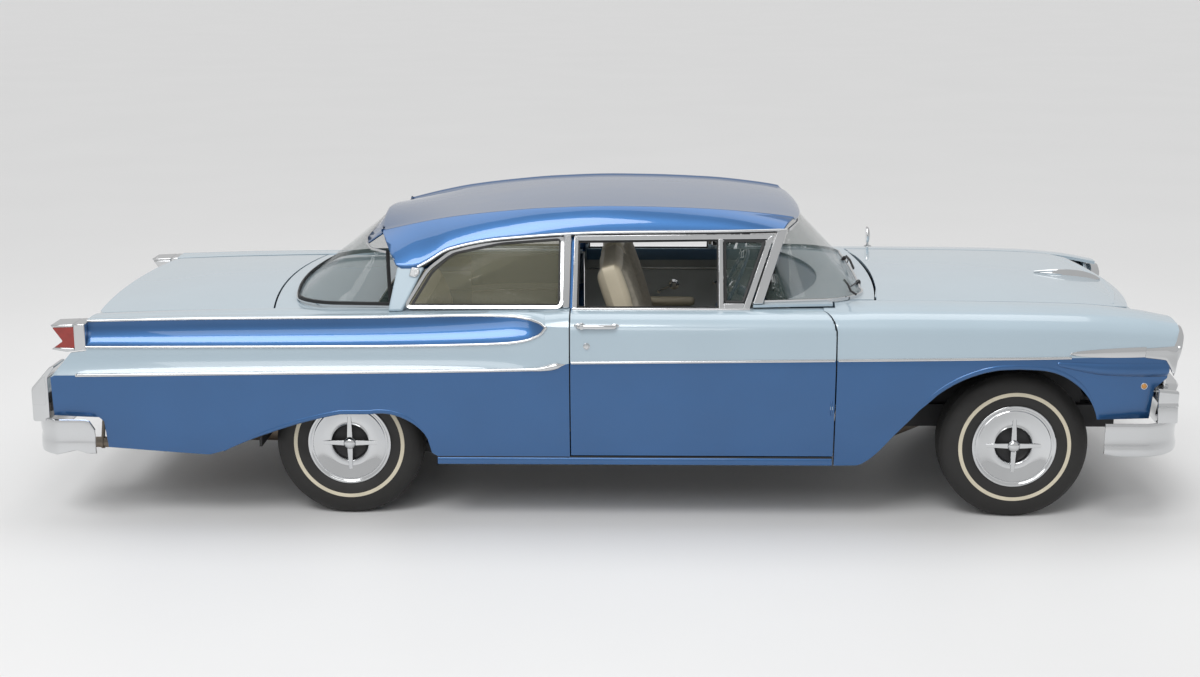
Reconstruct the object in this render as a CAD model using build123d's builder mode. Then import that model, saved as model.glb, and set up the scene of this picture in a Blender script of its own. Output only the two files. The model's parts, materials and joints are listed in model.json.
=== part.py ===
"""A full-size two-door saloon car of the 1950s. Sizes in millimetres, +X forward, +Z up, ground at z = 0."""
from build123d import *
import os
from math import atan2, cos, radians, sin

os.makedirs("parts", exist_ok=True)

# Overall sizes
wheelbase = 3099
front_overhang = 792
rear_overhang = 1471
overall_width = 2009
front_track = 1509
rear_track = 1499
seat_gap = 0.3
panel_gap = 8
lid_gap = 10
shut_gap = 7
axle_fit = 0.06

half_length = (front_overhang + wheelbase + rear_overhang) / 2
front_x = half_length - front_overhang
rear_x = front_x - wheelbase
nose_x = half_length
tail_x = -half_length
half_width = overall_width / 2

# Wheels
tyre_radius = 346
tyre_half_width = 102.5
bead_radius = 180
rim_half_width = 84
flange_radius = 194
hubcap_radius = 190
hub_radius = 42
spindle_radius = 15
drum_radius = 140
spoke_count = 4

# Heights of the body side
sill_z = 276
door_foot_z = 322
belly_z = 520
waist_z = 745
crease_z = 925
belt_z = 992
cowl_z = 1012
shelf_z = 986
floor_z = 372
floor_drop = 12
trunk_drop = 16
trunk_floor_z = 520
axle_floor_z = 604

# Wall thicknesses
wall = 26
skin = 12
roof_z = 1435
lid_skin = 8
glass = 6
door_thick = 100

# Doors
door_front_x = front_x - 849
door_rear_x = rear_x + 1045
hinge_inset = 14
hinge_pin = 4
hinge_fit = 0.1
hinge_heights = (560, 850)
strap_half = 8
pin_reach = 34

# Half-widths of the middle of the body, where the section stays the same
sill_y = 932
belly_y = 966
waist_y = 985
crease_y = 974
belt_y = 868
belt_inner_y = 800

# Hood and deck
hood_half = 700
hood_rear_x = front_x - 640
hood_bow = 46
hood_front_x = front_x + 481
hood_nose_x = front_x + 611
lip_z = 895
deck_half = 728
deck_front_x = rear_x - 355
deck_bow = 58
deck_rear_x = rear_x - 1180
deck_lip_x = rear_x - 1230
deck_foot_z = 690

# Side glass leans in from the belt to the drip rail
lean_foot_y = 832
lean_foot_z = 995
lean_top_y = 668
lean_top_z = 1312
frame_half = 10
frame_width = 22
frame_foot_z = belt_z - 4
frame_foot_x = front_x - 1236
frame_head_x = front_x - 1115


def flat(plane, points):
    """A closed outline of straight lines."""
    with BuildSketch(plane) as face:
        with BuildLine():
            Polyline(*points, close=True)
        make_face()
    return face.sketch


def side_plate(points, low, high, mode=Mode.ADD):
    """An outline in x and z, as wide as from low to high across the car."""
    extrude(flat(Plane.XZ.offset(-high), points), amount=high - low, mode=mode)


def plan_plate(points, low, high, mode=Mode.ADD):
    """An outline in x and y, from height low to high."""
    extrude(flat(Plane.XY.offset(low), points), amount=high - low, mode=mode)


def cross_plate(points, low, high, mode=Mode.ADD):
    """An outline in y and z, from x low to high."""
    extrude(flat(Plane.YZ.offset(low), points), amount=high - low, mode=mode)


def rod(start, end, radius, mode=Mode.ADD):
    """A round bar between two points."""
    line = Vector(*end) - Vector(*start)
    with BuildSketch(Plane(origin=start, z_dir=line)) as disc:
        Circle(radius)
    extrude(disc.sketch, amount=line.length, mode=mode)


def rounded(start, end, bulge=13):
    """An arc over a right-hand shoulder, out from the straight line by the bulge each way."""
    middle = ((start[0] + end[0]) / 2 - bulge, (start[1] + end[1]) / 2 + bulge)
    ThreePointArc(start, middle, end)


def save(part, name):
    part.label = name
    export_step(part, "parts/" + name + ".step")


# The chassis: two rails that rise over the axles, and the cross members welded between them
rail_mid_y = (450, 540)
rail_front_y = (330, 430)
rail_low_z = 230
rail_front_z = (330, 440)
rail_rear_z = (400, 503)
rail_front_x = front_x + 560
rail_rear_x = rear_x - 1250
rail_kick = 110
rail_top_z = floor_z - floor_drop - seat_gap
kick_top_z = axle_floor_z - trunk_drop - seat_gap
exhaust_radius = 25.4
exhaust_y = -370
exhaust_z = rail_low_z - exhaust_radius - seat_gap

rail_plan = [
    (rail_front_x, rail_front_y[0]), (front_x - 520, rail_front_y[0]), (front_x - 760, rail_mid_y[0]),
    (rail_rear_x, rail_mid_y[0]), (rail_rear_x, rail_mid_y[1]), (front_x - 760, rail_mid_y[1]),
    (front_x - 520, rail_front_y[1]), (rail_front_x, rail_front_y[1]),
]
rail_side = [
    (rail_front_x, rail_front_z[0]), (front_x - 560, rail_front_z[0]), (front_x - 800, rail_low_z),
    (rear_x + 480, rail_low_z), (rear_x + 260, kick_top_z - rail_kick),
    (rear_x - 300, kick_top_z - rail_kick), (rear_x - 520, rail_rear_z[0]),
    (rail_rear_x, rail_rear_z[0]), (rail_rear_x, rail_rear_z[1]),
    (rear_x - 500, rail_rear_z[1]), (rear_x - 276, kick_top_z), (rear_x + 190, kick_top_z),
    (rear_x + 400, rail_top_z), (front_x - 860, rail_top_z), (front_x - 600, rail_front_z[1]),
    (rail_front_x, rail_front_z[1]),
]
# Cross members: front and rear x, bottom and top z, half length
gearbox_low_z = 286
gearbox_rear_x = front_x - 990
radiator_foot_z = rail_front_z[0] + 90
engine_mount_z = rail_front_z[0] + 60
cross_members = [
    (front_x + 480, front_x + 540, rail_front_z[0], radiator_foot_z, rail_front_y[0]),
    (front_x - 45, front_x + 45, 296, engine_mount_z, rail_front_y[0]),
    (gearbox_rear_x, gearbox_rear_x + 60, rail_low_z, gearbox_low_z - seat_gap, rail_mid_y[0]),
    (rear_x - 560, rear_x - 500, rail_rear_z[0] + 10, rail_rear_z[1], rail_mid_y[0]),
    (rail_rear_x, rail_rear_x + 50, rail_rear_z[0] + 10, rail_rear_z[1], rail_mid_y[0]),
]

tie_hole_x = front_x + 440
tie_hole_y = 380
tie_hole_radius = 11
# Each rail is welded up from five lengths that meet at these places
rail_joints = (front_x - 520, front_x - 860, rear_x + 480, rear_x - 520)

with BuildPart() as chassis_frame:
    for sign in (-1, 1):
        plan_plate([(x, sign * y) for x, y in rail_plan], rail_low_z - 1, kick_top_z + 1)
    side_plate(rail_side, -rail_mid_y[1] - 1, rail_mid_y[1] + 1, mode=Mode.INTERSECT)
    for y in (-tie_hole_y, tie_hole_y):
        rod(
            (tie_hole_x, y, rail_front_z[0] - 1), (tie_hole_x, y, rail_front_z[1] + 1),
            tie_hole_radius, Mode.SUBTRACT,
        )
    for x in rail_joints:
        side_plate(
            [(x, 0), (x + seat_gap, 0), (x + seat_gap, roof_z), (x, roof_z)],
            -rail_mid_y[1] - 1, rail_mid_y[1] + 1, mode=Mode.SUBTRACT,
        )
save(chassis_frame.part, "chassis_frame")

with BuildPart() as cross_member_set:
    for low_x, high_x, low_z, high_z, reach in cross_members:
        side_plate([(low_x, low_z), (high_x, low_z), (high_x, high_z), (low_x, high_z)], -reach, reach)
save(cross_member_set.part, "cross_members")

# The floor: toe board, flat floor, rear seat pan, the hump over the axle and the trunk floor
toe_top = (front_x - 764, 600)
toe_foot_x = front_x - 900
heel_x = rear_x + 590
trunk_end_x = rear_x - 1215
floor_top = [
    toe_top, (toe_foot_x, floor_z), (heel_x, floor_z), (heel_x - 40, 540), (rear_x + 250, 556),
    (rear_x + 200, axle_floor_z), (rear_x - 290, axle_floor_z), (rear_x - 500, trunk_floor_z),
    (trunk_end_x, trunk_floor_z),
]
floor_under = [(x, z - (trunk_drop if x < rear_x + 300 else floor_drop)) for x, z in floor_top]
floor_half = 700
rocker_top_z = door_foot_z - 6
rocker_inner_y = 785
rocker = [
    (-floor_half, sill_z), (-sill_y + 2, sill_z), (-sill_y, rocker_top_z), (-rocker_inner_y, rocker_top_z),
    (-rocker_inner_y, floor_z + 20), (-floor_half, floor_z + 20),
]
rocker_rear_x = rear_x + 425
house_inner_y = 600
house_outer_y = 900
house_radius = 400

with BuildPart() as floor_pan:
    side_plate(floor_top + floor_under[::-1], -floor_half, floor_half)
    for sign in (-1, 1):
        beside = sorted((sign * house_inner_y, sign * (floor_half + 1)))
        side_plate(
            [(rear_x, 0), (rear_x, belt_z), (tail_x, belt_z), (tail_x, 0)], *beside, mode=Mode.SUBTRACT,
        )
        rod(
            (rear_x, beside[0], tyre_radius), (rear_x, beside[1], tyre_radius),
            house_radius + skin + seat_gap, Mode.SUBTRACT,
        )
        cross_plate([(-sign * y, z) for y, z in rocker], rocker_rear_x, door_front_x - 2)
save(floor_pan.part, "floor_pan")

# Rear wheelhouses: an arched shell and an inner wall with a window for the axle
with BuildPart() as wheelhouses:
    for sign in (-1, 1):
        with BuildSketch(Plane.XZ.offset(-sign * house_inner_y)) as arch:
            with BuildLine():
                CenterArc((rear_x, tyre_radius), house_radius + skin, 0, 180)
                Line((rear_x - house_radius - skin, tyre_radius), (rear_x + house_radius + skin, tyre_radius))
            make_face()
        extrude(arch.sketch, amount=-sign * (house_outer_y - house_inner_y))
        with BuildSketch(Plane.XZ.offset(-sign * (house_inner_y + skin))) as hollow:
            with Locations((rear_x, tyre_radius)):
                Circle(house_radius)
        extrude(hollow.sketch, amount=-sign * (house_outer_y - house_inner_y), mode=Mode.SUBTRACT)
        side_plate(
            [(rear_x - 170, 300), (rear_x + 170, 300), (rear_x + 170, 540), (rear_x - 170, 540)],
            *sorted((sign * (house_inner_y - 1), sign * (house_inner_y + skin + 1))), mode=Mode.SUBTRACT,
        )
save(wheelhouses.part, "wheelhouses")

# Side views are drawn on this plane and carried outward through the body's side
cut_y = 600
cut_depth = 500
above_body_z = 1060
door_top_front = (door_front_x - 55, belt_z)


def door_outline():
    """The right door's side view, with its rounded upper front corner."""
    with BuildSketch(Plane.XZ.offset(cut_y)) as face:
        with BuildLine():
            Polyline(
                door_top_front, (door_rear_x, belt_z), (door_rear_x, door_foot_z),
                (door_front_x, door_foot_z), (door_front_x, crease_z - 20),
            )
            ThreePointArc((door_front_x, crease_z - 20), (door_front_x - 14, belt_z - 38), door_top_front)
        make_face()
    return face.sketch


# Front fender: rows of x, half-widths at sill, belly, waist, crease and crown, then the heights of
# the crease, the crown and the edge beside the hood
fender_rows = [
    (door_top_front[0], sill_y, belly_y, waist_y, crease_y, belt_y, crease_z, belt_z, 1008),
    (door_front_x + shut_gap, sill_y, belly_y, waist_y, crease_y, belt_y, crease_z, belt_z, 1008),
    (front_x - 640, sill_y, belly_y, waist_y, crease_y, belt_y, crease_z, 996, 1010),
    (front_x - 89, sill_y - 4, belly_y - 3, waist_y - 2, crease_y - 1, belt_y - 2, 923, 993, 1005),
    (front_x + 291, sill_y - 16, belly_y - 15, waist_y - 9, crease_y - 7, belt_y - 5, 916, 985, 996),
    (front_x + 541, sill_y - 42, belly_y - 36, waist_y - 24, crease_y - 22, belt_y - 12, 900, 966, 972),
    (front_x + 706, sill_y - 72, belly_y - 62, waist_y - 44, crease_y - 44, belt_y - 30, 878, 938, 942),
]
fender_edge_y = hood_half + panel_gap
cowl_side_y = 804


def fender_profile(row):
    """The section of the right front fender: outer wall, crown, and the flange in to the hood."""
    x, sill, belly, waist, crease, crown, crease_height, crown_z, edge_z = row
    with BuildSketch(Plane.YZ.offset(x)) as face:
        with BuildLine():
            ThreePointArc((-sill, sill_z), (-belly, belly_z), (-waist, waist_z))
            Line((-waist, waist_z), (-crease, crease_height))
            rounded((-crease, crease_height), (-crown, crown_z))
            Polyline(
                (-crown, crown_z), (-fender_edge_y, edge_z), (-fender_edge_y, edge_z - skin),
                (-crown + 8, crown_z - skin - 4), (-crease + wall, crease_height - 4),
                (-waist + wall, waist_z),
            )
            ThreePointArc((-waist + wall, waist_z), (-belly + wall, belly_z), (-sill + wall, sill_z))
            Line((-sill + wall, sill_z), (-sill, sill_z))
        make_face()
    return face.sketch


def front_arch_outline():
    """The side view of the front fender, with its wheel arch and the cut for the bumper."""
    with BuildSketch(Plane.XZ.offset(cut_y)) as face:
        with BuildLine():
            Polyline(
                (door_top_front[0], above_body_z), (door_top_front[0], crease_z - 30),
                (door_front_x + shut_gap, crease_z - 30), (door_front_x + shut_gap, sill_z),
                (front_x - 715, sill_z + 10), (front_x - 489, 525),
            )
            ThreePointArc((front_x - 489, 525), (front_x - 329, 676), (front_x - 109, 754))
            Line((front_x - 109, 754), (front_x + 71, 754))
            ThreePointArc((front_x + 71, 754), (front_x + 261, 672), (front_x + 352, 505))
            Polyline(
                (front_x + 352, 505), (front_x + 590, 505), (front_x + 600, 650), (front_x + 655, 700),
                (front_x + 665, 850), (front_x + 706, 913), (front_x + 700, above_body_z),
                (door_top_front[0], above_body_z),
            )
        make_face()
    return face.sketch


# Headlamp pods, with the long bullet that runs back along the fender
lamp_outer_y = waist_y - 93
lamp_y = (fender_edge_y + lamp_outer_y) / 2
lamp_radius = (lamp_outer_y - fender_edge_y) / 2
lamp_z = 812
lamp_seat_x = front_x + 620
lens_front_x = front_x + 704
bezel_front_x = front_x + 738
bezel_rear_x = front_x + 580
bullet_tip_x = front_x + 160
bullet_radius = 62
apron_y = 400
apron_shelf_z = 868

with BuildPart() as front_fender_right:
    loft([fender_profile(row) for row in fender_rows], ruled=True)
    extrude(front_arch_outline(), amount=cut_depth, mode=Mode.INTERSECT)
    extrude(
        offset(door_outline(), amount=shut_gap, kind=Kind.INTERSECTION), amount=cut_depth, mode=Mode.SUBTRACT,
    )
    plan_plate(
        [
            (door_top_front[0] - 1, -cowl_side_y - shut_gap),
            (door_front_x + shut_gap, -cowl_side_y - shut_gap), (door_front_x + shut_gap, 0),
            (door_top_front[0] - 1, 0),
        ],
        crease_z, cowl_z + 20, Mode.SUBTRACT,
    )
    with BuildSketch(Plane.YZ.offset(bullet_tip_x)) as tip:
        with Locations((-waist_y + 30, 782)):
            Circle(14)
    with BuildSketch(Plane.YZ.offset(front_x + 640)) as root:
        with Locations((-waist_y + 96, 776)):
            Circle(bullet_radius)
    loft([tip.sketch, root.sketch], ruled=True)
    cross_plate(
        [(-fender_edge_y, 700), (-915, 700), (-925, 780), (-920, 905), (-835, 945), (-fender_edge_y, 950)],
        lamp_seat_x - 20, lamp_seat_x,
    )
    rod(
        (front_x + 400, -lamp_y, lamp_z), (nose_x, -lamp_y, lamp_z), lamp_radius + skin + seat_gap,
        Mode.SUBTRACT,
    )
    side_plate(
        [
            (front_x - 560, rail_front_z[1] + seat_gap), (front_x + 400, rail_front_z[1] + seat_gap),
            (front_x + 400, apron_shelf_z + skin), (front_x - 560, apron_shelf_z + skin),
        ],
        -apron_y - skin, -apron_y,
    )
    side_plate(
        [
            (front_x - 560, apron_shelf_z), (front_x + 400, apron_shelf_z),
            (front_x + 400, apron_shelf_z + skin), (front_x - 560, apron_shelf_z + skin),
        ],
        -crease_y + wall + 6, -apron_y,
    )
save(front_fender_right.part, "front_fender_right")

with BuildPart() as front_fender_left:
    add(mirror(front_fender_right.part, about=Plane.XZ))
save(front_fender_left.part, "front_fender_left")

# The cowl: top panel under the windscreen, firewall, door pillars with the hinge straps, hood brackets
firewall_x = front_x - 769
pillar_x = (door_front_x + 20, firewall_x)
pillar_y = (745, 892)
pillar_top_z = 930
hood_pivot_x = front_x - 710
hood_pivot_z = cowl_z - 30
pivot_radius = 5
arm_y = 545
arm_half = 5
hinge_x = door_front_x - hinge_inset
hinge_y = -(waist_y - hinge_inset)


def frame_front_x(z):
    """Where the sloping front edge of the door's window frame is at a height."""
    slope = (frame_head_x - frame_foot_x) / (lean_top_z - frame_foot_z)
    return frame_foot_x + (z - frame_foot_z) * slope


arm_end_x = frame_front_x(cowl_z) + panel_gap


def bowed_edge(x, bow, half):
    """Points of a shallow arc across the car, from the right edge to the left one."""
    return [(x, -half), (x + bow, 0), (x, half)]


def cowl_plan():
    """The cowl's top from above: a U that carries the windscreen, open over the dashboard."""
    with BuildSketch(Plane.XY.offset(cowl_z - skin)) as face:
        with BuildLine():
            ThreePointArc(*bowed_edge(hood_rear_x - lid_gap, hood_bow, hood_half))
            Polyline(
                (hood_rear_x - lid_gap, hood_half), (door_front_x + 3, hood_half), (door_front_x - 2, 800),
                (front_x - 1000, 812), (arm_end_x, 836), (arm_end_x, 760), (front_x - 1080, 744),
            )
            ThreePointArc((front_x - 1080, 744), (front_x - 860, 0), (front_x - 1080, -744))
            Polyline(
                (front_x - 1080, -744), (arm_end_x, -760), (arm_end_x, -836), (front_x - 1000, -812),
                (door_front_x - 2, -800), (door_front_x + 3, -hood_half), (hood_rear_x - lid_gap, -hood_half),
            )
        make_face()
    return face.sketch


with BuildPart() as cowl:
    extrude(cowl_plan(), amount=skin)
    cross_plate(
        [
            (-pillar_y[0], toe_top[1] + seat_gap), (pillar_y[0], toe_top[1] + seat_gap),
            (pillar_y[0], pillar_top_z), (hood_half - 10, cowl_z - skin), (10 - hood_half, cowl_z - skin),
            (-pillar_y[0], pillar_top_z),
        ],
        firewall_x, firewall_x + skin,
    )
    for sign in (-1, 1):
        side_plate(
            [
                (pillar_x[0], floor_z + 40), (firewall_x + skin, floor_z + 40),
                (firewall_x + skin, pillar_top_z), (pillar_x[0], pillar_top_z),
            ],
            *sorted((sign * pillar_y[0] - sign, sign * pillar_y[1])),
        )
        for height in hinge_heights:
            plan_plate(
                [
                    (pillar_x[0] + 10, -sign * (pillar_y[1] - 30)), (hinge_x - 3, sign * (hinge_y + 8)),
                    (hinge_x - 5, sign * (hinge_y - 3)), (hinge_x + 5, sign * (hinge_y - 3)),
                    (pillar_x[0] + 14, -sign * (pillar_y[1] - 4)),
                ],
                height - strap_half, height + strap_half,
            )
            rod(
                (hinge_x, sign * hinge_y, height - pin_reach), (hinge_x, sign * hinge_y, height + pin_reach),
                hinge_pin,
            )
        side_plate(
            [
                (hood_pivot_x - 14, hood_pivot_z - 12), (hood_pivot_x + 14, hood_pivot_z - 12),
                (hood_pivot_x + 14, cowl_z - skin + 1), (firewall_x + 2, cowl_z - skin + 1),
                (firewall_x + 2, hood_pivot_z - 40),
            ],
            *sorted((sign * (arm_y - arm_half - 1), sign * (arm_y - arm_half - 11))),
        )
        rod(
            (hood_pivot_x, sign * (arm_y - arm_half - 6), hood_pivot_z),
            (hood_pivot_x, sign * (arm_y + arm_half + 4), hood_pivot_z), pivot_radius,
        )
save(cowl.part, "cowl")


def gooseneck(pivot_x, pivot_z, along, drop, lid_z, width=16):
    """A swan-necked hinge arm from its eye, down, along and up to the lid it carries."""
    step = 10 if along > 0 else -10
    outline = [
        (pivot_x - step * 0.9, pivot_z), (pivot_x - step * 0.2, pivot_z - drop - width),
        (pivot_x + along + step * 0.8, pivot_z - drop - width), (pivot_x + along + step * 0.8, lid_z),
        (pivot_x + along - step * 0.8, lid_z), (pivot_x + along - step * 0.8, pivot_z - drop),
        (pivot_x + step * 1.2, pivot_z - drop), (pivot_x + step * 0.9, pivot_z),
    ]
    for sign in (-1, 1):
        side_plate(outline, *sorted((sign * (arm_y - arm_half), sign * (arm_y + arm_half))))
        rod(
            (pivot_x, sign * (arm_y - arm_half), pivot_z), (pivot_x, sign * (arm_y + arm_half), pivot_z), 13,
        )
        rod(
            (pivot_x, sign * (arm_y - arm_half), pivot_z), (pivot_x, sign * (arm_y + arm_half), pivot_z),
            pivot_radius + hinge_fit, Mode.SUBTRACT,
        )


# Hood: rows of x, edge height and middle height
hood_edge_z = 1010
hood_nose_half = hood_half - 30
hood_rows = [
    (hood_rear_x - 10, hood_edge_z, 1024),
    (front_x - 89, 1005, 1022),
    (front_x + 291, 996, 1007),
    (front_x + 481, 980, 990),
    (hood_nose_x + 10, 948, 956),
]


def crowned(x, half, edge_z, middle_z, thick):
    """A thin section across the car that is higher in the middle."""
    with BuildSketch(Plane.YZ.offset(x)) as face:
        with BuildLine():
            ThreePointArc((-half, edge_z), (0, middle_z), (half, edge_z))
            Line((half, edge_z), (half, edge_z - thick))
            ThreePointArc((half, edge_z - thick), (0, middle_z - thick), (-half, edge_z - thick))
            Line((-half, edge_z - thick), (-half, edge_z))
        make_face()
    return face.sketch


def hood_plan(base_z):
    """The hood from above, with its bowed rear edge and rounded nose."""
    with BuildSketch(Plane.XY.offset(base_z)) as face:
        with BuildLine():
            ThreePointArc(*bowed_edge(hood_rear_x, hood_bow, hood_half))
            Line((hood_rear_x, hood_half), (hood_front_x - 60, hood_half))
            Line((hood_front_x - 60, hood_half), (hood_front_x, hood_nose_half))
            ThreePointArc((hood_front_x, hood_nose_half), (hood_nose_x, 0), (hood_front_x, -hood_nose_half))
            Line((hood_front_x, -hood_nose_half), (hood_front_x - 60, -hood_half))
            Line((hood_front_x - 60, -hood_half), (hood_rear_x, -hood_half))
        make_face()
    return face.sketch


with BuildPart() as hood:
    loft([crowned(x, hood_half + 5, edge, middle, lid_skin) for x, edge, middle in hood_rows], ruled=True)
    extrude(hood_plan(850), amount=250, mode=Mode.INTERSECT)
    with BuildSketch(Plane.XY.offset(lip_z)) as lip:
        with BuildLine():
            ThreePointArc((hood_front_x, hood_nose_half), (hood_nose_x, 0), (hood_front_x, -hood_nose_half))
            Line((hood_front_x, -hood_nose_half), (hood_front_x - skin, -hood_nose_half))
            ThreePointArc(
                (hood_front_x - skin, -hood_nose_half), (hood_nose_x - skin, 0),
                (hood_front_x - skin, hood_nose_half),
            )
            Line((hood_front_x - skin, hood_nose_half), (hood_front_x, hood_nose_half))
        make_face()
    extrude(lip.sketch, amount=62)
    gooseneck(hood_pivot_x, hood_pivot_z, 130, 70, hood_edge_z)
save(hood.part, "hood")


# Doors: the body section, cut to the door's outline, with the window frame above
def door_section():
    """The section of the right door, as thick as the whole door."""
    with BuildSketch(Plane.YZ.offset(door_rear_x)) as face:
        with BuildLine():
            ThreePointArc((-sill_y, sill_z), (-belly_y, belly_z), (-waist_y, waist_z))
            Line((-waist_y, waist_z), (-crease_y, crease_z))
            rounded((-crease_y, crease_z), (-belt_y, belt_z))
            Polyline(
                (-belt_y, belt_z), (-belt_inner_y, belt_z), (-waist_y + door_thick, waist_z),
                (-sill_y + door_thick - 8, sill_z), (-sill_y, sill_z),
            )
        make_face()
    return face.sketch


lean = atan2(lean_foot_y - lean_top_y, lean_top_z - lean_foot_z)
lean_plane = Plane(
    origin=(0, -lean_foot_y, lean_foot_z), x_dir=(1, 0, 0), z_dir=(0, -cos(lean), sin(lean)),
)


def leaning(points):
    """Points in x and height, laid on the plane that the right side's glass lies in."""
    return [(x, (z - lean_foot_z) / cos(lean)) for x, z in points]


def leaning_plate(points, inner, outer, mode=Mode.ADD):
    """A plate on the leaning glass plane, from depth inner to outer."""
    extrude(flat(lean_plane.offset(inner), leaning(points)), amount=outer - inner, mode=mode)


# Window frame corners in x and z: the leaning front edge, the vent post and the rear edge
frame_top_z = lean_top_z
frame_rear_top_z = lean_top_z - 8
vent_x = rear_x + 1745
frame_outer = [
    (door_rear_x + 4, frame_foot_z), (frame_foot_x, frame_foot_z), (frame_head_x, frame_top_z),
    (door_rear_x + 10, frame_rear_top_z),
]
main_light = [
    (door_rear_x + 26, frame_foot_z - 1), (vent_x - frame_width, frame_foot_z - 1),
    (vent_x - frame_width, frame_top_z - frame_width), (door_rear_x + 30, frame_rear_top_z - frame_width),
]
vent_foot_x = frame_foot_x - frame_width
vent_foot_z = belt_z + frame_width
vent_head_x = frame_head_x - 35
vent_head_z = frame_top_z - frame_width
vent_light = [
    (vent_x, vent_foot_z), (vent_foot_x, vent_foot_z), (vent_head_x, vent_head_z), (vent_x, vent_head_z),
]

# Pull handle on two feet with its push button, and the key lock below it
handle_z = 938
handle_y = 988
handle_radius = 7
handle_feet_x = (door_rear_x + 36, door_rear_x + 204)
foot_root_y = 950
lock_x = door_rear_x + 74
lock_z = 848
lock_radius = 9

with BuildPart() as door_right:
    extrude(door_section(), amount=door_front_x - door_rear_x)
    extrude(door_outline(), amount=cut_depth, mode=Mode.INTERSECT)
    leaning_plate(frame_outer, -frame_half, frame_half)
    leaning_plate(main_light, -frame_half - 1, frame_half + 1, Mode.SUBTRACT)
    leaning_plate(vent_light, -frame_half - 1, frame_half + 1, Mode.SUBTRACT)
    plan_plate(
        [(hinge_x + 5, -waist_y - 1), (door_front_x + 1, -waist_y - 1), (door_front_x + 1, hinge_y - 5)],
        sill_z, belt_z, Mode.SUBTRACT,
    )
    plan_plate(
        [
            (door_rear_x - 1, hinge_y), (door_rear_x - 1, -belt_inner_y + 60),
            (door_rear_x + 20, -belt_inner_y + 60),
        ],
        sill_z, belt_z + 1, Mode.SUBTRACT,
    )
    for height in hinge_heights:
        rod(
            (hinge_x, hinge_y, height - pin_reach - 2), (hinge_x, hinge_y, height + pin_reach + 2),
            hinge_pin + hinge_fit, Mode.SUBTRACT,
        )
        plan_plate(
            [
                (hinge_x - 20, hinge_y - 11), (door_front_x + 1, hinge_y - 11),
                (door_front_x + 1, hinge_y + 110), (hinge_x - 20, hinge_y + 110),
            ],
            height - strap_half - 5, height + strap_half + 5, Mode.SUBTRACT,
        )
    rod(
        (handle_feet_x[0] - 8, -handle_y, handle_z), (handle_feet_x[1] + 8, -handle_y, handle_z),
        handle_radius,
    )
    for x in handle_feet_x:
        rod((x, -foot_root_y, handle_z), (x, -handle_y, handle_z), handle_radius + 2)
    rod((lock_x, -foot_root_y, lock_z), (lock_x, -waist_y, lock_z), lock_radius)
save(door_right.part, "door_right")

with BuildPart() as door_left:
    add(mirror(door_right.part, about=Plane.XZ))
save(door_left.part, "door_left")

vent_pane = [
    (vent_x + seat_gap, vent_foot_z + seat_gap), (vent_foot_x - seat_gap * 2, vent_foot_z + seat_gap),
    (vent_head_x - seat_gap * 2, vent_head_z - seat_gap), (vent_x + seat_gap, vent_head_z - seat_gap),
]
with BuildPart() as vent_glass_right:
    leaning_plate(vent_pane, -glass / 2, glass / 2)
save(vent_glass_right.part, "vent_glass_right")

with BuildPart() as vent_glass_left:
    add(mirror(vent_glass_right.part, about=Plane.XZ))
save(vent_glass_left.part, "vent_glass_left")

# Rear quarters: x, half-widths at sill, belly, waist, spear foot and crown, then the heights of
# the waist, spear foot, crown and inner edge, and the hollows of the lower and upper coves
quarter_front_x = door_rear_x - 6
lamp_end_x = rear_x - 1185
quarter_rows = [
    (quarter_front_x, sill_y, belly_y, waist_y, 982, belt_y, waist_z, 880, belt_z, 992, 1, -1),
    (rear_x + 850, sill_y, belly_y + 2, waist_y + 3, 966, belt_y + 4, 738, 862, 982, 990, 9, 10),
    (rear_x + 200, sill_y, belly_y + 4, waist_y + 6, 958, belt_y + 8, 728, 846, 970, 980, 14, 15),
    (rear_x - 700, sill_y - 6, belly_y + 2, waist_y + 3, 950, belt_y + 6, 714, 836, 960, 962, 14, 15),
    (rear_x - 1180, sill_y - 16, belly_y - 8, waist_y - 8, 940, belt_y, 704, 830, 948, 944, 14, 15),
    (rear_x - 1345, sill_y - 26, belly_y - 20, waist_y - 20, 932, belt_y - 6, 700, 822, 940, 934, 14, 15),
]
quarter_edge_y = deck_half + lid_gap
quarter_inner_y = sill_y - 60


def cove(start, end, depth):
    """An arc from start to end that is hollowed by depth."""
    middle = ((start[0] + end[0]) / 2 + depth, (start[1] + end[1]) / 2)
    ThreePointArc(start, middle, end)


def quarter_profile(row):
    """The section of the right rear quarter: lower side, two coves, crown and deck flange."""
    x, sill, belly, waist, spear, crown = row[:6]
    waist_height, spear_height, crown_height, edge_height, lower_hollow, upper_hollow = row[6:]
    with BuildSketch(Plane.YZ.offset(x)) as face:
        with BuildLine():
            ThreePointArc((-sill, sill_z), (-belly, belly_z), (-waist, waist_height))
            cove((-waist, waist_height), (-spear, spear_height), lower_hollow)
            cove((-spear, spear_height), (-crown, crown_height), upper_hollow)
            Polyline(
                (-crown, crown_height), (-quarter_edge_y, edge_height), (-quarter_edge_y, edge_height - skin),
                (-crown + 30, crown_height - skin - 8), (-spear + wall + 16, spear_height),
                (-waist + wall, waist_height),
            )
            ThreePointArc((-waist + wall, waist_height), (-belly + wall, belly_z), (-sill + wall, sill_z))
            Line((-sill + wall, sill_z), (-sill, sill_z))
        make_face()
    return face.sketch


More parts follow.
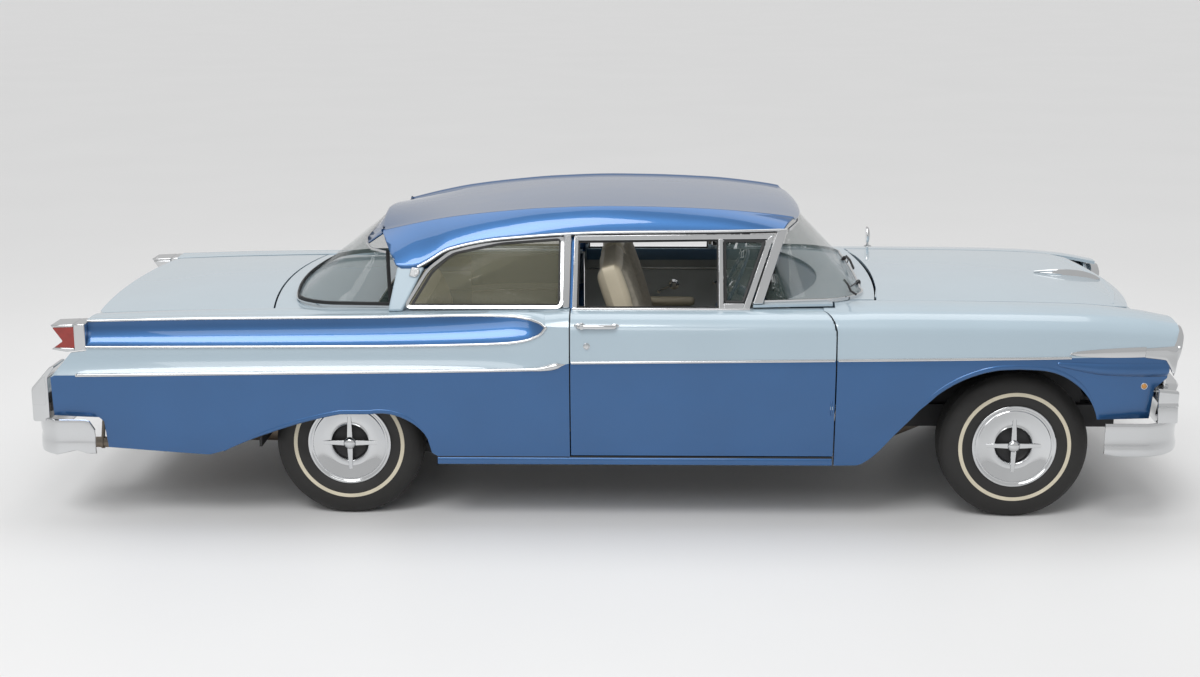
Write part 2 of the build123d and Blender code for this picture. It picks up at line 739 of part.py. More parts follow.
def quarter_outline():
    """The side view of the right rear quarter, with its wheel opening and the cut for the bumper."""
    with BuildSketch(Plane.XZ.offset(cut_y)) as face:
        with BuildLine():
            Polyline(
                (quarter_front_x, above_body_z), (quarter_front_x, rocker_top_z + seat_gap),
                (rocker_rear_x, rocker_top_z + seat_gap), (rear_x + 403, 330), (rear_x + 386, 401),
            )
            ThreePointArc((rear_x + 386, 401), (rear_x + 300, 500), (rear_x + 121, 534))
            Line((rear_x + 121, 534), (rear_x - 17, 533))
            ThreePointArc((rear_x - 17, 533), (rear_x - 345, 441), (rear_x - 573, 335))
            Polyline(
                (rear_x - 573, 335), (rear_x - 640, 316), (rear_x - 1110, 350), (rear_x - 1118, 480),
                (rear_x - 1140, 500), (rear_x - 1352, 505), (rear_x - 1352, 690), (rear_x - 1260, 800),
                (lamp_end_x, 810), (lamp_end_x, above_body_z), (quarter_front_x, above_body_z),
            )
        make_face()
    return face.sketch


with BuildPart() as quarter_right:
    loft([quarter_profile(row) for row in quarter_rows], ruled=True)
    extrude(quarter_outline(), amount=cut_depth, mode=Mode.INTERSECT)
    side_plate(
        [
            (quarter_front_x - 30, rocker_top_z + seat_gap), (quarter_front_x - 30, belt_z - skin),
            (quarter_front_x - 110, belt_z - skin), (quarter_front_x - 110, rocker_top_z + seat_gap),
        ],
        -sill_y + wall - 4, -sill_y + wall + 116,
    )
save(quarter_right.part, "quarter_panel_right")

with BuildPart() as quarter_left:
    add(mirror(quarter_right.part, about=Plane.XZ))
save(quarter_left.part, "quarter_panel_left")

# Rear deck and parcel shelf, the deck lid and the tail panel
shelf_front_x = rear_x + 120
deck_pivot_x = rear_x - 290
deck_pivot_z = shelf_z - 41
deck_edge_z = 966
deck_end_bow = 40
deck_end_half = deck_half - 40
deck_rows = [
    (deck_front_x + 30, deck_edge_z, shelf_z),
    (rear_x - 790, 958, 976),
    (deck_rear_x, 940, 952),
]


def deck_edge(x, sign=1):
    """The bowed shut line between the rear deck and its lid."""
    return [(x, -deck_half * sign), (x - deck_bow, 0), (x, deck_half * sign)]


def bowed_strip(x, bow, thick, half):
    """The lines of a strip across the car that bows to the rear."""
    ThreePointArc((x, half), (x - bow, 0), (x, -half))
    Line((x, -half), (x + thick, -half))
    ThreePointArc((x + thick, -half), (x + thick - bow, 0), (x + thick, half))
    Line((x + thick, half), (x, half))


with BuildPart() as rear_deck:
    extrude(
        crowned(deck_front_x - 90, quarter_edge_y - seat_gap, deck_edge_z, shelf_z, lid_skin),
        amount=shelf_front_x - deck_front_x + 90,
    )
    with BuildSketch(Plane.XY.offset(900)) as keep:
        with BuildLine():
            ThreePointArc(*[(x + lid_gap, y * 1.02) for x, y in deck_edge(deck_front_x)])
            Polyline(
                (deck_front_x + lid_gap, deck_half * 1.02), (shelf_front_x, deck_half * 1.02),
                (shelf_front_x, -deck_half * 1.02), (deck_front_x + lid_gap, -deck_half * 1.02),
            )
        make_face()
    extrude(keep.sketch, amount=150, mode=Mode.INTERSECT)
    for sign in (-1, 1):
        side_plate(
            [
                (deck_pivot_x - 14, deck_pivot_z - 12), (deck_pivot_x + 14, deck_pivot_z - 12),
                (deck_pivot_x + 30, deck_edge_z + 6), (deck_pivot_x - 14, deck_edge_z + 6),
            ],
            *sorted((sign * (arm_y - arm_half - 1), sign * (arm_y - arm_half - 11))),
        )
        rod(
            (deck_pivot_x, sign * (arm_y - arm_half - 6), deck_pivot_z),
            (deck_pivot_x, sign * (arm_y + arm_half + 4), deck_pivot_z), pivot_radius,
        )
save(rear_deck.part, "rear_deck")

with BuildPart() as deck_lid:
    loft([crowned(x, deck_half + 5, edge, middle, lid_skin) for x, edge, middle in deck_rows], ruled=True)
    with BuildSketch(Plane.XY.offset(850)) as keep:
        with BuildLine():
            ThreePointArc(*deck_edge(deck_front_x))
            Polyline(
                (deck_front_x, deck_half), (deck_rear_x + 20, deck_half), (deck_rear_x, deck_half - 20),
            )
            ThreePointArc((deck_rear_x, deck_half - 20), (deck_rear_x - 50, 0), (deck_rear_x, 20 - deck_half))
            Polyline(
                (deck_rear_x, 20 - deck_half), (deck_rear_x + 20, -deck_half), (deck_front_x, -deck_half),
            )
        make_face()
    extrude(keep.sketch, amount=200, mode=Mode.INTERSECT)
    with BuildSketch(Plane.XY.offset(deck_foot_z)) as foot:
        with BuildLine():
            bowed_strip(deck_lip_x, deck_end_bow, skin, deck_end_half)
        make_face()
    with BuildSketch(Plane.XY.offset(940)) as brow:
        with BuildLine():
            bowed_strip(deck_rear_x, deck_end_bow, skin, deck_end_half)
        make_face()
    loft([foot.sketch, brow.sketch], ruled=True)
    gooseneck(deck_pivot_x, deck_pivot_z, -160, 100, deck_edge_z + 2)
save(deck_lid.part, "deck_lid")

# Tail panel below the deck lid
with BuildPart() as tail_panel:
    with BuildSketch(Plane.XY.offset(trunk_floor_z - trunk_drop)) as panel:
        with BuildLine():
            bowed_strip(deck_lip_x - 2, deck_end_bow, skin, deck_end_half)
        make_face()
        for sign in (-1, 1):
            with BuildLine():
                Polyline(
                    (deck_lip_x - 2, sign * (deck_end_half - 1)), (deck_lip_x - 2, sign * quarter_inner_y),
                    (deck_lip_x - 2 + skin, sign * quarter_inner_y),
                    (deck_lip_x - 2 + skin, sign * (deck_end_half - 1)), close=True,
                )
            make_face()
    extrude(panel.sketch, amount=deck_foot_z - lid_gap - trunk_floor_z + trunk_drop)
    plan_plate(
        [
            (trunk_end_x - seat_gap, -house_inner_y), (deck_lip_x - 8, -house_inner_y),
            (deck_lip_x - 8, house_inner_y), (trunk_end_x - seat_gap, house_inner_y),
        ],
        trunk_floor_z - trunk_drop, trunk_floor_z,
    )
save(tail_panel.part, "tail_panel")

# Roof: rows of x, rail height, ridge half-width and height, middle height and wall
roof_rows = [
    (front_x - 955, 1336, 540, 1352, 1354, 14),
    (front_x - 1000, 1334, 552, 1374, 1374, 22),
    (front_x - 1389, 1325, 585, 1420, 1417, 22),
    (front_x - 1889, 1320, 590, roof_z, 1432, 22),
    (front_x - 2389, 1291, 582, 1408, 1405, 22),
    (front_x - 2629, 1246, 575, 1380, 1378, 22),
    (front_x - 2789, 1165, 568, 1350, 1362, 22),
    (front_x - 3010, 1165, 540, 1298, 1340, 22),
]
roof_plan = [(front_x - 1086, 690), (front_x - 984, 420), (front_x - 958, 0)]
roof_tail = [(front_x - 2955, 600), (front_x - 2985, 300), (front_x - 3000, 0)]
rail_overhang = 14
post_depth = (-24, frame_half + 2)


def lean_y(z):
    """Half-width of the side glass plane at a height."""
    return lean_foot_y - (z - lean_foot_z) * (lean_foot_y - lean_top_y) / (lean_top_z - lean_foot_z)


def roof_profile(row):
    """The section of the roof: side bands down to the rails, raised ridges and a flat middle."""
    x, rail_z, ridge_y, ridge_z, middle_z, thick = row
    rail_y = lean_y(rail_z) + rail_overhang
    with BuildSketch(Plane.YZ.offset(x)) as face:
        with BuildLine():
            Polyline(
                (-rail_y + thick, rail_z), (-rail_y, rail_z), (-ridge_y, ridge_z),
                (-ridge_y + 60, ridge_z - 8),
            )
            ThreePointArc((-ridge_y + 60, ridge_z - 8), (0, middle_z), (ridge_y - 60, ridge_z - 8))
            Polyline(
                (ridge_y - 60, ridge_z - 8), (ridge_y, ridge_z), (rail_y, rail_z), (rail_y - thick, rail_z),
                (ridge_y - thick, ridge_z - thick - 8),
            )
            ThreePointArc(
                (ridge_y - thick, ridge_z - thick - 8), (0, middle_z - thick),
                (-ridge_y + thick, ridge_z - thick - 8),
            )
            Line((-ridge_y + thick, ridge_z - thick - 8), (-rail_y + thick, rail_z))
        make_face()
    return face.sketch


screen_top_z = 1339
post_width = 45
front_post = [
    (frame_front_x(cowl_z - 30) + panel_gap, cowl_z - 30),
    (frame_front_x(cowl_z - 30) + panel_gap + post_width, cowl_z - 30),
    (frame_front_x(screen_top_z) + panel_gap + post_width, screen_top_z),
    (frame_front_x(screen_top_z) + panel_gap, screen_top_z),
]
centre_post = [
    (door_rear_x - 40, belt_z - 30), (door_rear_x - 8, belt_z - 30), (door_rear_x - 2, 1320),
    (door_rear_x - 40, 1320),
]
centre_post_inner = [
    (door_rear_x - 40, belt_z - 30), (door_rear_x + 12, belt_z - 30), (door_rear_x + 16, 1320),
    (door_rear_x - 40, 1320),
]
rear_post = [
    (rear_x + 198, shelf_z - 40), (rear_x + 265, shelf_z - 40), (rear_x + 360, 1170), (rear_x + 235, 1170),
]

with BuildPart() as roof:
    loft([roof_profile(row) for row in roof_rows], ruled=True)
    with BuildSketch(Plane.XY.offset(1100)) as keep:
        with BuildLine():
            ThreePointArc((roof_plan[0][0], -690), (roof_plan[1][0], -420), (roof_plan[2][0], 0))
            ThreePointArc((roof_plan[2][0], 0), (roof_plan[1][0], 420), (roof_plan[0][0], 690))
            Polyline((roof_plan[0][0], 690), (roof_plan[0][0], 800), (roof_tail[0][0], 800), roof_tail[0])
            ThreePointArc(roof_tail[0], roof_tail[2], (roof_tail[0][0], -600))
            Polyline(
                (roof_tail[0][0], -600), (roof_tail[0][0], -800), (roof_plan[0][0], -800),
                (roof_plan[0][0], -690),
            )
        make_face()
    extrude(keep.sketch, amount=400, mode=Mode.INTERSECT)
    side_plate(
        [
            (rear_x + 90, 1100), (rear_x + 235, 1100), (rear_x + 235, 1168), (rear_x + 148, 1302),
            (rear_x + 90, 1302),
        ],
        -half_width, half_width, mode=Mode.SUBTRACT,
    )
    leaning_plate(front_post, *post_depth)
    leaning_plate(centre_post, -46, frame_half - 2)
    leaning_plate(centre_post_inner, -46, -frame_half - 6)
    leaning_plate(rear_post, *post_depth)
    for low_x, high_x, foot_z in (
        (arm_end_x - 40, arm_end_x + 140, cowl_z + seat_gap),
        (door_rear_x - 60, door_rear_x + 60, belt_z + seat_gap),
        (rear_x + 100, rear_x + 400, shelf_z - 9),
    ):
        plan_plate([(low_x, -900), (high_x, -900), (high_x, 0), (low_x, 0)], 900, foot_z, Mode.SUBTRACT)
    add(mirror(roof.part, about=Plane.XZ))
save(roof.part, "roof")


def band(z, half_points, thick, toward):
    """A curved strip of glass from above: side line, corner arc and shallow middle arc."""
    side, corner_start, corner, corner_end, middle = half_points
    inner = [(x - toward * thick, y - thick) for x, y in (side, corner_start, corner, corner_end)]
    inner_middle = (middle[0] - toward * thick, 0)
    with BuildSketch(Plane.XY.offset(z)) as face:
        with BuildLine():
            Line((side[0], -side[1]), (corner_start[0], -corner_start[1]))
            ThreePointArc(*[(x, -y) for x, y in (corner_start, corner, corner_end)])
            ThreePointArc((corner_end[0], -corner_end[1]), middle, corner_end)
            ThreePointArc(corner_end, corner, corner_start)
            Polyline(corner_start, side, inner[0], inner[1])
            ThreePointArc(inner[1], inner[2], inner[3])
            ThreePointArc(inner[3], inner_middle, (inner[3][0], -inner[3][1]))
            ThreePointArc(*[(x, -y) for x, y in reversed(inner[1:4])])
            Polyline((inner[1][0], -inner[1][1]), (inner[0][0], -inner[0][1]), (side[0], -side[1]))
        make_face()
    return face.sketch


# Glass at foot and head from above: side, corner's start, middle and end, middle of the car
screen_foot = [
    (front_x - 1166, cowl_side_y - 14), (front_x - 889, 752), (front_x - 739, 665),
    (front_x - 694, 480), (front_x - 683, 0),
]
screen_head = [
    (front_x - 1046, 630), (front_x - 1040, 608), (front_x - 1022, 535),
    (front_x - 994, 420), (front_x - 969, 0),
]
with BuildPart() as windscreen:
    loft(
        [band(cowl_z + seat_gap, screen_foot, glass, 1), band(screen_top_z, screen_head, glass, 1)],
        ruled=True,
    )
save(windscreen.part, "windscreen")

rear_foot = [
    (rear_x + 196, quarter_edge_y + 14), (rear_x - 25, quarter_edge_y - 3), (rear_x - 200, deck_half - 63),
    (rear_x - 275, 520), (rear_x - 320, 0),
]
rear_head = [
    (rear_x + 165, 590), (rear_x + 150, 560), (rear_x + 138, 500), (rear_x + 130, 420), (rear_x + 115, 0),
]
with BuildPart() as rear_window:
    loft([band(shelf_z + seat_gap, rear_foot, glass, -1), band(1330, rear_head, glass, -1)], ruled=True)
    cross_plate(
        [
            (-half_width, 980), (-half_width, 1128), (-570, 1248), (-300, 1294), (0, 1312), (300, 1294),
            (570, 1248), (half_width, 1128), (half_width, 980),
        ],
        rear_x - 400, rear_x + 300, mode=Mode.INTERSECT,
    )
save(rear_window.part, "rear_window")

quarter_pane = [
    (door_rear_x - 40 - seat_gap, belt_z + 1), (door_rear_x - 40 - seat_gap, 1304), (rear_x + 712, 1284),
    (rear_x + 486, 1240), (rear_x + 388, 1160), (rear_x + 285, belt_z + 1),
]
with BuildPart() as quarter_glass:
    leaning_plate(quarter_pane, -glass / 2, glass / 2)
    add(mirror(quarter_glass.part, about=Plane.XZ))
save(quarter_glass.part, "quarter_glass")

# Headlamps, their bezels, tail lamps and their bezels
with BuildPart() as headlamps:
    for sign in (-1, 1):
        centre = (sign * lamp_y, lamp_z)
        rod((lamp_seat_x, *centre), (lens_front_x, *centre), lamp_radius - seat_gap)
save(headlamps.part, "headlamps")

with BuildPart() as headlamp_bezels:
    for sign in (-1, 1):
        centre = (sign * lamp_y, lamp_z)
        rod((bezel_rear_x, *centre), (bezel_front_x, *centre), lamp_radius + skin)
        rod((lamp_seat_x, *centre), (nose_x, *centre), lamp_radius, Mode.SUBTRACT)
        side_plate(
            [
                (bezel_front_x, lamp_z + 93), (bezel_front_x + 30, lamp_z + 93),
                (bezel_front_x + 30, lamp_z - 112), (bezel_front_x - 24, lamp_z - 112),
            ],
            *sorted((sign * (lamp_y - 140), sign * (lamp_y + 140))), mode=Mode.SUBTRACT,
        )
save(headlamp_bezels.part, "headlamp_bezels")

tail_outline = [
    (lamp_end_x - seat_gap, 938), (rear_x - 1344, 932), (rear_x - 1300, 855), (rear_x - 1348, 817),
    (rear_x - 1274, 806), (lamp_end_x - seat_gap, 816),
]
lens_y = (818, 926)
with BuildPart() as tail_lamp_bezels:
    for sign in (-1, 1):
        side_plate(tail_outline, *sorted((sign * 800, sign * 944)))
        side_plate(
            [(rear_x - 1210, 918), (rear_x - 1360, 918), (rear_x - 1360, 828), (rear_x - 1210, 832)],
            *sorted((sign * lens_y[0], sign * lens_y[1])), mode=Mode.SUBTRACT,
        )
save(tail_lamp_bezels.part, "tail_lamp_bezels")

with BuildPart() as tail_lamps:
    for sign in (-1, 1):
        side_plate(
            [
                (rear_x - 1211, 917), (rear_x - 1338, 917), (rear_x - 1292, 855), (rear_x - 1334, 829),
                (rear_x - 1211, 833),
            ],
            *sorted((sign * (lens_y[0] + seat_gap), sign * (lens_y[1] - seat_gap))),
        )
save(tail_lamps.part, "tail_lamps")

# Bumpers: plan curves at the outside, then what the plan trims
bumper_wall = 14
bend_y = 780


def bumper_plan(z, corner, far, middle, wing_x, inset):
    """A bumper from above: side wing, rounded corner and bowed middle, set in from the outside."""
    toward = 1 if middle > 0 else -1
    wing_y = half_width - inset
    start = (corner - toward * inset * 0.4, wing_y)
    bend = ((corner + far) / 2 + toward * (22 - inset * 0.8), (half_width + bend_y) / 2 + 48 - inset * 0.8)
    stop = (far - toward * inset, bend_y)
    with BuildSketch(Plane.XY.offset(z)) as face:
        with BuildLine():
            Line((wing_x, -wing_y), (start[0], -wing_y))
            ThreePointArc((start[0], -wing_y), (bend[0], -bend[1]), (stop[0], -stop[1]))
            ThreePointArc((stop[0], -stop[1]), (middle - toward * inset, 0), stop)
            ThreePointArc(stop, bend, start)
            Line(start, (wing_x, wing_y))
            Line((wing_x, wing_y), (wing_x, -wing_y))
        make_face()
    return face.sketch


front_plan = (front_x + 571, front_x + 752, nose_x)
front_wing_x = front_x + 375
front_low_z = 344
front_high_z = 499
wing_inner_y = half_width - bumper_wall - 1
pod_outer = [(-955, 497), (-410, 497), (-425, 640), (-470, 652), (-880, 656), (-945, 600)]
pod_inner = [(-930, 515), (-436, 515), (-447, 624), (-480, 632), (-872, 636), (-922, 590)]
with BuildPart() as front_bumper:
    cross_plate(pod_outer, front_x + 631, nose_x)
    cross_plate(pod_inner, front_x + 651, nose_x, mode=Mode.SUBTRACT)
    cross_plate([(-y, z) for y, z in pod_outer], front_x + 631, nose_x)
    cross_plate([(-y, z) for y, z in pod_inner], front_x + 651, nose_x, mode=Mode.SUBTRACT)
    cross_plate([(-412, 505), (412, 505), (412, 570), (-412, 570)], front_x + 640, nose_x)
    extrude(bumper_plan(front_low_z - 4, *front_plan, front_wing_x, 0), amount=320, mode=Mode.INTERSECT)
    extrude(bumper_plan(front_low_z, *front_plan, front_wing_x, 0), amount=front_high_z - front_low_z)
    extrude(
        bumper_plan(front_low_z - 4, *front_plan, front_wing_x - 1, bumper_wall),
        amount=front_high_z - front_low_z - 1, mode=Mode.SUBTRACT,
    )
    plan_plate(
        [
            (front_wing_x - 1, -wing_inner_y), (front_x + 500, -wing_inner_y), (front_x + 600, -850),
            (front_x + 600, 850), (front_x + 500, wing_inner_y), (front_wing_x - 1, wing_inner_y),
        ],
        front_high_z - 9, front_high_z + 21, mode=Mode.SUBTRACT,
    )
    for sign in (-1, 1):
        side_plate(
            [
                (rail_front_x + seat_gap, 352), (rail_front_x + 210, 352), (rail_front_x + 210, 420),
                (rail_front_x + seat_gap, 420),
            ],
            *sorted((sign * 345, sign * 415)),
        )
save(front_bumper.part, "front_bumper")

rear_plan = (rear_x - 1335, rear_x - 1445, tail_x)
rear_wing_x = rear_x - 1150
rear_low_z = 330
rear_high_z = 500
plate_pitch = 177.8
plate_hole_radius = 3.5
blade = [
    (rear_x - 1445, 480), (rear_x - 1445, 635), (rear_x - 1350, 742), (rear_x - 1328, 742),
    (rear_x - 1366, 692), (rear_x - 1366, 480),
]
with BuildPart() as rear_bumper:
    extrude(bumper_plan(rear_low_z, *rear_plan, rear_wing_x, 0), amount=rear_high_z - rear_low_z)
    extrude(
        bumper_plan(rear_low_z - 4, *rear_plan, rear_wing_x + 1, bumper_wall),
        amount=rear_high_z - rear_low_z - 10, mode=Mode.SUBTRACT,
    )
    plan_plate(
        [
            (rear_wing_x + 1, -wing_inner_y), (rear_x - 1362, 39 - wing_inner_y),
            (rear_x - 1362, wing_inner_y - 39), (rear_wing_x + 1, wing_inner_y),
        ],
        rear_high_z - 20, rear_high_z + 20, mode=Mode.SUBTRACT,
    )
    for sign in (-1, 1):
        side_plate(blade, *sorted((sign * 800, sign * 968)))
        side_plate(
            [
                (rail_rear_x - seat_gap, 425), (rail_rear_x - 205, 425), (rail_rear_x - 205, 478),
                (rail_rear_x - seat_gap, 478),
            ],
            *sorted((sign * 465, sign * 525)),
        )
    cross_plate([(-110, 440), (110, 440), (110, 562), (-110, 562)], tail_x + 12, tail_x + 16)
    for y in (-plate_pitch / 2, plate_pitch / 2):
        rod((tail_x, y, 536), (tail_x + 30, y, 536), plate_hole_radius, Mode.SUBTRACT)
save(rear_bumper.part, "rear_bumper")

# Grille: header ledge, frame, level bars and upright bars
grille_x = (lamp_seat_x - 20, lamp_seat_x)
grille_half = lamp_y - lamp_radius - skin - seat_gap
grille_low_z = 500
grille_top_z = 872
header_x = hood_front_x + 10
header_bow = hood_nose_x - hood_front_x
grille_rim = 24
grille_inner = grille_half - grille_rim
grille_bars = 5
grille_teeth = 13
tooth_pitch = 92
with BuildPart() as grille:
    cross_plate(
        [
            (-grille_half, 700), (-grille_half, grille_top_z), (grille_half, grille_top_z),
            (grille_half, 700), (grille_half - 60, grille_low_z), (60 - grille_half, grille_low_z),
        ],
        *grille_x,
    )
    cross_plate(
        [
            (-grille_inner, 712), (-grille_inner, grille_top_z - grille_rim),
            (grille_inner, grille_top_z - grille_rim), (grille_inner, 712),
            (grille_inner - 60, grille_low_z + 20), (60 - grille_inner, grille_low_z + 20),
        ],
        grille_x[0] - 1, grille_x[1] + 1, mode=Mode.SUBTRACT,
    )
    for index in range(grille_bars):
        height = grille_low_z + 70 + index * (grille_top_z - grille_low_z - 90) / grille_bars
        reach = grille_half - 12 if height > 712 else grille_half - 72 + (height - grille_low_z) * 0.28
        cross_plate([(-reach, height), (reach, height), (reach, height + 9), (-reach, height + 9)], *grille_x)
    for index in range(grille_teeth):
        y = (index - (grille_teeth - 1) / 2) * tooth_pitch
        cross_plate(
            [
                (y - 4, grille_low_z + 8), (y + 4, grille_low_z + 8), (y + 4, grille_top_z - 8),
                (y - 4, grille_top_z - 8),
            ],
            grille_x[0] + 4, grille_x[1] - 6,
        )
    with BuildSketch(Plane.XY.offset(grille_top_z - 10)) as header:
        with BuildLine():
            ThreePointArc((header_x, -grille_half), (header_x + header_bow, 0), (header_x, grille_half))
            Line((header_x, grille_half), (grille_x[1], grille_half))
            ThreePointArc((grille_x[1], grille_half), (grille_x[1] + 36, 0), (grille_x[1], -grille_half))
            Line((grille_x[1], -grille_half), (header_x, -grille_half))
        make_face()
    extrude(header.sketch, amount=26)
save(grille.part, "grille")

# Engine and gearbox as one block, and the radiator
engine_foot_z = engine_mount_z + seat_gap
engine_half = 240
gearbox_half = 100
gearbox_top_z = 357
with BuildPart() as engine:
    side_plate(
        [
            (gearbox_rear_x, gearbox_low_z), (front_x - 560, gearbox_low_z), (front_x - 500, engine_foot_z),
            (front_x + 190, engine_foot_z), (front_x + 190, 800), (front_x + 120, 860), (front_x - 480, 860),
            (front_x - 560, 700), (front_x - 620, gearbox_top_z), (gearbox_rear_x, gearbox_top_z),
        ],
        -engine_half, engine_half,
    )
    for sign in (-1, 1):
        beside = sorted((sign * gearbox_half, sign * (engine_half + 1)))
        side_plate(
            [
                (gearbox_rear_x - 1, rail_low_z), (front_x - 560, rail_low_z), (front_x - 560, 860),
                (gearbox_rear_x - 1, 860),
            ],
            *beside, mode=Mode.SUBTRACT,
        )
save(engine.part, "engine")

with BuildPart() as radiator:
    side_plate(
        [
            (front_x + 482, radiator_foot_z + seat_gap), (front_x + 538, radiator_foot_z + seat_gap),
            (front_x + 538, 850), (front_x + 482, 850),
        ],
        -290, 290,
    )
save(radiator.part, "radiator")

# Front suspension: arms on each rail, bored for the king pin
pin_y = 655
pin_radius = 14
arm_heights = ((262, 286), (rail_front_z[1] + seat_gap, rail_front_z[1] + 20))


def king_pin(sign, low, high, radius, mode=Mode.ADD):
    """A round bar on the line that a front wheel steers about."""
    rod((front_x, sign * pin_y, low), (front_x, sign * pin_y, high), radius, mode)


with BuildPart() as front_suspension:
    for sign in (-1, 1):
        for (low, high), root_y in zip(arm_heights, (rail_front_y[0] + 1, apron_y + skin + seat_gap)):
            plan_plate(
                [
                    (front_x - 120, sign * root_y), (front_x - 110, sign * 480), (front_x - 26, sign * 600),
                    (front_x - 26, sign * pin_y), (front_x + 26, sign * pin_y), (front_x + 26, sign * 600),
                    (front_x + 110, sign * 480), (front_x + 120, sign * root_y),
                ],
                low, high,
            )
            king_pin(sign, low, high, 26)
            king_pin(sign, low - 1, high + 1, pin_radius + hinge_fit, Mode.SUBTRACT)
        rod((front_x, sign * 480, 280), (front_x, sign * 480, rail_front_z[1] + 6), 45)
        side_plate(
            [
                (front_x - 60, 262), (front_x + 60, 262), (front_x + 60, rail_front_z[0] - seat_gap),
                (front_x - 60, rail_front_z[0] - seat_gap),
            ],
            *sorted((sign * (rail_front_y[0] + 1), sign * (rail_front_y[1] - 10))),
        )
save(front_suspension.part, "front_suspension")


def wheel_plane(x, y):
    """A plane through a wheel's middle: radius along its first axis, across the car along its second."""
    return Plane(origin=(x, y, tyre_radius), x_dir=(1, 0, 0), z_dir=(0, 0, 1))


def turned(x, y, sign, points, mode=Mode.ADD):
    """A round piece about the wheel's axle, from points of radius and distance outward."""
    plane = wheel_plane(x, y)
    section = flat(plane, [(radius, sign * out) for radius, out in points])
    revolve(section, axis=Axis(plane.origin, (0, 1, 0)), revolution_arc=360, mode=mode)


spindle_end = 62
front_wheel_y = front_track / 2
rear_wheel_y = rear_track / 2
drum_profile = [(0, -72), (drum_radius, -72), (drum_radius, -56), (0, -56)]

# Knuckles: king pin, drum plate and spindle
for name, sign in (("right", -1), ("left", 1)):
    with BuildPart() as knuckle:
        king_pin(sign, arm_heights[0][0] - 6, arm_heights[1][1] + 6, pin_radius)
        king_pin(sign, arm_heights[0][1] + 6, arm_heights[1][0] - 6, pin_radius + 10)
        turned(front_x, sign * front_wheel_y, sign, drum_profile)
        turned(
            front_x, sign * front_wheel_y, sign,
            [(0, -80), (spindle_radius, -80), (spindle_radius, spindle_end), (0, spindle_end)],
        )
    save(knuckle.part, "knuckle_" + name)

# Rear axle: housing, final drive, shaft, spring cups and trailing arms
shaft_z = 330
with BuildPart() as rear_axle:
    for reach, radius in ((rear_wheel_y - 70, 38), (rear_wheel_y + spindle_end, spindle_radius), (95, 125)):
        rod((rear_x, -reach, tyre_radius), (rear_x, reach, tyre_radius), radius)
    rod((rear_x + 60, 0, shaft_z), (rear_x + 260, 0, shaft_z), 55)
    rod((rear_x + 250, 0, shaft_z), (gearbox_rear_x - seat_gap, 0, shaft_z), 26)
    for sign in (-1, 1):
        rod((rear_x, sign * 495, 366), (rear_x, sign * 495, kick_top_z - rail_kick - seat_gap), 55)
        side_plate(
            [
                (rear_x - 30, 310), (rear_x + 30, 330), (rear_x + 440, rail_low_z - seat_gap),
                (rear_x + 560, rail_low_z - seat_gap), (rear_x + 560, 196), (rear_x + 420, 192),
                (rear_x - 30, 290),
            ],
            *sorted((sign * 478, sign * 512)),
        )
        turned(rear_x, sign * rear_wheel_y, sign, drum_profile)
save(rear_axle.part, "rear_axle")

# Wheels: disc wheel with its hubcap, and the tyre
rim_profile = [
    (spindle_radius + axle_fit, -48), (hub_radius, -48), (hub_radius, 20), (150, 44), (bead_radius - 12, 30),
    (bead_radius - 12, 8 - rim_half_width), (flange_radius - 2, -rim_half_width),
    (flange_radius, 5 - rim_half_width), (bead_radius - 4, 16 - rim_half_width),
    (bead_radius - 4, rim_half_width - 16), (flange_radius, rim_half_width - 5),
    (flange_radius - 2, rim_half_width), (bead_radius - 10, rim_half_width - 6), (150, 78), (86, 70),
    (60, 84), (30, 94), (0, 97), (0, spindle_end + 5), (spindle_radius + axle_fit, spindle_end + 5),
]
tyre_side = [
    (bead_radius, rim_half_width - 22), (flange_radius + 3, rim_half_width - 2), (225, 95),
    (265, tyre_half_width), (305, 99), (332, 84), (tyre_radius - 2, 66), (tyre_radius, 30),
]
tyre_profile = tyre_side + [(radius, -out) for radius, out in reversed(tyre_side)]
wheel_places = [
    ("front_right", front_x, -front_wheel_y, -1), ("front_left", front_x, front_wheel_y, 1),
    ("rear_right", rear_x, -rear_wheel_y, -1), ("rear_left", rear_x, rear_wheel_y, 1),
]
for name, x, y, sign in wheel_places:
    with BuildPart() as rim:
        turned(x, y, sign, rim_profile)
        for index in range(spoke_count):
            angle = 360 / spoke_count * index
            plane = Plane(
                origin=(x, y + sign * 66, tyre_radius), z_dir=(0, sign, 0),
                x_dir=(cos(radians(angle)), 0, sin(radians(angle))),
            )
            extrude(flat(plane, [(40, -12), (148, -7), (148, 7), (40, 12)]), amount=22)
    save(rim.part, "rim_" + name)
    with BuildPart() as tyre:
        turned(x, y, sign, tyre_profile)
    save(tyre.part, "tyre_" + name)

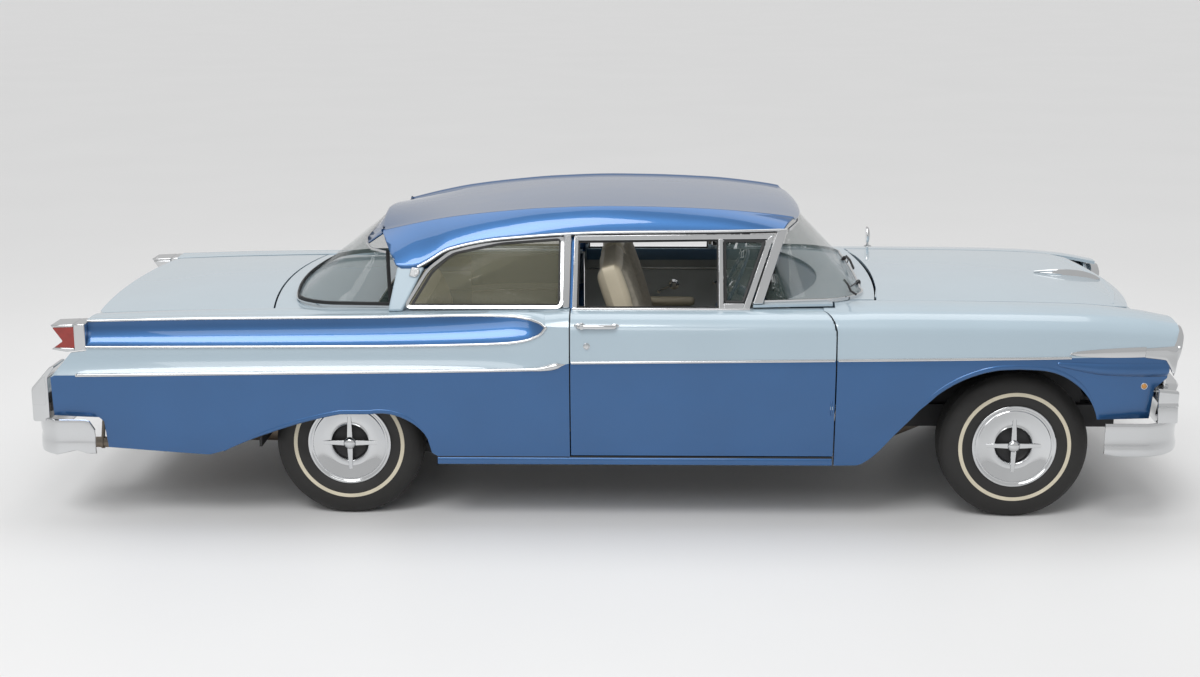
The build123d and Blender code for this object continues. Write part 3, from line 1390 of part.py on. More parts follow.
# Exhaust: pipe, silencer and open tailpipe
tailpipe_y = -600
tailpipe_z = 280
tailpipe_end_x = rear_x - 1425
tailpipe_free = 180
silencer_z = 300
pipe_route = [
    (front_x - 300, -290, 345), (front_x - 700, exhaust_y, exhaust_z), (rear_x + 300, exhaust_y, exhaust_z),
    (rear_x + 60, exhaust_y, exhaust_z + 10), (rear_x - 300, exhaust_y, silencer_z),
    (rear_x - 900, exhaust_y, silencer_z), (rear_x - 1140, tailpipe_y, tailpipe_z),
    (tailpipe_end_x, tailpipe_y, tailpipe_z),
]
clamp_x = tailpipe_end_x + tailpipe_free
with BuildPart() as exhaust:
    for start, end in zip(pipe_route, pipe_route[1:]):
        rod(start, end, exhaust_radius)
    for corner in pipe_route[1:-1]:
        with Locations(corner):
            Sphere(exhaust_radius)
    rod((rear_x - 350, exhaust_y, silencer_z), (rear_x - 850, exhaust_y, silencer_z), 70)
    rod((clamp_x, tailpipe_y, tailpipe_z), (clamp_x + 12, tailpipe_y, tailpipe_z), exhaust_radius + 5)
    cross_plate(
        [
            (tailpipe_y - 10, tailpipe_z + 20), (tailpipe_y + 10, tailpipe_z + 20),
            (-rail_mid_y[1] - seat_gap, 410), (-rail_mid_y[1] - seat_gap, 445), (-rail_mid_y[1] - 14, 445),
        ],
        clamp_x, clamp_x + 12,
    )
    rod(
        (clamp_x, tailpipe_y, tailpipe_z), (tailpipe_end_x - 1, tailpipe_y, tailpipe_z),
        exhaust_radius - 3, Mode.SUBTRACT,
    )
save(exhaust.part, "exhaust")

# Fuel tank under the trunk floor
tank_top_z = trunk_floor_z - trunk_drop - seat_gap
with BuildPart() as fuel_tank:
    side_plate(
        [
            (rear_x - 610, tank_top_z), (rear_x - 1160, tank_top_z), (rear_x - 1160, 400),
            (rear_x - 1100, 350), (rear_x - 660, 350), (rear_x - 610, 400),
        ],
        -310, 310,
    )
save(fuel_tank.part, "fuel_tank")

# Seats, dashboard, steering column and wheel
seat_half = 640
with BuildPart() as front_seat:
    side_plate(
        [
            (150, floor_z + seat_gap), (620, floor_z + seat_gap), (670, 470), (690, 600), (640, 650),
            (290, 610), (190, 900), (90, 1190), (30, 1205), (-40, 1190), (-44, 1150), (90, 800), (160, 560),
        ],
        -seat_half, seat_half,
    )
save(front_seat.part, "front_seat")

with BuildPart() as rear_seat:
    side_plate(
        [
            (heel_x - 40, 540 + seat_gap), (heel_x + 110, 552), (heel_x + 140, 660), (heel_x - 200, 640),
            (rear_x + 300, 940), (rear_x + 250, 975), (rear_x + 150, 975), (rear_x + 212, 620),
            (rear_x + 262, 556 + seat_gap),
        ],
        -house_inner_y + 6, house_inner_y - 6,
    )
save(rear_seat.part, "rear_seat")

dash_rear_x = front_x - 1020
with BuildPart() as dashboard:
    side_plate(
        [
            (firewall_x - seat_gap, 960), (firewall_x - seat_gap, cowl_z - skin - seat_gap),
            (dash_rear_x + 30, cowl_z - skin - seat_gap), (dash_rear_x - 10, 975), (dash_rear_x, 800),
            (dash_rear_x + 30, 795), (dash_rear_x + 50, 930),
        ],
        -hood_half, hood_half,
    )
save(dashboard.part, "dashboard")

driver_y = 380
column_radius = 8
wheel_centre = (620, driver_y, 868)
column_foot = (1104, driver_y, 640)
column_line = Vector(*column_foot) - Vector(*wheel_centre)
column_axis = column_line.normalized()
column_start = Vector(*wheel_centre) + column_axis * 40
with BuildPart() as steering_column:
    rod(tuple(column_start), column_foot, 22)
    rod(
        tuple(Vector(*wheel_centre) + column_axis * 12), tuple(column_start + column_axis * 10),
        column_radius,
    )
    side_plate(
        [
            (dash_rear_x + 2, 795 - seat_gap), (dash_rear_x + 28, 795 - seat_gap), (dash_rear_x + 40, 745),
            (dash_rear_x + 2, 750),
        ],
        driver_y - 8, driver_y + 8,
    )
save(steering_column.part, "steering_column")

wheel_face = Plane(origin=wheel_centre, x_dir=(0, 1, 0), z_dir=tuple(column_axis))
grip_radius = 10
grip_ring_radius = 205
with BuildPart() as steering_wheel:
    with BuildSketch(
        Plane(origin=wheel_centre, x_dir=(0, 1, 0), z_dir=(column_axis.Z, 0, -column_axis.X))
    ) as grip:
        with Locations((grip_ring_radius, 0)):
            Circle(grip_radius)
    revolve(grip.sketch, axis=Axis(wheel_centre, tuple(column_axis)), revolution_arc=360)
    with BuildSketch(wheel_face.offset(4)) as hub:
        Circle(34)
    extrude(hub.sketch, amount=26)
    for end in (4 - grip_ring_radius, grip_ring_radius - 4):
        extrude(flat(wheel_face.offset(-4), [(0, -14), (end, -10), (end, 10), (0, 14)]), amount=9)
    with BuildSketch(wheel_face.offset(11)) as bore:
        Circle(column_radius + axle_fit)
    extrude(bore.sketch, amount=30, mode=Mode.SUBTRACT)
save(steering_wheel.part, "steering_wheel")

# Mirror on the left fender: foot, post and round head
mirror_x = front_x - 500
mirror_y = 860
with BuildPart() as mirror_part:
    rod((mirror_x, mirror_y, 997.9), (mirror_x, mirror_y, 1004), 20)
    rod((mirror_x, mirror_y, 1000), (mirror_x + 2, mirror_y, 1040), 7)
    rod((mirror_x - 8, mirror_y, 1060), (mirror_x + 12, mirror_y, 1060), 46)
save(mirror_part.part, "mirror")
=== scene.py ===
import json
from math import atan2, cos, pi, radians, sin, sqrt

import bmesh
import bpy
from mathutils import Matrix, Vector


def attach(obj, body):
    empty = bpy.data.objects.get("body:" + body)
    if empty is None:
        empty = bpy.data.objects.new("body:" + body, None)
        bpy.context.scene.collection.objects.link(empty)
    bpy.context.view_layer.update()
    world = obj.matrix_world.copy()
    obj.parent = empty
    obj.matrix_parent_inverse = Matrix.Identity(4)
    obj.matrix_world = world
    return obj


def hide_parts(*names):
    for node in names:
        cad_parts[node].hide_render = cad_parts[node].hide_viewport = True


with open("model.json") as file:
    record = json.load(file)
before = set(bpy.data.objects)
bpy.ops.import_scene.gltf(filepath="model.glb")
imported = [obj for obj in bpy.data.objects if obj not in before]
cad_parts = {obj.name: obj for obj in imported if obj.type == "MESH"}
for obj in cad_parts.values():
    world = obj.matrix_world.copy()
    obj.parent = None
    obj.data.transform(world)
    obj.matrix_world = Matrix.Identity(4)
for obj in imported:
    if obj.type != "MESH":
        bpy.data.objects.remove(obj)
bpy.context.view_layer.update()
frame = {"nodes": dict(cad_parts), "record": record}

# Places on the car in metres, +X forward, the right side at negative Y
nose_x = 2.681
half_width = 1.0045
front_x = nose_x - 0.792
rear_x = front_x - 3.099
axle_z = 0.346
front_wheel_y = 1.509 / 2
rear_wheel_y = 1.499 / 2
door_front_x = front_x - 0.849
door_rear_x = rear_x + 1.045
door_foot_z = 0.322
panel_gap = 0.007
belt_z = 0.992
cowl_z = 1.012
shelf_z = 0.986
hood_half = 0.700
hood_rear_x = front_x - 0.640
hood_bow = 0.046
hood_front_x = front_x + 0.481
hood_nose_x = front_x + 0.611
deck_half = 0.728
deck_front_x = rear_x - 0.355
deck_bow = 0.058
deck_rear_x = rear_x - 1.180

SIDES = (("right", -1), ("left", 1))

# Colours as they render, linear
LIGHT_BLUE = (0.395, 0.492, 0.560)
MID_BLUE = (0.026, 0.112, 0.290)
CREAM = (0.74, 0.66, 0.50)


def make_group():
    """The fine unevenness of a real surface: a cloudy mask and a small height."""
    group = bpy.data.node_groups.new("surface_variation", "ShaderNodeTree")
    group.interface.new_socket("Cloud Scale", in_out="INPUT", socket_type="NodeSocketFloat")
    group.interface.new_socket("Grain Scale", in_out="INPUT", socket_type="NodeSocketFloat")
    group.interface.new_socket("Cloud", in_out="OUTPUT", socket_type="NodeSocketFloat")
    group.interface.new_socket("Grain", in_out="OUTPUT", socket_type="NodeSocketFloat")
    nodes, links = group.nodes, group.links
    given = nodes.new("NodeGroupInput")
    result = nodes.new("NodeGroupOutput")
    place = nodes.new("ShaderNodeTexCoord")
    for name, detail in (("Cloud", 4), ("Grain", 2)):
        noise = nodes.new("ShaderNodeTexNoise")
        noise.inputs["Detail"].default_value = detail
        links.new(place.outputs["Object"], noise.inputs["Vector"])
        links.new(given.outputs[name + " Scale"], noise.inputs["Scale"])
        links.new(noise.outputs["Fac"], result.inputs[name])
    return group


variation = make_group()


def material(name, colour, rough, metal=0.0, coat=0.0, cloud=3.0, grain=900.0, spread=0.06, bump=0.02, second=None):
    """A finish whose colour and gloss drift a little over the surface."""
    made = bpy.data.materials.new(name)
    made.use_nodes = True
    nodes, links = made.node_tree.nodes, made.node_tree.links
    shader = nodes["Principled BSDF"]
    shader.inputs["Metallic"].default_value = metal
    shader.inputs["Coat Weight"].default_value = coat
    shader.inputs["Coat Roughness"].default_value = 0.03
    vary = nodes.new("ShaderNodeGroup")
    vary.node_tree = variation
    vary.inputs["Cloud Scale"].default_value = cloud
    vary.inputs["Grain Scale"].default_value = grain
    ramp = nodes.new("ShaderNodeValToRGB")
    other = second or tuple(c * (1 - 2 * spread) for c in colour)
    ramp.color_ramp.elements[0].position = 0.3
    ramp.color_ramp.elements[1].position = 0.7
    ramp.color_ramp.elements[0].color = (*other, 1)
    ramp.color_ramp.elements[1].color = (*colour, 1)
    links.new(vary.outputs["Cloud"], ramp.inputs["Fac"])
    links.new(ramp.outputs["Color"], shader.inputs["Base Color"])
    gloss = nodes.new("ShaderNodeMapRange")
    gloss.inputs["To Min"].default_value = max(rough * (1 - 3 * spread), 0.01)
    gloss.inputs["To Max"].default_value = min(rough * (1 + 3 * spread), 1.0)
    links.new(vary.outputs["Cloud"], gloss.inputs["Value"])
    links.new(gloss.outputs["Result"], shader.inputs["Roughness"])
    if bump:
        relief = nodes.new("ShaderNodeBump")
        relief.inputs["Strength"].default_value = bump
        relief.inputs["Distance"].default_value = 0.001
        links.new(vary.outputs["Grain"], relief.inputs["Height"])
        links.new(relief.outputs["Normal"], shader.inputs["Normal"])
    return made


def glass_material(name, colour, alpha):
    """A smooth material that lets light through."""
    made = material(name, colour, 0.02, bump=0)
    made.node_tree.nodes["Principled BSDF"].inputs["Alpha"].default_value = alpha
    return made


light_paint = material("light_blue_paint", LIGHT_BLUE, 0.22, coat=0.9, spread=0.015, bump=0.01)
mid_paint = material("mid_blue_metallic", MID_BLUE, 0.34, metal=0.75, coat=1.0, grain=2600, spread=0.05, bump=0.05)
chrome = material("chrome_plate", (0.66, 0.67, 0.68), 0.07, metal=1.0, spread=0.05, bump=0.006)
dull_metal = material("dull_metal", (0.42, 0.42, 0.42), 0.38, metal=1.0, bump=0.05)
black_steel = material("chassis_black", (0.022, 0.022, 0.024), 0.55, cloud=12, spread=0.2, bump=0.2)
rubber = material("black_rubber", (0.016, 0.016, 0.017), 0.6, cloud=20, grain=1500, spread=0.12, bump=0.12)
tyre_rubber = material("tyre_rubber", (0.020, 0.019, 0.018), 0.62, cloud=9, grain=1200, spread=0.2, bump=0.2)
whitewall = material("whitewall_band", (0.68, 0.62, 0.48), 0.6, cloud=14, spread=0.06, bump=0.1)
window_glass = glass_material("window_glass", (0.10, 0.14, 0.13), 0.20)
old_glass = glass_material("yellowed_glass", (0.30, 0.29, 0.20), 0.26)
lamp_glass = glass_material("lamp_glass", (0.75, 0.78, 0.80), 0.45)
red_lens = material("red_lens", (0.30, 0.022, 0.015), 0.16, coat=0.6, cloud=30, spread=0.1, bump=0.05)
mirror_glass = material("mirror_glass", (0.80, 0.82, 0.84), 0.03, metal=1.0, spread=0.02, bump=0)
amber_lens = material("amber_lens", (0.55, 0.25, 0.05), 0.2, coat=0.5, cloud=30, bump=0.05)
cream_vinyl = material("cream_vinyl", CREAM, 0.42, cloud=7, grain=700, spread=0.05, bump=0.25)
seat_cloth = material("seat_cloth", (0.50, 0.46, 0.38), 0.85, cloud=40, grain=2200, spread=0.12, bump=0.6)
carpet = material("dark_carpet", (0.035, 0.045, 0.060), 0.95, cloud=60, grain=1600, spread=0.25, bump=0.9)
headliner = material("headliner", (0.50, 0.49, 0.45), 0.85, cloud=5, grain=800, spread=0.04, bump=0.3)
trim_grey = material("door_trim", (0.42, 0.45, 0.46), 0.5, cloud=8, grain=700, spread=0.04, bump=0.2)
dash_paint = material("dash_paint", (0.05, 0.11, 0.19), 0.3, coat=0.4, spread=0.04, bump=0.03)
dial_white = material("dial_face", (0.7, 0.68, 0.6), 0.4, bump=0)
engine_paint = material("engine_block", (0.03, 0.03, 0.035), 0.5, cloud=15, spread=0.2, bump=0.5)
exhaust_metal = material("exhaust_steel", (0.30, 0.27, 0.23), 0.5, metal=0.9, cloud=8, spread=0.25, bump=0.3,
                         second=(0.18, 0.12, 0.08))

# The record's slot that a piece of a finish takes, unless it is told another
USUAL_SLOT = {
    light_paint: "light_blue_paint", mid_paint: "light_blue_paint", chrome: "chrome", black_steel: "dark_steel",
    dull_metal: "dark_steel", engine_paint: "dark_steel", rubber: "dark_steel", window_glass: "window_glass",
    old_glass: "window_glass", lamp_glass: "lamp_glass", red_lens: "red_lens", dash_paint: "dash_paint",
    carpet: "seat_cloth", headliner: "seat_cloth", cream_vinyl: "seat_cloth", trim_grey: "seat_cloth",
    tyre_rubber: "tyre",
}

for name, finish in (
    ("light_blue_paint", light_paint), ("mid_blue_paint", mid_paint), ("chrome", chrome),
    ("dark_steel", black_steel), ("bare_steel", exhaust_metal), ("engine_iron", engine_paint),
    ("window_glass", window_glass), ("lamp_glass", lamp_glass), ("red_lens", red_lens),
    ("seat_cloth", seat_cloth), ("dash_paint", dash_paint), ("wheel_plastic", dash_paint),
    ("wheel_steel", chrome), ("tyre", tyre_rubber),
):
    for sub in frame["record"]["subparts"]:
        if sub["material_slot"] == name:
            node = frame["nodes"][sub["node"]]
            node.data.materials.clear()
            node.data.materials.append(finish)


def piece(name, shape, finishes, *nodes, slot=None, body="body", sharp=35):
    """Turns a finished bmesh into a named piece with its finishes, body and the CAD nodes it stands for, which it
    hides; the slot is looked up but not kept.
    """
    bmesh.ops.recalc_face_normals(shape, faces=shape.faces)
    mesh = bpy.data.meshes.new(name)
    for face in shape.faces:
        face.smooth = True
    shape.to_mesh(mesh)
    shape.free()
    mesh.set_sharp_from_angle(angle=radians(sharp))
    made = bpy.data.objects.new(name, mesh)
    bpy.context.scene.collection.objects.link(made)
    finishes = finishes if isinstance(finishes, list) else [finishes]
    for finish in finishes:
        mesh.materials.append(finish)
    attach(made, body)
    slot or USUAL_SLOT[finishes[0]]
    if nodes:
        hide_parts(*nodes)
    return made


def new_verts(made):
    """The points that a bmesh operator made."""
    return [v for v in made["geom"] if isinstance(v, bmesh.types.BMVert)]


def slab(shape, points, move):
    """Adds a flat outline pushed along a vector into a plate."""
    face = shape.faces.new([shape.verts.new(p) for p in points])
    made = bmesh.ops.extrude_face_region(shape, geom=[face])
    bmesh.ops.translate(shape, verts=new_verts(made), vec=move)


def closed(points):
    """A loop of points with its first one again at the end."""
    return points + points[:1]


def merged(shape, other):
    """Adds another shape to a shape."""
    mesh = bpy.data.meshes.new("part")
    other.to_mesh(mesh)
    other.free()
    shape.from_mesh(mesh)
    bpy.data.meshes.remove(mesh)
    return shape


def gathered(parts):
    """One shape of several."""
    shape = bmesh.new()
    for part in parts:
        merged(shape, part)
    return shape


def bevel(made, width, segments=2, angle=35):
    """Softens the hard edges of a piece."""
    soft = made.modifiers.new("soft_edges", "BEVEL")
    soft.width = width
    soft.segments = segments
    soft.limit_method = "ANGLE"
    soft.angle_limit = radians(angle)
    return made


def wall(made, thickness, offset=-1):
    """Gives a sheet its thickness, inward of its outer face."""
    solid = made.modifiers.new("wall", "SOLIDIFY")
    solid.thickness = thickness
    solid.offset = offset
    solid.use_even_offset = True
    return made


def arc(start, middle, end, count):
    """Points of the circle through three points, from start to end."""
    (ax, ay), (bx, by), (cx, cy) = start, middle, end
    d = 2 * (ax * (by - cy) + bx * (cy - ay) + cx * (ay - by))
    if abs(d) < 1e-12:
        return [(ax + (cx - ax) * i / count, ay + (cy - ay) * i / count) for i in range(count + 1)]
    ux = ((ax**2 + ay**2) * (by - cy) + (bx**2 + by**2) * (cy - ay) + (cx**2 + cy**2) * (ay - by)) / d
    uy = ((ax**2 + ay**2) * (cx - bx) + (bx**2 + by**2) * (ax - cx) + (cx**2 + cy**2) * (bx - ax)) / d
    radius = sqrt((ax - ux) ** 2 + (ay - uy) ** 2)
    turn = [atan2(y - uy, x - ux) for x, y in (start, middle, end)]
    sweep = (turn[2] - turn[0]) % (2 * pi)
    if (turn[1] - turn[0]) % (2 * pi) > sweep:
        sweep -= 2 * pi
    return [(ux + radius * cos(turn[0] + sweep * i / count), uy + radius * sin(turn[0] + sweep * i / count))
            for i in range(count + 1)]


def joined(*runs):
    """Runs of points end to end, with the shared ends kept once."""
    points = list(runs[0])
    for run in runs[1:]:
        points += run[1:]
    return points


def eased(knots, x):
    """A smooth curve through knots of x and value, with no overshoot between them."""
    knots = sorted(knots)
    if x <= knots[0][0]:
        return knots[0][1]
    if x >= knots[-1][0]:
        return knots[-1][1]
    slopes = [(b[1] - a[1]) / (b[0] - a[0]) for a, b in zip(knots, knots[1:])]
    for i, (a, b) in enumerate(zip(knots, knots[1:])):
        if a[0] <= x <= b[0]:
            break

    def tangent(k):
        if k == 0:
            return slopes[0]
        if k == len(knots) - 1:
            return slopes[-1]
        before, after = slopes[k - 1], slopes[k]
        return 0 if before * after <= 0 else 2 * before * after / (before + after)
    h = b[0] - a[0]
    t = (x - a[0]) / h
    return ((2 * t**3 - 3 * t**2 + 1) * a[1] + (t**3 - 2 * t**2 + t) * h * tangent(i)
            + (3 * t**2 - 2 * t**3) * b[1] + (t**3 - t**2) * h * tangent(i + 1))


def between(knots, x):
    """Straight lines through knots of x and value."""
    knots = sorted(knots)
    for a, b in zip(knots, knots[1:]):
        if x <= b[0]:
            t = 0 if b[0] == a[0] else max(0, (x - a[0]) / (b[0] - a[0]))
            return a[1] + (b[1] - a[1]) * t
    return knots[-1][1]


def stations(start, end, count, *extra):
    """Even places from start to end, with some extra ones."""
    places = {round(start + (end - start) * i / count, 5) for i in range(count + 1)}
    return sorted(places | {round(x, 5) for x in extra if start <= x <= end})


def grid(columns, finish_at=None):
    """A sheet through columns of points, from one of bmesh's own grids."""
    long, tall = len(columns) - 1, len(columns[0]) - 1
    shape = bmesh.new()
    bmesh.ops.create_grid(shape, x_segments=long, y_segments=tall, size=1)
    if finish_at:
        for face in shape.faces:
            middle = face.calc_center_median()
            i = int((middle.x + 1) / 2 * long)
            j = int((middle.y + 1) / 2 * tall)
            face.material_index = finish_at(i, j)
    for vertex in shape.verts:
        i = round((vertex.co.x + 1) / 2 * long)
        j = round((vertex.co.y + 1) / 2 * tall)
        vertex.co = columns[i][j]
    bmesh.ops.remove_doubles(shape, verts=shape.verts, dist=2e-5)
    bmesh.ops.dissolve_degenerate(shape, edges=shape.edges, dist=1e-6)
    return shape


def cap_ends(shape):
    """Fills the open ends of a tube-like shape."""
    rims = [edge for edge in shape.edges if edge.is_boundary]
    bmesh.ops.holes_fill(shape, edges=rims, sides=0)
    return shape


def along_car(section, xs, sign=1):
    """A section of y and z carried straight along the car."""
    return cap_ends(grid([[(x, sign * y, z) for y, z in closed(section)] for x in xs]))


def across_car(section, ys):
    """A section of x and z carried straight across the car."""
    return cap_ends(grid([[(x, y, z) for x, z in closed(section)] for y in ys]))


# The body side: smooth widths and heights along the car, right side as positive numbers
SILL_Y = [(-2.555, .906), (-2.390, .916), (-1.910, .926), (-1.010, .932), (1.249, .932), (1.800, .928),
          (2.180, .916), (2.430, .890), (2.595, .860)]
BELLY_Y = [(-2.555, .946), (-2.390, .958), (-1.910, .968), (-1.010, .970), (-.165, .966), (1.249, .966),
           (1.800, .963), (2.180, .951), (2.430, .930), (2.595, .904)]
WAIST_Y = [(-2.555, .965), (-2.390, .977), (-1.910, .988), (-1.010, .991), (-.165, .985), (1.249, .985),
           (1.800, .983), (2.180, .976), (2.430, .961), (2.595, .941)]
WAIST_Z = [(-2.555, .700), (-2.390, .704), (-1.910, .714), (-1.010, .728), (-.165, .745), (2.595, .745)]
CREASE_Y = [(-.165, .974), (1.249, .974), (1.800, .973), (2.180, .967), (2.430, .952), (2.595, .930)]
CREASE_Z = [(-.165, .925), (1.249, .925), (1.800, .923), (2.180, .916), (2.430, .900), (2.595, .878)]
CROWN_Y = [(-2.555, .862), (-2.390, .868), (-1.910, .874), (-1.010, .876), (-.165, .868), (1.249, .868),
           (1.800, .866), (2.180, .863), (2.430, .856), (2.595, .838)]
CROWN_Z = [(-2.555, .940), (-2.390, .948), (-1.910, .960), (-1.010, .970), (-.360, .982), (-.165, .992),
           (1.047, .992), (1.249, .996), (1.800, .993), (2.180, .985), (2.430, .966), (2.595, .938)]
EDGE_Z = [(1.047, 1.008), (1.249, 1.010), (1.800, 1.005), (2.180, .996), (2.430, .972), (2.595, .942)]
SPLIT_Z = [(-.165, .771), (1.034, .785), (2.090, .799), (2.595, .806)]
sill_z = 0.276
belly_z = 0.520


def lower_side(x, count=10):
    """From the sill round the belly to the waist."""
    return arc((eased(SILL_Y, x), sill_z), (eased(BELLY_Y, x), belly_z), (eased(WAIST_Y, x), eased(WAIST_Z, x)), count)


def front_side(x):
    """The door's and front fender's outer line, from the sill to the crown."""
    waist = (eased(WAIST_Y, x), eased(WAIST_Z, x))
    crease = (eased(CREASE_Y, x), eased(CREASE_Z, x))
    crown = (eased(CROWN_Y, x), eased(CROWN_Z, x))
    split_z = eased(SPLIT_Z, x)
    split = (waist[0] + (crease[0] - waist[0]) * (split_z - waist[1]) / (crease[1] - waist[1]), split_z)
    shoulder = ((crease[0] + crown[0]) / 2 + .013, (crease[1] + crown[1]) / 2 + .013)
    return joined(lower_side(x), arc(waist, ((waist[0] + split[0]) / 2 + .0004, (waist[1] + split[1]) / 2), split, 2),
                  arc(split, ((split[0] + crease[0]) / 2 + .001, (split[1] + crease[1]) / 2), crease, 5),
                  arc(crease, shoulder, crown, 8))


SPLIT_ROW = 12


def width_at(outline, z):
    """Where an outline of y and z crosses a height."""
    for (y0, z0), (y1, z1) in zip(outline, outline[1:]):
        if z0 <= z <= z1 and z1 > z0:
            return y0 + (y1 - y0) * (z - z0) / (z1 - z0)
    return outline[0][0] if z < outline[0][1] else outline[-1][0]


def clipped(outline, low):
    """An outline whose points below a height are moved up to it."""
    y = width_at(outline, low)
    return [(y, low) if z < low else (a, z) for a, z in outline]


def inset(outline, depth):
    """An outline moved inward, square to itself."""
    moved = []
    for i, (y, z) in enumerate(outline):
        a = outline[max(i - 1, 0)]
        b = outline[min(i + 1, len(outline) - 1)]
        dy, dz = b[0] - a[0], b[1] - a[1]
        length = sqrt(dy * dy + dz * dz) or 1
        moved.append((y - depth * dz / length, z + depth * dy / length))
    return moved


def shell(xs, outline, low, depth, sign, finish_at=None):
    """A body panel: an outline carried along the car, cut at its lower edge, with a real wall."""
    columns = []
    for x in xs:
        outer = outline(x)
        floor = low(x)
        inner = clipped(inset(outer, depth), floor)
        loop = clipped(outer, floor) + list(reversed(inner))
        columns.append([(x, sign * y, z) for y, z in closed(loop)])
    return cap_ends(grid(columns, finish_at=finish_at))


def corner_z(x, gap=0.0):
    """The door's rounded upper front corner, as the height of its edge at x."""
    reach = x - gap - (front_x - 0.904)
    if reach <= 0:
        return belt_z
    span = door_front_x - (front_x - 0.904)
    return belt_z - 0.087 * (1 - sqrt(max(0, 1 - min(1, reach / span) ** 2)))


FRONT_ARCH = [(1.174, .286), (1.400, .525), (1.470, .590), (1.560, .672), (1.640, .716), (1.780, .752), (1.870, .758),
              (1.960, .754), (2.060, .728), (2.150, .672), (2.205, .595), (2.241, .505)]


def fender_foot(x):
    """The front fender's lower edge: door corner, sill, wheel arch, then up behind the bumper."""
    if x < 1.0465:
        return corner_z(x, panel_gap)
    if x <= 2.241:
        return eased([(1.047, .276), (1.150, .278)] + FRONT_ARCH, x)
    return between([(2.241, .505), (2.479, .505), (2.489, .650), (2.544, .700), (2.554, .800), (2.570, .850),
                    (2.595, .913)], x)


def fender_outline(x):
    """The fender's outer line with its flange in to the hood."""
    side = front_side(x)
    crown = side[-1]
    edge = (hood_half + .008, eased(EDGE_Z, x) if x > 1.047 else eased(CROWN_Z, x) + .012)
    if x < 1.047:
        edge = (.812, crown[1] + .004)
    middle = ((crown[0] + edge[0]) / 2, (crown[1] + edge[1]) / 2 + .004)
    return joined(side, arc(crown, middle, edge, 6))


def two_tone(split_row, rows):
    """Finish numbers by row: below the split one paint, above it the other, inside as outside."""

    def finish_at(i, j):
        row = j if j < rows else 2 * rows - j
        return 0 if row < split_row else 1

    return finish_at


fender_xs = stations(.993, 2.595, 110, 1.0464, 1.0466, 2.241, 2.2412, 2.479, 2.489, 2.544, 2.554, 2.57)
fender_rows = len(fender_outline(1.5)) - 1
for side, sign in SIDES:
    shape = shell(fender_xs, fender_outline, fender_foot, .016, sign, two_tone(SPLIT_ROW, fender_rows))
    piece("fender_skin_" + side, shape, [mid_paint, light_paint], "front_fender_" + side, sharp=28)

# Doors, skin and inner trim in one. The side glass leans from its foot to its head, each a y and z
lean_foot = (0.832, 0.995)
lean_head = (0.668, 1.312)


def lean_y(z):
    """Half-width of the side glass plane at a height."""
    return lean_foot[0] - (z - lean_foot[1]) * (lean_foot[0] - lean_head[0]) / (lean_head[1] - lean_foot[1])


def door_loop(x):
    """A closed door section: outer skin, belt, inner trim with an armrest swell, and foot."""
    outer = front_side(x)
    inner = [(.800, belt_z), (.812, .940), (.882, .860), (.868, .700), (.850, .660), (.866, .610), (.868, .440),
             (.846, .330), (.842, sill_z)]
    return outer + inner


door_xs = stations(door_rear_x, door_front_x, 36, *[front_x - .904 + .006 * i for i in range(13)])
door_rows = len(front_side(0)) - 1
for side, sign in SIDES:
    columns = []
    for x in door_xs:
        top = corner_z(x)
        loop = [(y, min(max(z, door_foot_z), top)) for y, z in door_loop(x)]
        columns.append([(x, sign * y, z) for y, z in closed(loop)])

    def door_finish(i, j):
        if j < SPLIT_ROW:
            return 0
        return 1 if j <= door_rows + 1 else 2

    shape = cap_ends(grid(columns, finish_at=door_finish))
    piece("door_skin_" + side, shape, [mid_paint, light_paint, trim_grey], "door_" + side, body="door_" + side,
          sharp=28)


def swept(path, outward, section, scale=None):
    """A closed section carried along a path; section points are along the surface and out from it.

    outward is one direction for the whole path or one for each of its points."""
    path = [Vector(point) for point in path]
    if not isinstance(outward, list):
        outward = [Vector(outward)] * len(path)
    columns = []
    last = len(path) - 1
    for i, (point, normal) in enumerate(zip(path, outward)):
        run = (path[min(i + 1, last)] - path[max(i - 1, 0)]).normalized()
        out = (normal - run * normal.dot(run)).normalized()
        side = run.cross(out)
        grown = scale[i] if scale else 1.0
        loop = [point + side * (a * grown) + out * (b * grown if b > 0 else b) for a, b in section]
        columns.append(closed(loop))
    return cap_ends(grid(columns))


def half_round(width, height, sunk=0.003):
    """A moulding's section: a low arch over a flat foot."""
    steps = 6
    top = [(-width / 2 * cos(pi * i / steps), height * sin(pi * i / steps)) for i in range(steps + 1)]
    return top + [(width / 2, -sunk), (-width / 2, -sunk)]


def flat_band(width, height, sunk=0.003):
    """A band's section with eased edges."""
    w = width / 2
    return [(-w, 0), (-w * 0.8, height), (w * 0.8, height), (w, 0), (w, -sunk), (-w, -sunk)]


def round_bar(radius, count=10):
    """A round bar's section."""
    return [(radius * cos(2 * pi * i / count), radius * sin(2 * pi * i / count)) for i in range(count)]


def along_row(outline, row, xs, sign):
    """Points and outward directions along one row of a body section."""
    points, normals = [], []
    for x in xs:
        profile = outline(x)
        a, b = profile[max(row - 1, 0)], profile[min(row + 1, len(profile) - 1)]
        points.append(Vector((x, sign * profile[row][0], profile[row][1])))
        normals.append(Vector((0, sign * (b[1] - a[1]), -(b[0] - a[0]))).normalized())
    return points, normals


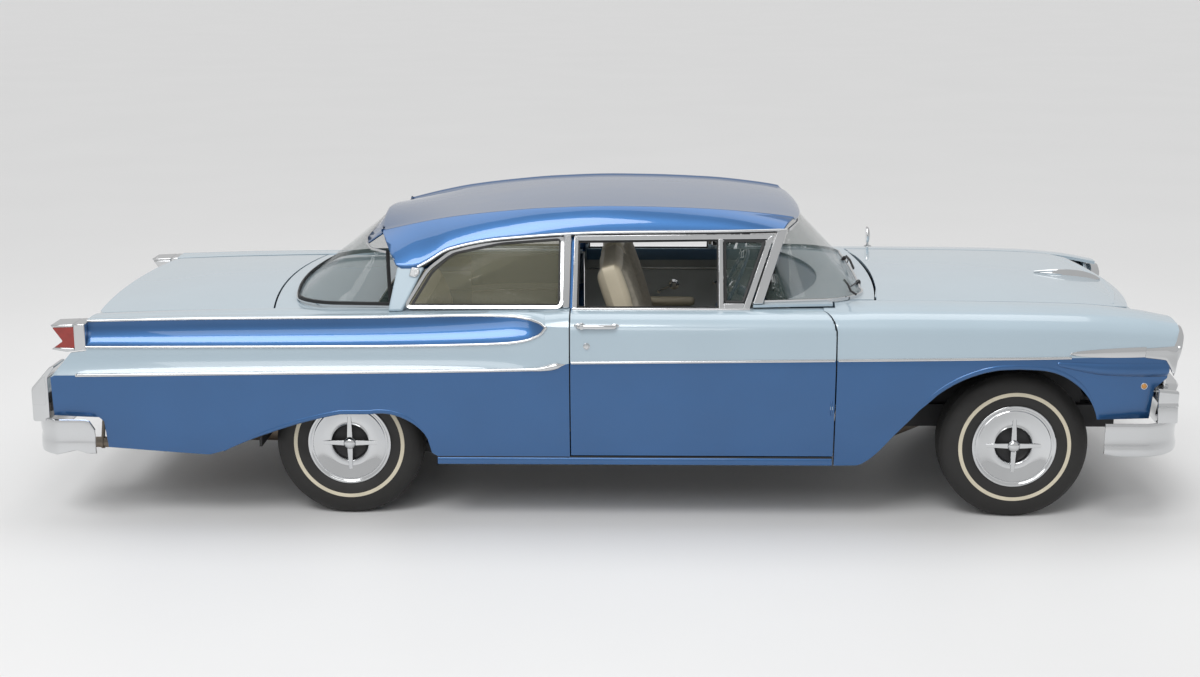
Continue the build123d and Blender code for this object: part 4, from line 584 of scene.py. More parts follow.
# Rear quarters: the lower body, the light cove, the blue spear and the crown of the fin
spear_tip_x = rear_x + .932
lamp_end_x = rear_x - 1.185
Q_WAIST_Z = [(-2.555, .700), (-2.390, .704), (-1.910, .714), (-1.010, .728), (-.400, .739), (-.300, .742),
             (-.235, .755), (-.171, .768)]
Q_WAIST_Y = [(-2.555, .965), (-2.390, .977), (-1.910, .988), (-1.010, .991), (-.360, .988), (-.171, .984)]
Q_FOOT_Z = [(-2.390, .829), (-1.910, .833), (-1.010, .841), (-.600, .851), (-.450, .859), (-.360, .873),
            (-.310, .894), (-.288, .913), (-.278, .931), (-.171, .928)]
Q_FOOT_Y = [(-2.555, .932), (-2.390, .942), (-1.910, .951), (-1.010, .958), (-.600, .964), (-.360, .972),
            (-.278, .970), (-.171, .973)]
Q_TOP_Z = [(-2.390, .942), (-1.910, .954), (-1.010, .965), (-.600, .973), (-.450, .971), (-.360, .962),
           (-.310, .950), (-.288, .940), (-.278, .931), (-.171, .928)]
Q_TOP_Y = [(-2.390, .894), (-1.910, .899), (-1.010, .901), (-.600, .900), (-.450, .904), (-.360, .920),
           (-.310, .943), (-.288, .960), (-.278, .970), (-.171, .973)]
Q_EDGE_Z = [(-2.555, .934), (-2.390, .946), (-1.910, .964), (-1.010, .981), (-.360, .990), (-.171, .992)]
Q_CROWN_Z = [(-2.390, .949), (-1.910, .961), (-1.010, .972), (-.600, .980), (-.360, .984), (-.171, .992)]
Q_HOLLOW = [(-2.390, .015), (-1.010, .015), (-.500, .012), (-.300, .005), (-.171, 0)]
WAIST_ROW, FOOT_ROW, TOP_ROW = 10, 18, 26
quarter_edge_y = deck_half + .010


def quarter_outline(x):
    """The rear quarter's outer line: lower side, two hollow coves and the fin's crown."""
    waist = (eased(Q_WAIST_Y, x), eased(Q_WAIST_Z, x))
    foot = (eased(Q_FOOT_Y, x), eased(Q_FOOT_Z, x))
    top = (eased(Q_TOP_Y, x), eased(Q_TOP_Z, x))
    crown = (eased(CROWN_Y, x), eased(Q_CROWN_Z, x))
    if top[1] - foot[1] < .012:
        middle = ((foot[0] + top[0]) / 2, (foot[1] + top[1]) / 2)
        foot, top = (middle[0], middle[1] - .006), (middle[0], middle[1] + .006)
    hollow = eased(Q_HOLLOW, x)
    lower = ((waist[0] + foot[0]) / 2 - hollow, (waist[1] + foot[1]) / 2)
    deep = hollow * min(1, (top[1] - foot[1]) / .08)
    spear = arc(foot, ((foot[0] + top[0]) / 2 - deep, (foot[1] + top[1]) / 2 - deep * .5), top, 8)
    out = .013 * max(0, min(1, (x + .60) / .43))
    crest = ((top[0] + crown[0]) / 2 + .003 + out, (top[1] + crown[1]) / 2 + .003 + out)
    edge = (quarter_edge_y, eased(Q_EDGE_Z, x))
    return joined(arc((eased(SILL_Y, x), sill_z), (eased(BELLY_Y, x), belly_z), waist, 10), arc(waist, lower, foot, 8),
                  spear, arc(top, crest, crown, 5),
                  arc(crown, ((crown[0] + edge[0]) / 2, (crown[1] + edge[1]) / 2 + .003), edge, 4))


REAR_ARCH = joined([(-.824, .401), (-.838, .430)], arc((-.838, .430), (-.910, .500), (-1.089, .534), 10),
                   [(-1.089, .534), (-1.227, .533)], arc((-1.227, .533), (-1.555, .441), (-1.783, .335), 14))
QUARTER_FOOT = joined([(-.171, .316), (-.785, .316), (-.807, .330), (-.824, .401)], REAR_ARCH,
                      [(-1.783, .335), (-1.850, .316), (-2.320, .350), (-2.328, .480), (-2.350, .500), (-2.562, .505)])
QUARTER_TOP = [(-2.562, .690), (-2.470, .800), (-2.3951, .810), (-2.395, 2.0), (0, 2.0)]


def bounded(outline, low, high):
    """An outline kept between two heights, its outer points moved onto the bounds."""
    y_low, y_high = width_at(outline, low), width_at(outline, high)
    return [(y_low, low) if z < low else (y_high, high) if z > high else (y, z) for y, z in outline]


quarter_start = door_rear_x - .006
quarter_xs = stations(-2.562, quarter_start, 130, -.785, -.796, -.807, -.812, -.818, -.824, -.830, -.838, -2.320,
                      -2.322, -2.325, -2.328, -2.350, -2.395, -2.3951, -2.47, -.30, -.294, -.288, -.284, -.281, -.279,
                      -.278, -.2779)
quarter_rows = len(quarter_outline(-1)) - 1


def quarter_finish(i, j):
    """The quarter skin's finish at a face: blue below and in the spear, pale elsewhere."""
    row = j if j < quarter_rows else 2 * quarter_rows - j
    in_spear = FOOT_ROW <= row < TOP_ROW and quarter_xs[i] < spear_tip_x - .001
    return 0 if row < WAIST_ROW or in_spear else 1


for side, sign in SIDES:
    columns = []
    for x in quarter_xs:
        low, high = between(QUARTER_FOOT, x), between(QUARTER_TOP, x)
        outer = quarter_outline(x)
        loop = bounded(outer, low, high) + list(reversed(bounded(inset(outer, .016), low, high)))
        columns.append([(x, sign * y, z) for y, z in closed(loop)])
    shape = cap_ends(grid(columns, finish_at=quarter_finish))
    piece("quarter_skin_" + side, shape, [mid_paint, light_paint], "quarter_panel_" + side, sharp=24)

# Rolled lips of the wheel arches
lip_radius = .010


def lip_path(points, outline, sign):
    """The path of a lip along points of x and z, just inside the skin."""
    return [(x, sign * (width_at(outline(x), z + .002) - .004), z) for x, z in points]


FRONT_LIP = joined([(1.174, .286), (1.290, .402), (1.400, .525)], arc((1.400, .525), (1.560, .676), (1.780, .754), 14),
                   [(1.780, .754), (1.870, .758), (1.960, .754)], arc((1.960, .754), (2.150, .672), (2.241, .505), 14))
REAR_LIP = joined([(-.807, .330), (-.824, .401)], REAR_ARCH)
for side, sign in SIDES:
    for name, points, outline in (("front", FRONT_LIP, front_side), ("rear", REAR_LIP, quarter_outline)):
        path = lip_path(points, outline, sign)
        grown = [min(1, .25 + 3.5 * min(i, len(path) - 1 - i) / len(path)) for i in range(len(path))]
        shape = swept(path, (0, sign, 0), [(a * 1.25, b * .7) for a, b in round_bar(lip_radius)], grown)
        piece(name + "_arch_lip_" + side, shape, mid_paint, sharp=60)

# Rocker panel under the door
for side, sign in SIDES:
    xs = stations(rear_x + .425, door_front_x - .002, 12)
    section = [(.785, .316), (.925, .316), (.932, .308), (.936, .296), (.932, sill_z), (.900, sill_z - .004),
               (.785, sill_z)]
    piece("rocker_" + side, along_car(section, xs, sign), mid_paint, sharp=40)

# Side mouldings
for side, sign in SIDES:
    for name, start, end, body in (("door", door_rear_x + .004, door_front_x - .004, "door_" + side),
                                   ("fender", door_front_x + .011, 2.100, "body")):
        xs = stations(start, end, 30)
        path, normals = along_row(front_side, SPLIT_ROW, xs, sign)
        piece(name + "_moulding_" + side, swept(path, normals, half_round(.014, .006)), chrome, body=body)
    xs = sorted(stations(-2.440, -.189, 60, -.2, -.21, -.22, -.23, -.24, -.26))
    path, normals = along_row(quarter_outline, WAIST_ROW, xs, sign)
    grown = [max(.12, min(1, (-.186 - x) / .035)) * (1 + 1.1 * max(0, 1 - abs(x + .245) / .075)) for x in xs]
    piece("cove_moulding_" + side, swept(path, normals, half_round(.016, .007), grown), chrome)
    near_tip = [spear_tip_x - .0004, spear_tip_x - .003, spear_tip_x - .007, spear_tip_x - .014, spear_tip_x - .024]
    back = sorted(stations(lamp_end_x, spear_tip_x - .035, 60) + near_tip)
    upper, upper_out = along_row(quarter_outline, TOP_ROW, back, sign)
    lower, lower_out = along_row(quarter_outline, FOOT_ROW, back, sign)
    lower_out = [(n + Vector((0, sign * .35, 0))).normalized() for n in lower_out]
    upper_out = [(n + Vector((0, sign * .5, 0))).normalized() for n in upper_out]
    path = upper + [Vector((spear_tip_x + .003, sign * .971, .931))] + list(reversed(lower))
    outward = upper_out + [Vector((0, sign, .1))] + list(reversed(lower_out))
    piece("spear_moulding_" + side, swept(path, outward, half_round(.013, .006)), chrome)

# Hood, with rolled edges and its hinge arms
HOOD_Z = ([(1.239, 1.010), (1.800, 1.005), (2.180, .996), (2.370, .980), (2.510, .948)],
          [(1.239, 1.024), (1.800, 1.022), (2.180, 1.007), (2.370, .990), (2.510, .956)])


def crowned(lid_z, x, share):
    """A lid's height at x and a share of its half-width, from its edge and middle knots."""
    edge, middle = (eased(knots, x) for knots in lid_z)
    return edge + (middle - edge) * (1 - share * share)


def lid(rear, front, lid_z, half, rows, count):
    """A crowned lid between two bowed ends; rear and front give x at a share of the half-width."""
    columns = []
    for i in range(rows + 1):
        column = []
        for j in range(count + 1):
            share = -1 + 2 * j / count
            x = rear(share) + (front(share) - rear(share)) * i / rows
            column.append((x, share * half, crowned(lid_z, x, share)))
        columns.append(column)
    return grid(columns)


def rolled(shape, depth, turn=.006):
    """Turns the rim of a sheet down into a flange."""
    rim = [edge for edge in shape.edges if edge.is_boundary]
    for drop in (turn * .6, turn * .8, depth - turn * 1.4):
        made = bmesh.ops.extrude_edge_only(shape, edges=rim)
        rim = [e for e in made["geom"] if isinstance(e, bmesh.types.BMEdge)]
        verts = new_verts(made)
        bmesh.ops.translate(shape, verts=verts, vec=(0, 0, -drop))
    return shape


def hood_rear(share):
    """The hood's rear edge at a share of its half width."""
    return hood_rear_x + hood_bow * (1 - share * share)


def hood_front(share):
    """The hood's nose at a share of its half width, drawn in at its corners."""
    corner = max(0, abs(share) - .93) / .07
    return hood_front_x + .040 + (hood_nose_x - hood_front_x - .040) * (1 - share * share) - .062 * corner ** 2


shape = rolled(lid(hood_rear, hood_front, HOOD_Z, hood_half, 44, 36), .022)
bevel(wall(piece("hood_skin", shape, light_paint, "hood", body="hood", sharp=40), .0015), .001, 1, 60)

# Hood nose: the upright lip at the front, the inner frame and the hinge arms
columns = []
for j in range(41):
    share = -.955 + 1.91 * j / 40
    x = hood_front(share) - .004
    z = crowned(HOOD_Z, x, share)
    drop = [(0, z - .010), (.006, z - .022), (.002, z - .040), (-.004, .900), (-.016, .897), (-.016, .905),
            (-.010, z - .020), (-.012, z - .010)]
    columns.append([(x + dx, share * hood_half, height) for dx, height in closed(drop)])
piece("hood_nose_lip", cap_ends(grid(columns)), light_paint, body="hood", sharp=35)

hood_pivot = (front_x - .710, cowl_z - .030)
deck_pivot = (rear_x - .290, shelf_z - .041)
arm_y = .545


def arm_pair(name, outline, eye, body):
    """Two plate arms cut to an outline in x and z, with a round eye at the pivot."""
    shape = bmesh.new()
    for sign in (-1, 1):
        made = bmesh.ops.create_circle(shape, cap_ends=False, segments=24, radius=.013,
                                       matrix=Matrix.Translation((eye[0], sign * arm_y - .005, eye[1]))
                                       @ Matrix.Rotation(radians(90), 4, "X"))
        ring = list({e for v in made["verts"] for e in v.link_edges})
        grown = bmesh.ops.extrude_edge_only(shape, edges=ring)
        bmesh.ops.translate(shape, verts=new_verts(grown), vec=(0, .010, 0))
        slab(shape, [(x, sign * arm_y - .005, z) for x, z in outline], (0, .010, 0))
    bmesh.ops.holes_fill(shape, edges=[e for e in shape.edges if e.is_boundary], sides=0)
    piece(name, shape, black_steel, body=body, sharp=30)


px, pz = hood_pivot
arm_pair("hood_hinge_arms", [(px - .009, pz), (px - .002, pz - .086), (px + .138, pz - .086), (px + .138, 1.008),
                             (px + .122, 1.008), (px + .122, pz - .070), (px + .012, pz - .070), (px + .009, pz)],
         hood_pivot, "hood")
px, pz = deck_pivot
arm_pair("deck_hinge_arms", [(px + .009, pz), (px + .002, pz - .116), (px - .168, pz - .116), (px - .168, .966),
                             (px - .152, .966), (px - .152, pz - .100), (px - .012, pz - .100), (px - .009, pz)],
         deck_pivot, "deck_lid")


def lid_ribs(name, runs, lid_z, half, body):
    """Pressed stiffening channels on the underside of a lid, each run a list of x and share of width."""
    shape = bmesh.new()
    for run in runs:
        path = []
        for (x0, s0), (x1, s1) in zip(run, run[1:]):
            path += [(x0 + (x1 - x0) * k / 8, s0 + (s1 - s0) * k / 8) for k in range(8)]
        path.append(run[-1])
        points = [(x, s * half, crowned(lid_z, x, s) - .0035) for x, s in path]
        channel = [(-.034, 0), (-.024, .016), (.024, .016), (.034, 0), (.034, -.001), (-.034, -.001)]
        merged(shape, swept(points, (0, 0, -1), channel))
    piece(name, shape, light_paint, body=body, sharp=30)


lid_ribs("hood_frame", [[(1.285, -.90), (1.335, -.4), (1.345, 0), (1.335, .4), (1.285, .90)],
                        [(1.285, -.90), (2.330, -.90)], [(1.285, .90), (2.330, .90)],
                        [(2.330, -.90), (2.400, -.5), (2.440, 0), (2.400, .5), (2.330, .90)],
                        [(1.345, 0), (2.425, -.62)], [(1.345, 0), (2.425, .62)]],
         HOOD_Z, hood_half, "hood")

# Deck lid and the panel around the rear window
DECK_Z = ([(-2.390, .946), (-2.000, .960), (-1.535, .969), (-1.000, .972)],
          [(-2.430, .955), (-2.000, .978), (-1.535, .986), (-1.000, .986)])


def deck_front(share):
    """The deck lid's front edge at a share of its half width."""
    return deck_front_x - deck_bow * (1 - share * share)


def deck_rear(share):
    """The deck lid's rear edge at a share of its half width, drawn in at its corners."""
    corner = max(0, abs(share) - .94) / .06
    return deck_rear_x - .042 * (1 - share * share) + .020 * corner ** 2


shape = rolled(lid(deck_rear, deck_front, DECK_Z, deck_half, 30, 36), .020)
wall(piece("deck_skin", shape, light_paint, "deck_lid", body="deck_lid", sharp=40), .0015)

# Rear face of the deck lid, hollow under the brow
deck_lip_x = rear_x - 1.230
deck_foot_z = .690
columns = []
for j in range(41):
    share = -.945 + 1.89 * j / 40
    y = share * deck_half
    bow = .040 * (1 - share * share)
    top_x, foot_x = deck_rear_x - .002 - bow, deck_lip_x - bow
    top_z = crowned(DECK_Z, top_x, share)
    outer = joined([(top_x, top_z - .012), (top_x + .006, top_z - .024)],
                   arc((top_x + .006, top_z - .024), ((top_x + foot_x) / 2 + .020, (top_z + deck_foot_z) / 2),
                       (foot_x, deck_foot_z + .012), 10), [(foot_x, deck_foot_z + .012), (foot_x + .004, deck_foot_z)])
    inner = [(x + .014, z) for x, z in reversed(outer)]
    columns.append([(x, y, z) for x, z in outer + inner + outer[:1]])
piece("deck_rear_face", cap_ends(grid(columns)), light_paint, body="deck_lid", sharp=35)
lid_ribs("deck_frame", [[(-1.68, -.88), (-1.70, 0), (-1.68, .88)], [(-1.68, -.88), (-2.33, -.88)],
                        [(-1.68, .88), (-2.33, .88)], [(-2.33, -.88), (-2.37, 0), (-2.33, .88)],
                        [(-1.70, 0), (-2.36, 0)]],
         DECK_Z, deck_half, "deck_lid")

# Fixed deck between the lid and the rear seat, under the rear window
shelf_front_x = rear_x + .120


def deck_back(share):
    """The fixed rear deck's rear edge, just ahead of the lid."""
    return deck_front(share) + .010


shape = rolled(lid(deck_back, lambda share: shelf_front_x, DECK_Z, deck_half + .0095, 20, 30), .012)
wall(piece("rear_deck_skin", shape, light_paint, "rear_deck", sharp=40), .002)

# Roof: side bands, raised ridges and a flat crowned middle
R_RAIL_Z = [(.934, 1.336), (.889, 1.334), (.500, 1.325), (0, 1.320), (-.500, 1.291), (-.740, 1.246), (-.840, 1.190),
            (-.900, 1.165), (-1.121, 1.165)]
R_RIDGE_Y = [(.934, .540), (.889, .552), (.500, .585), (0, .590), (-.500, .582), (-.740, .575), (-.900, .568),
             (-1.121, .540)]
R_RIDGE_Z = [(.934, 1.352), (.889, 1.373), (.700, 1.401), (.500, 1.419), (.200, 1.431), (0, 1.4335), (-.300, 1.424),
             (-.500, 1.408), (-.740, 1.380), (-.900, 1.350), (-1.121, 1.298)]
R_MIDDLE_Z = [(.934, 1.354), (.889, 1.374), (.700, 1.400), (.500, 1.417), (.200, 1.429), (0, 1.432), (-.300, 1.422),
              (-.500, 1.405), (-.740, 1.378), (-.900, 1.362), (-1.121, 1.340)]
R_CUT = [(-1.115, 1.322), (-1.062, 1.302), (-.975, 1.168), (-.974, 1.0), (1, 1.0)]
rail_overhang = .014


def roof_half(x):
    """Half a roof section from the rail up over the ridge to the middle."""
    rail_z = max(eased(R_RAIL_Z, x), between(R_CUT, x))
    rail = (lean_y(eased(R_RAIL_Z, x)) + rail_overhang, eased(R_RAIL_Z, x))
    ridge = (eased(R_RIDGE_Y, x), eased(R_RIDGE_Z, x))
    middle_z = eased(R_MIDDLE_Z, x)
    swell = .012 * min(1, (ridge[1] - rail[1]) / .08)
    band = arc(rail, ((rail[0] + ridge[0]) / 2 + swell * .7, (rail[1] + ridge[1]) / 2 + swell * .7),
               (ridge[0] + .010, ridge[1] - .004), 9)
    crest = arc(band[-1], (ridge[0], ridge[1] + .0005), (ridge[0] - .012, ridge[1] - .002), 4)
    valley = (ridge[0] - .052, min(ridge[1] - .008, middle_z + .004))
    inner = arc(crest[-1], ((crest[-1][0] + valley[0]) / 2, (crest[-1][1] + valley[1]) / 2 - .0015), valley, 4)
    flat = [(valley[0] * (1 - i / 9), valley[1] + (middle_z - valley[1]) * (1 - (1 - i / 9) ** 2)) for i in range(10)]
    half = joined(band, crest, inner, flat)
    return [(y, max(z, rail_z)) if z > rail_z else (width_at(half[:10], rail_z), rail_z) for y, z in half]


def edge_x(knots, y):
    """Where the roof ends, at a distance from the middle."""
    return eased(knots, abs(y))


ROOF_FRONT = [(0, .931), (.20, .926), (.420, .905), (.560, .868), (.640, .832), (.690, .803)]
ROOF_TAIL = [(0, -1.111), (.300, -1.096), (.480, -1.082), (.600, -1.066), (.80, -1.062)]
half_rows = len(roof_half(0))


def roof_columns(shares, steps, point_at):
    """Points across the roof at shares of its length; point_at gives y and z at x for a row of the half section."""
    columns = []
    for share in shares:
        column = []
        for j in range(half_rows * 2 - 1):
            k = j if j < half_rows else 2 * half_rows - 2 - j
            x = .5 - share
            for step in range(steps):
                y = roof_half(x)[k][0]
                x = edge_x(ROOF_FRONT, y) + (edge_x(ROOF_TAIL, y) - edge_x(ROOF_FRONT, y)) * share
            y, z = point_at(x, k)
            column.append(Vector((x, -y if j < half_rows else y, z)))
        columns.append(column)
    return columns


def lining_point(x, k):
    """A point of the headliner, below the roof but not below its rail."""
    y, z = inset(roof_half(x), .019)[k]
    return max(y, 0), max(z, roof_half(x)[0][1] + .003)


columns = roof_columns(stations(0, 1, 70, .002, .006, .990, .996), 6, lambda x, k: roof_half(x)[k])
roof_edge = columns[-1]
wall(piece("roof_skin", grid(columns), mid_paint, "roof", slot="mid_blue_paint", sharp=30), .010, 1)
columns = roof_columns(stations(.02, .965, 26), 4, lining_point)
wall(piece("headliner", grid(columns), headliner, sharp=60), .003, 1)

# Posts: windscreen posts, door posts and the pale panel behind the quarter glass
frame_foot = (.653, .988)
frame_head = (.774, 1.312)


def frame_front_x(z):
    """Where the window frame's front edge stands at a height."""
    return frame_foot[0] + (z - frame_foot[1]) * (frame_head[0] - frame_foot[0]) / (frame_head[1] - frame_foot[1])


def lean_point(x, z, sign, out=0.0):
    """A point on the leaning plane of the side glass, set out or in along its square."""
    across = Vector((0, lean_head[1] - lean_foot[1], lean_foot[0] - lean_head[0])).normalized()
    return Vector((x, sign * (lean_y(z) + out * across.y), z + out * across.z))


def lean_way(sign):
    """The way out from the side glass, square to it."""
    return lean_point(0, 1, sign, 1) - lean_point(0, 1, sign, 0)


def leaning_bars(name, bars, depth, finish, body="body", slot=None, soft=.004, segments=2):
    """Plates on the side-glass plane on both sides, each an outline of x and z corners, as thick as depth says.

    SIDE in the body's name stands for the side."""
    for side, sign in SIDES:
        shape = bmesh.new()
        for corners in bars:
            slab(shape, [lean_point(x, z, sign, depth[0]) for x, z in corners], lean_way(sign) * (depth[1] - depth[0]))
        bevel(piece(name + "_" + side, shape, finish, slot=slot, body=body.replace("SIDE", side)), soft, segments)


post_top_z = 1.334
leaning_bars("screen_post", [[(frame_front_x(cowl_z) + .007, cowl_z), (frame_front_x(cowl_z) + .052, cowl_z),
                              (frame_front_x(post_top_z) + .052, post_top_z),
                              (frame_front_x(post_top_z) + .007, post_top_z)]], (-.022, .013), chrome)
leaning_bars("door_post", [[(-.204, belt_z + .002), (-.174, belt_z + .002), (-.168, 1.318), (-.204, 1.318)]],
             (-.008, .010), chrome)
leaning_bars("door_post_inner", [[(-.203, belt_z + .002), (-.155, belt_z + .002), (-.151, 1.316), (-.203, 1.316)]],
             (-.044, -.0176), mid_paint, slot="mid_blue_paint")
leaning_bars("rear_post_panel", [[(-1.010, .980), (-.945, .980), (-.850, 1.168), (-.975, 1.168)]],
             (-.020, .011), light_paint, soft=.008)
leaning_bars("rear_post_ornament", [[(-.918, 1.126), (-.886, 1.120), (-.868, 1.138), (-.872, 1.160), (-.908, 1.164)]],
             (.0105, .020), chrome, soft=.005)

# Drip moulding along the rail, over the door and down the rear pillar
for side, sign in SIDES:
    path, outward = [], []
    for x in stations(-.880, .800, 60):
        z = eased(R_RAIL_Z, x) + .002
        path.append(Vector((x, sign * (lean_y(z) + rail_overhang + .001), z)))
        outward.append(Vector((0, sign, .2)))
    piece("drip_moulding_" + side, swept(path, outward, half_round(.013, .007, .006)), chrome)
    path, outward = [], []
    for x in stations(-.940, .790, 60):
        z = eased(R_RAIL_Z, x) - .005
        path.append(Vector((x, sign * (lean_y(z) + .004), z)))
        outward.append(Vector((0, sign, .2)))
    piece("rail_seal_" + side, swept(path, outward, [(-.007, -.006), (-.007, .006), (.007, .006), (.007, -.006)]),
          rubber, slot="mid_blue_paint")


# Curved glass at both ends
screen_top_z, back_top_z = 1.338, 1.330


def plan_curve(knots):
    """Half a glass seen from above: the side line, the corner and the shallow middle."""
    side, corner_start, corner, corner_end, middle = knots
    return joined([side, corner_start], arc(corner_start, corner, corner_end, 12),
                  arc(corner_end, (middle[0], 0), (corner_end[0], -corner_end[1]), 16)[:9])


SCREEN_FOOT = [(.723, .790), (1.000, .752), (1.150, .665), (1.195, .480), (1.206, 0)]
SCREEN_HEAD = [(.843, .630), (.849, .608), (.867, .535), (.895, .420), (.920, 0)]
REAR_FOOT = [(-1.014, .752), (-1.235, .735), (-1.410, .665), (-1.485, .520), (-1.530, 0)]
REAR_HEAD = [(-1.045, .590), (-1.060, .560), (-1.072, .500), (-1.080, .420), (-1.095, 0)]


def full_curve(half):
    """A half plan curve with its mirror image."""
    return half + [(x, -y) for x, y in reversed(half[:-1])]


def glass_sheet(foot, head, foot_z, head_z, toward, top=None):
    """A curved glass between two plan curves, bulged a little, its top cut to a line of y and z."""
    low, high = full_curve(plan_curve(foot)), full_curve(plan_curve(head))
    columns = []
    for (x0, y0), (x1, y1) in zip(low, high):
        end = 1.0
        if top:
            for step in range(8):
                y = y0 + (y1 - y0) * end
                end = (between(top, abs(y)) - foot_z) / (head_z - foot_z)
        column = []
        for k in range(15):
            t = end * k / 14
            swell = .004 * 4 * t * (1 - t)
            column.append(Vector((x0 + (x1 - x0) * t + toward * swell, y0 + (y1 - y0) * t,
                                  foot_z + (head_z - foot_z) * t)))
        columns.append(column)
    return columns


REAR_TOP = [(0, 1.312), (.300, 1.294), (.570, 1.248), (.800, 1.180)]
screen = glass_sheet(SCREEN_FOOT, SCREEN_HEAD, cowl_z + .0005, screen_top_z, 1)
wall(piece("windscreen_glass", grid(screen), window_glass, "windscreen", sharp=60), .005)
back = glass_sheet(REAR_FOOT, REAR_HEAD, shelf_z + .0005, back_top_z, -1, REAR_TOP)
wall(piece("rear_window_glass", grid(back), window_glass, "rear_window", sharp=60), .005)


def edging(name, points, centre, section, finish):
    """A seal or trim strip along a line, facing away from a centre."""
    outward = []
    last = len(points) - 1
    for i, p in enumerate(points):
        run = (points[min(i + 1, last)] - points[max(i - 1, 0)]).normalized()
        out = Vector((p.x - centre[0], p.y - centre[1], (p.z - centre[2]) * .4))
        outward.append((out - run * out.dot(run)).normalized())
    return piece(name, swept(points, outward, section), finish, slot="chrome", sharp=50)


foot = [c[0] for c in screen]
head = [c[-1] for c in screen]
edging("windscreen_foot_trim", [p + Vector((.001, 0, .006)) for p in foot], (.6, 0, 1.0), flat_band(.018, .006), chrome)
edging("windscreen_head_trim", [p - Vector((0, 0, .010)) for p in head], (0, 0, 1.0), flat_band(.016, .006), chrome)
foot = [c[0] for c in back]
head = [c[-1] for c in back]
columns = []
for p in roof_edge:
    if abs(p.y) < .590:
        on_glass = [(h.y, h.x) for h in sorted(head, key=lambda h: h.y)]
        heights = [(h.y, h.z) for h in sorted(head, key=lambda h: h.y)]
        columns.append([p + Vector((.004, 0, -.010)),
                        (between(on_glass, p.y) - .001, p.y, between(heights, p.y) - .004)])
wall(piece("rear_header", grid(columns), mid_paint, slot="mid_blue_paint", sharp=50), .003, 0)
edging("rear_window_seal", [p + Vector((0, 0, .008)) for p in foot], (-.9, 0, 1.0), flat_band(.020, .005), rubber)
edging("rear_window_trim", [p + Vector((-.002, 0, -.001)) for p in foot], (-.9, 0, 1.0), flat_band(.010, .008), chrome)
edging("rear_window_head_trim", [p - Vector((0, 0, .006)) for p in head], (0, 0, .9), flat_band(.014, .005), chrome)
for side, sign, column in (("left", 1, back[0]), ("right", -1, back[-1])):
    shape = swept([p + Vector((.006, 0, 0)) for p in column], (.5, sign, .2), flat_band(.018, .005))
    piece("rear_window_side_seal_" + side, shape, rubber, slot="chrome")

# Quarter glass in its chrome frame
QUARTER_PANE = [(-.206, .994), (-.206, 1.303), (-.498, 1.283), (-.724, 1.239), (-.822, 1.160), (-.925, .994)]


def smooth_loop(corners, rounding, count=5):
    """A closed loop of x and z with its corners rounded."""
    points = []
    n = len(corners)
    for i in range(n):
        a, b, c = Vector(corners[i - 1]), Vector(corners[i]), Vector(corners[(i + 1) % n])
        r = min(rounding, (a - b).length * .45, (c - b).length * .45)
        start, end = b + (a - b).normalized() * r, b + (c - b).normalized() * r
        for k in range(count + 1):
            t = k / count
            p = start * (1 - t) ** 2 + b * 2 * t * (1 - t) + end * t * t
            points.append((p.x, p.y))
    return points


def frame_strip(name, corners, section, finish, rounding, body="body"):
    """A frame that runs round a loop of corners on the side-glass plane."""
    loop = closed(smooth_loop(corners, rounding))
    middle = Vector((sum(x for x, z in corners) / len(corners), sum(z for x, z in corners) / len(corners)))
    for side, sign in SIDES:
        points = [lean_point(x, z, sign) for x, z in loop]
        across = lean_way(sign).normalized()
        columns = []
        n = len(points) - 1
        for i, p in enumerate(points):
            run = (points[(i + 1) % n] - points[(i - 1) % n]).normalized()
            aside = run.cross(across)
            if aside.dot(p - lean_point(middle.x, middle.y, sign)) < 0:
                aside = -aside
            columns.append(closed([p + aside * a + across * b for a, b in section]))
        piece(name + "_" + side, grid(columns), finish, slot="chrome", body=body.replace("SIDE", side), sharp=40)


quarter_shape = bmesh.new()
for side, sign in SIDES:
    pane = [lean_point(x, z, sign) for x, z in smooth_loop(QUARTER_PANE, .03)]
    quarter_shape.faces.new([quarter_shape.verts.new(p) for p in pane])
wall(piece("quarter_glass_panes", quarter_shape, old_glass, "quarter_glass"), .004, 0)
BAND = [(-.011, -.004), (-.010, .007), (.004, .008), (.005, -.004)]
frame_strip("quarter_frame", [(x - .012 if x < -.8 else x, z) for x, z in QUARTER_PANE], BAND, chrome, .035)
frame_strip("quarter_seal", QUARTER_PANE, [(-.020, -.003), (-.020, .004), (-.009, .005), (-.009, -.003)], rubber, .030)


# Wheels and tyres, each turned about its own axle
def turned(profile, steps=96):
    """A closed ring turned about the Y axis from radius and y points, outer face at positive y."""
    shape = bmesh.new()
    verts = [shape.verts.new((r, y, 0)) for r, y in profile]
    edges = [shape.edges.new(pair) for pair in zip(verts, verts[1:])]
    bmesh.ops.spin(shape, geom=verts + edges, cent=(0, 0, 0), axis=(0, 1, 0), angle=2 * pi, steps=steps,
                   use_merge=True, use_duplicate=False)
    bmesh.ops.remove_doubles(shape, verts=shape.verts, dist=1e-5)
    return shape


def placed(shape, x, y, sign, z=axle_z):
    """Moves a wheel-like shape to its place, mirrored for the right side."""
    if sign < 0:
        bmesh.ops.rotate(shape, verts=shape.verts, cent=(0, 0, 0), matrix=Matrix.Rotation(pi, 3, "Z"))
    bmesh.ops.translate(shape, verts=shape.verts, vec=(x, y, z))
    return shape


def placed_turn(profile, place, facing, steps=40):
    """A turned fitting with its axis facing a way, from points of radius and distance along the axis."""
    shape = turned(profile, steps)
    turn = Vector((0, 1, 0)).rotation_difference(Vector(facing).normalized()).to_matrix()
    bmesh.ops.rotate(shape, verts=shape.verts, cent=(0, 0, 0), matrix=turn)
    bmesh.ops.translate(shape, verts=shape.verts, vec=place)
    return shape


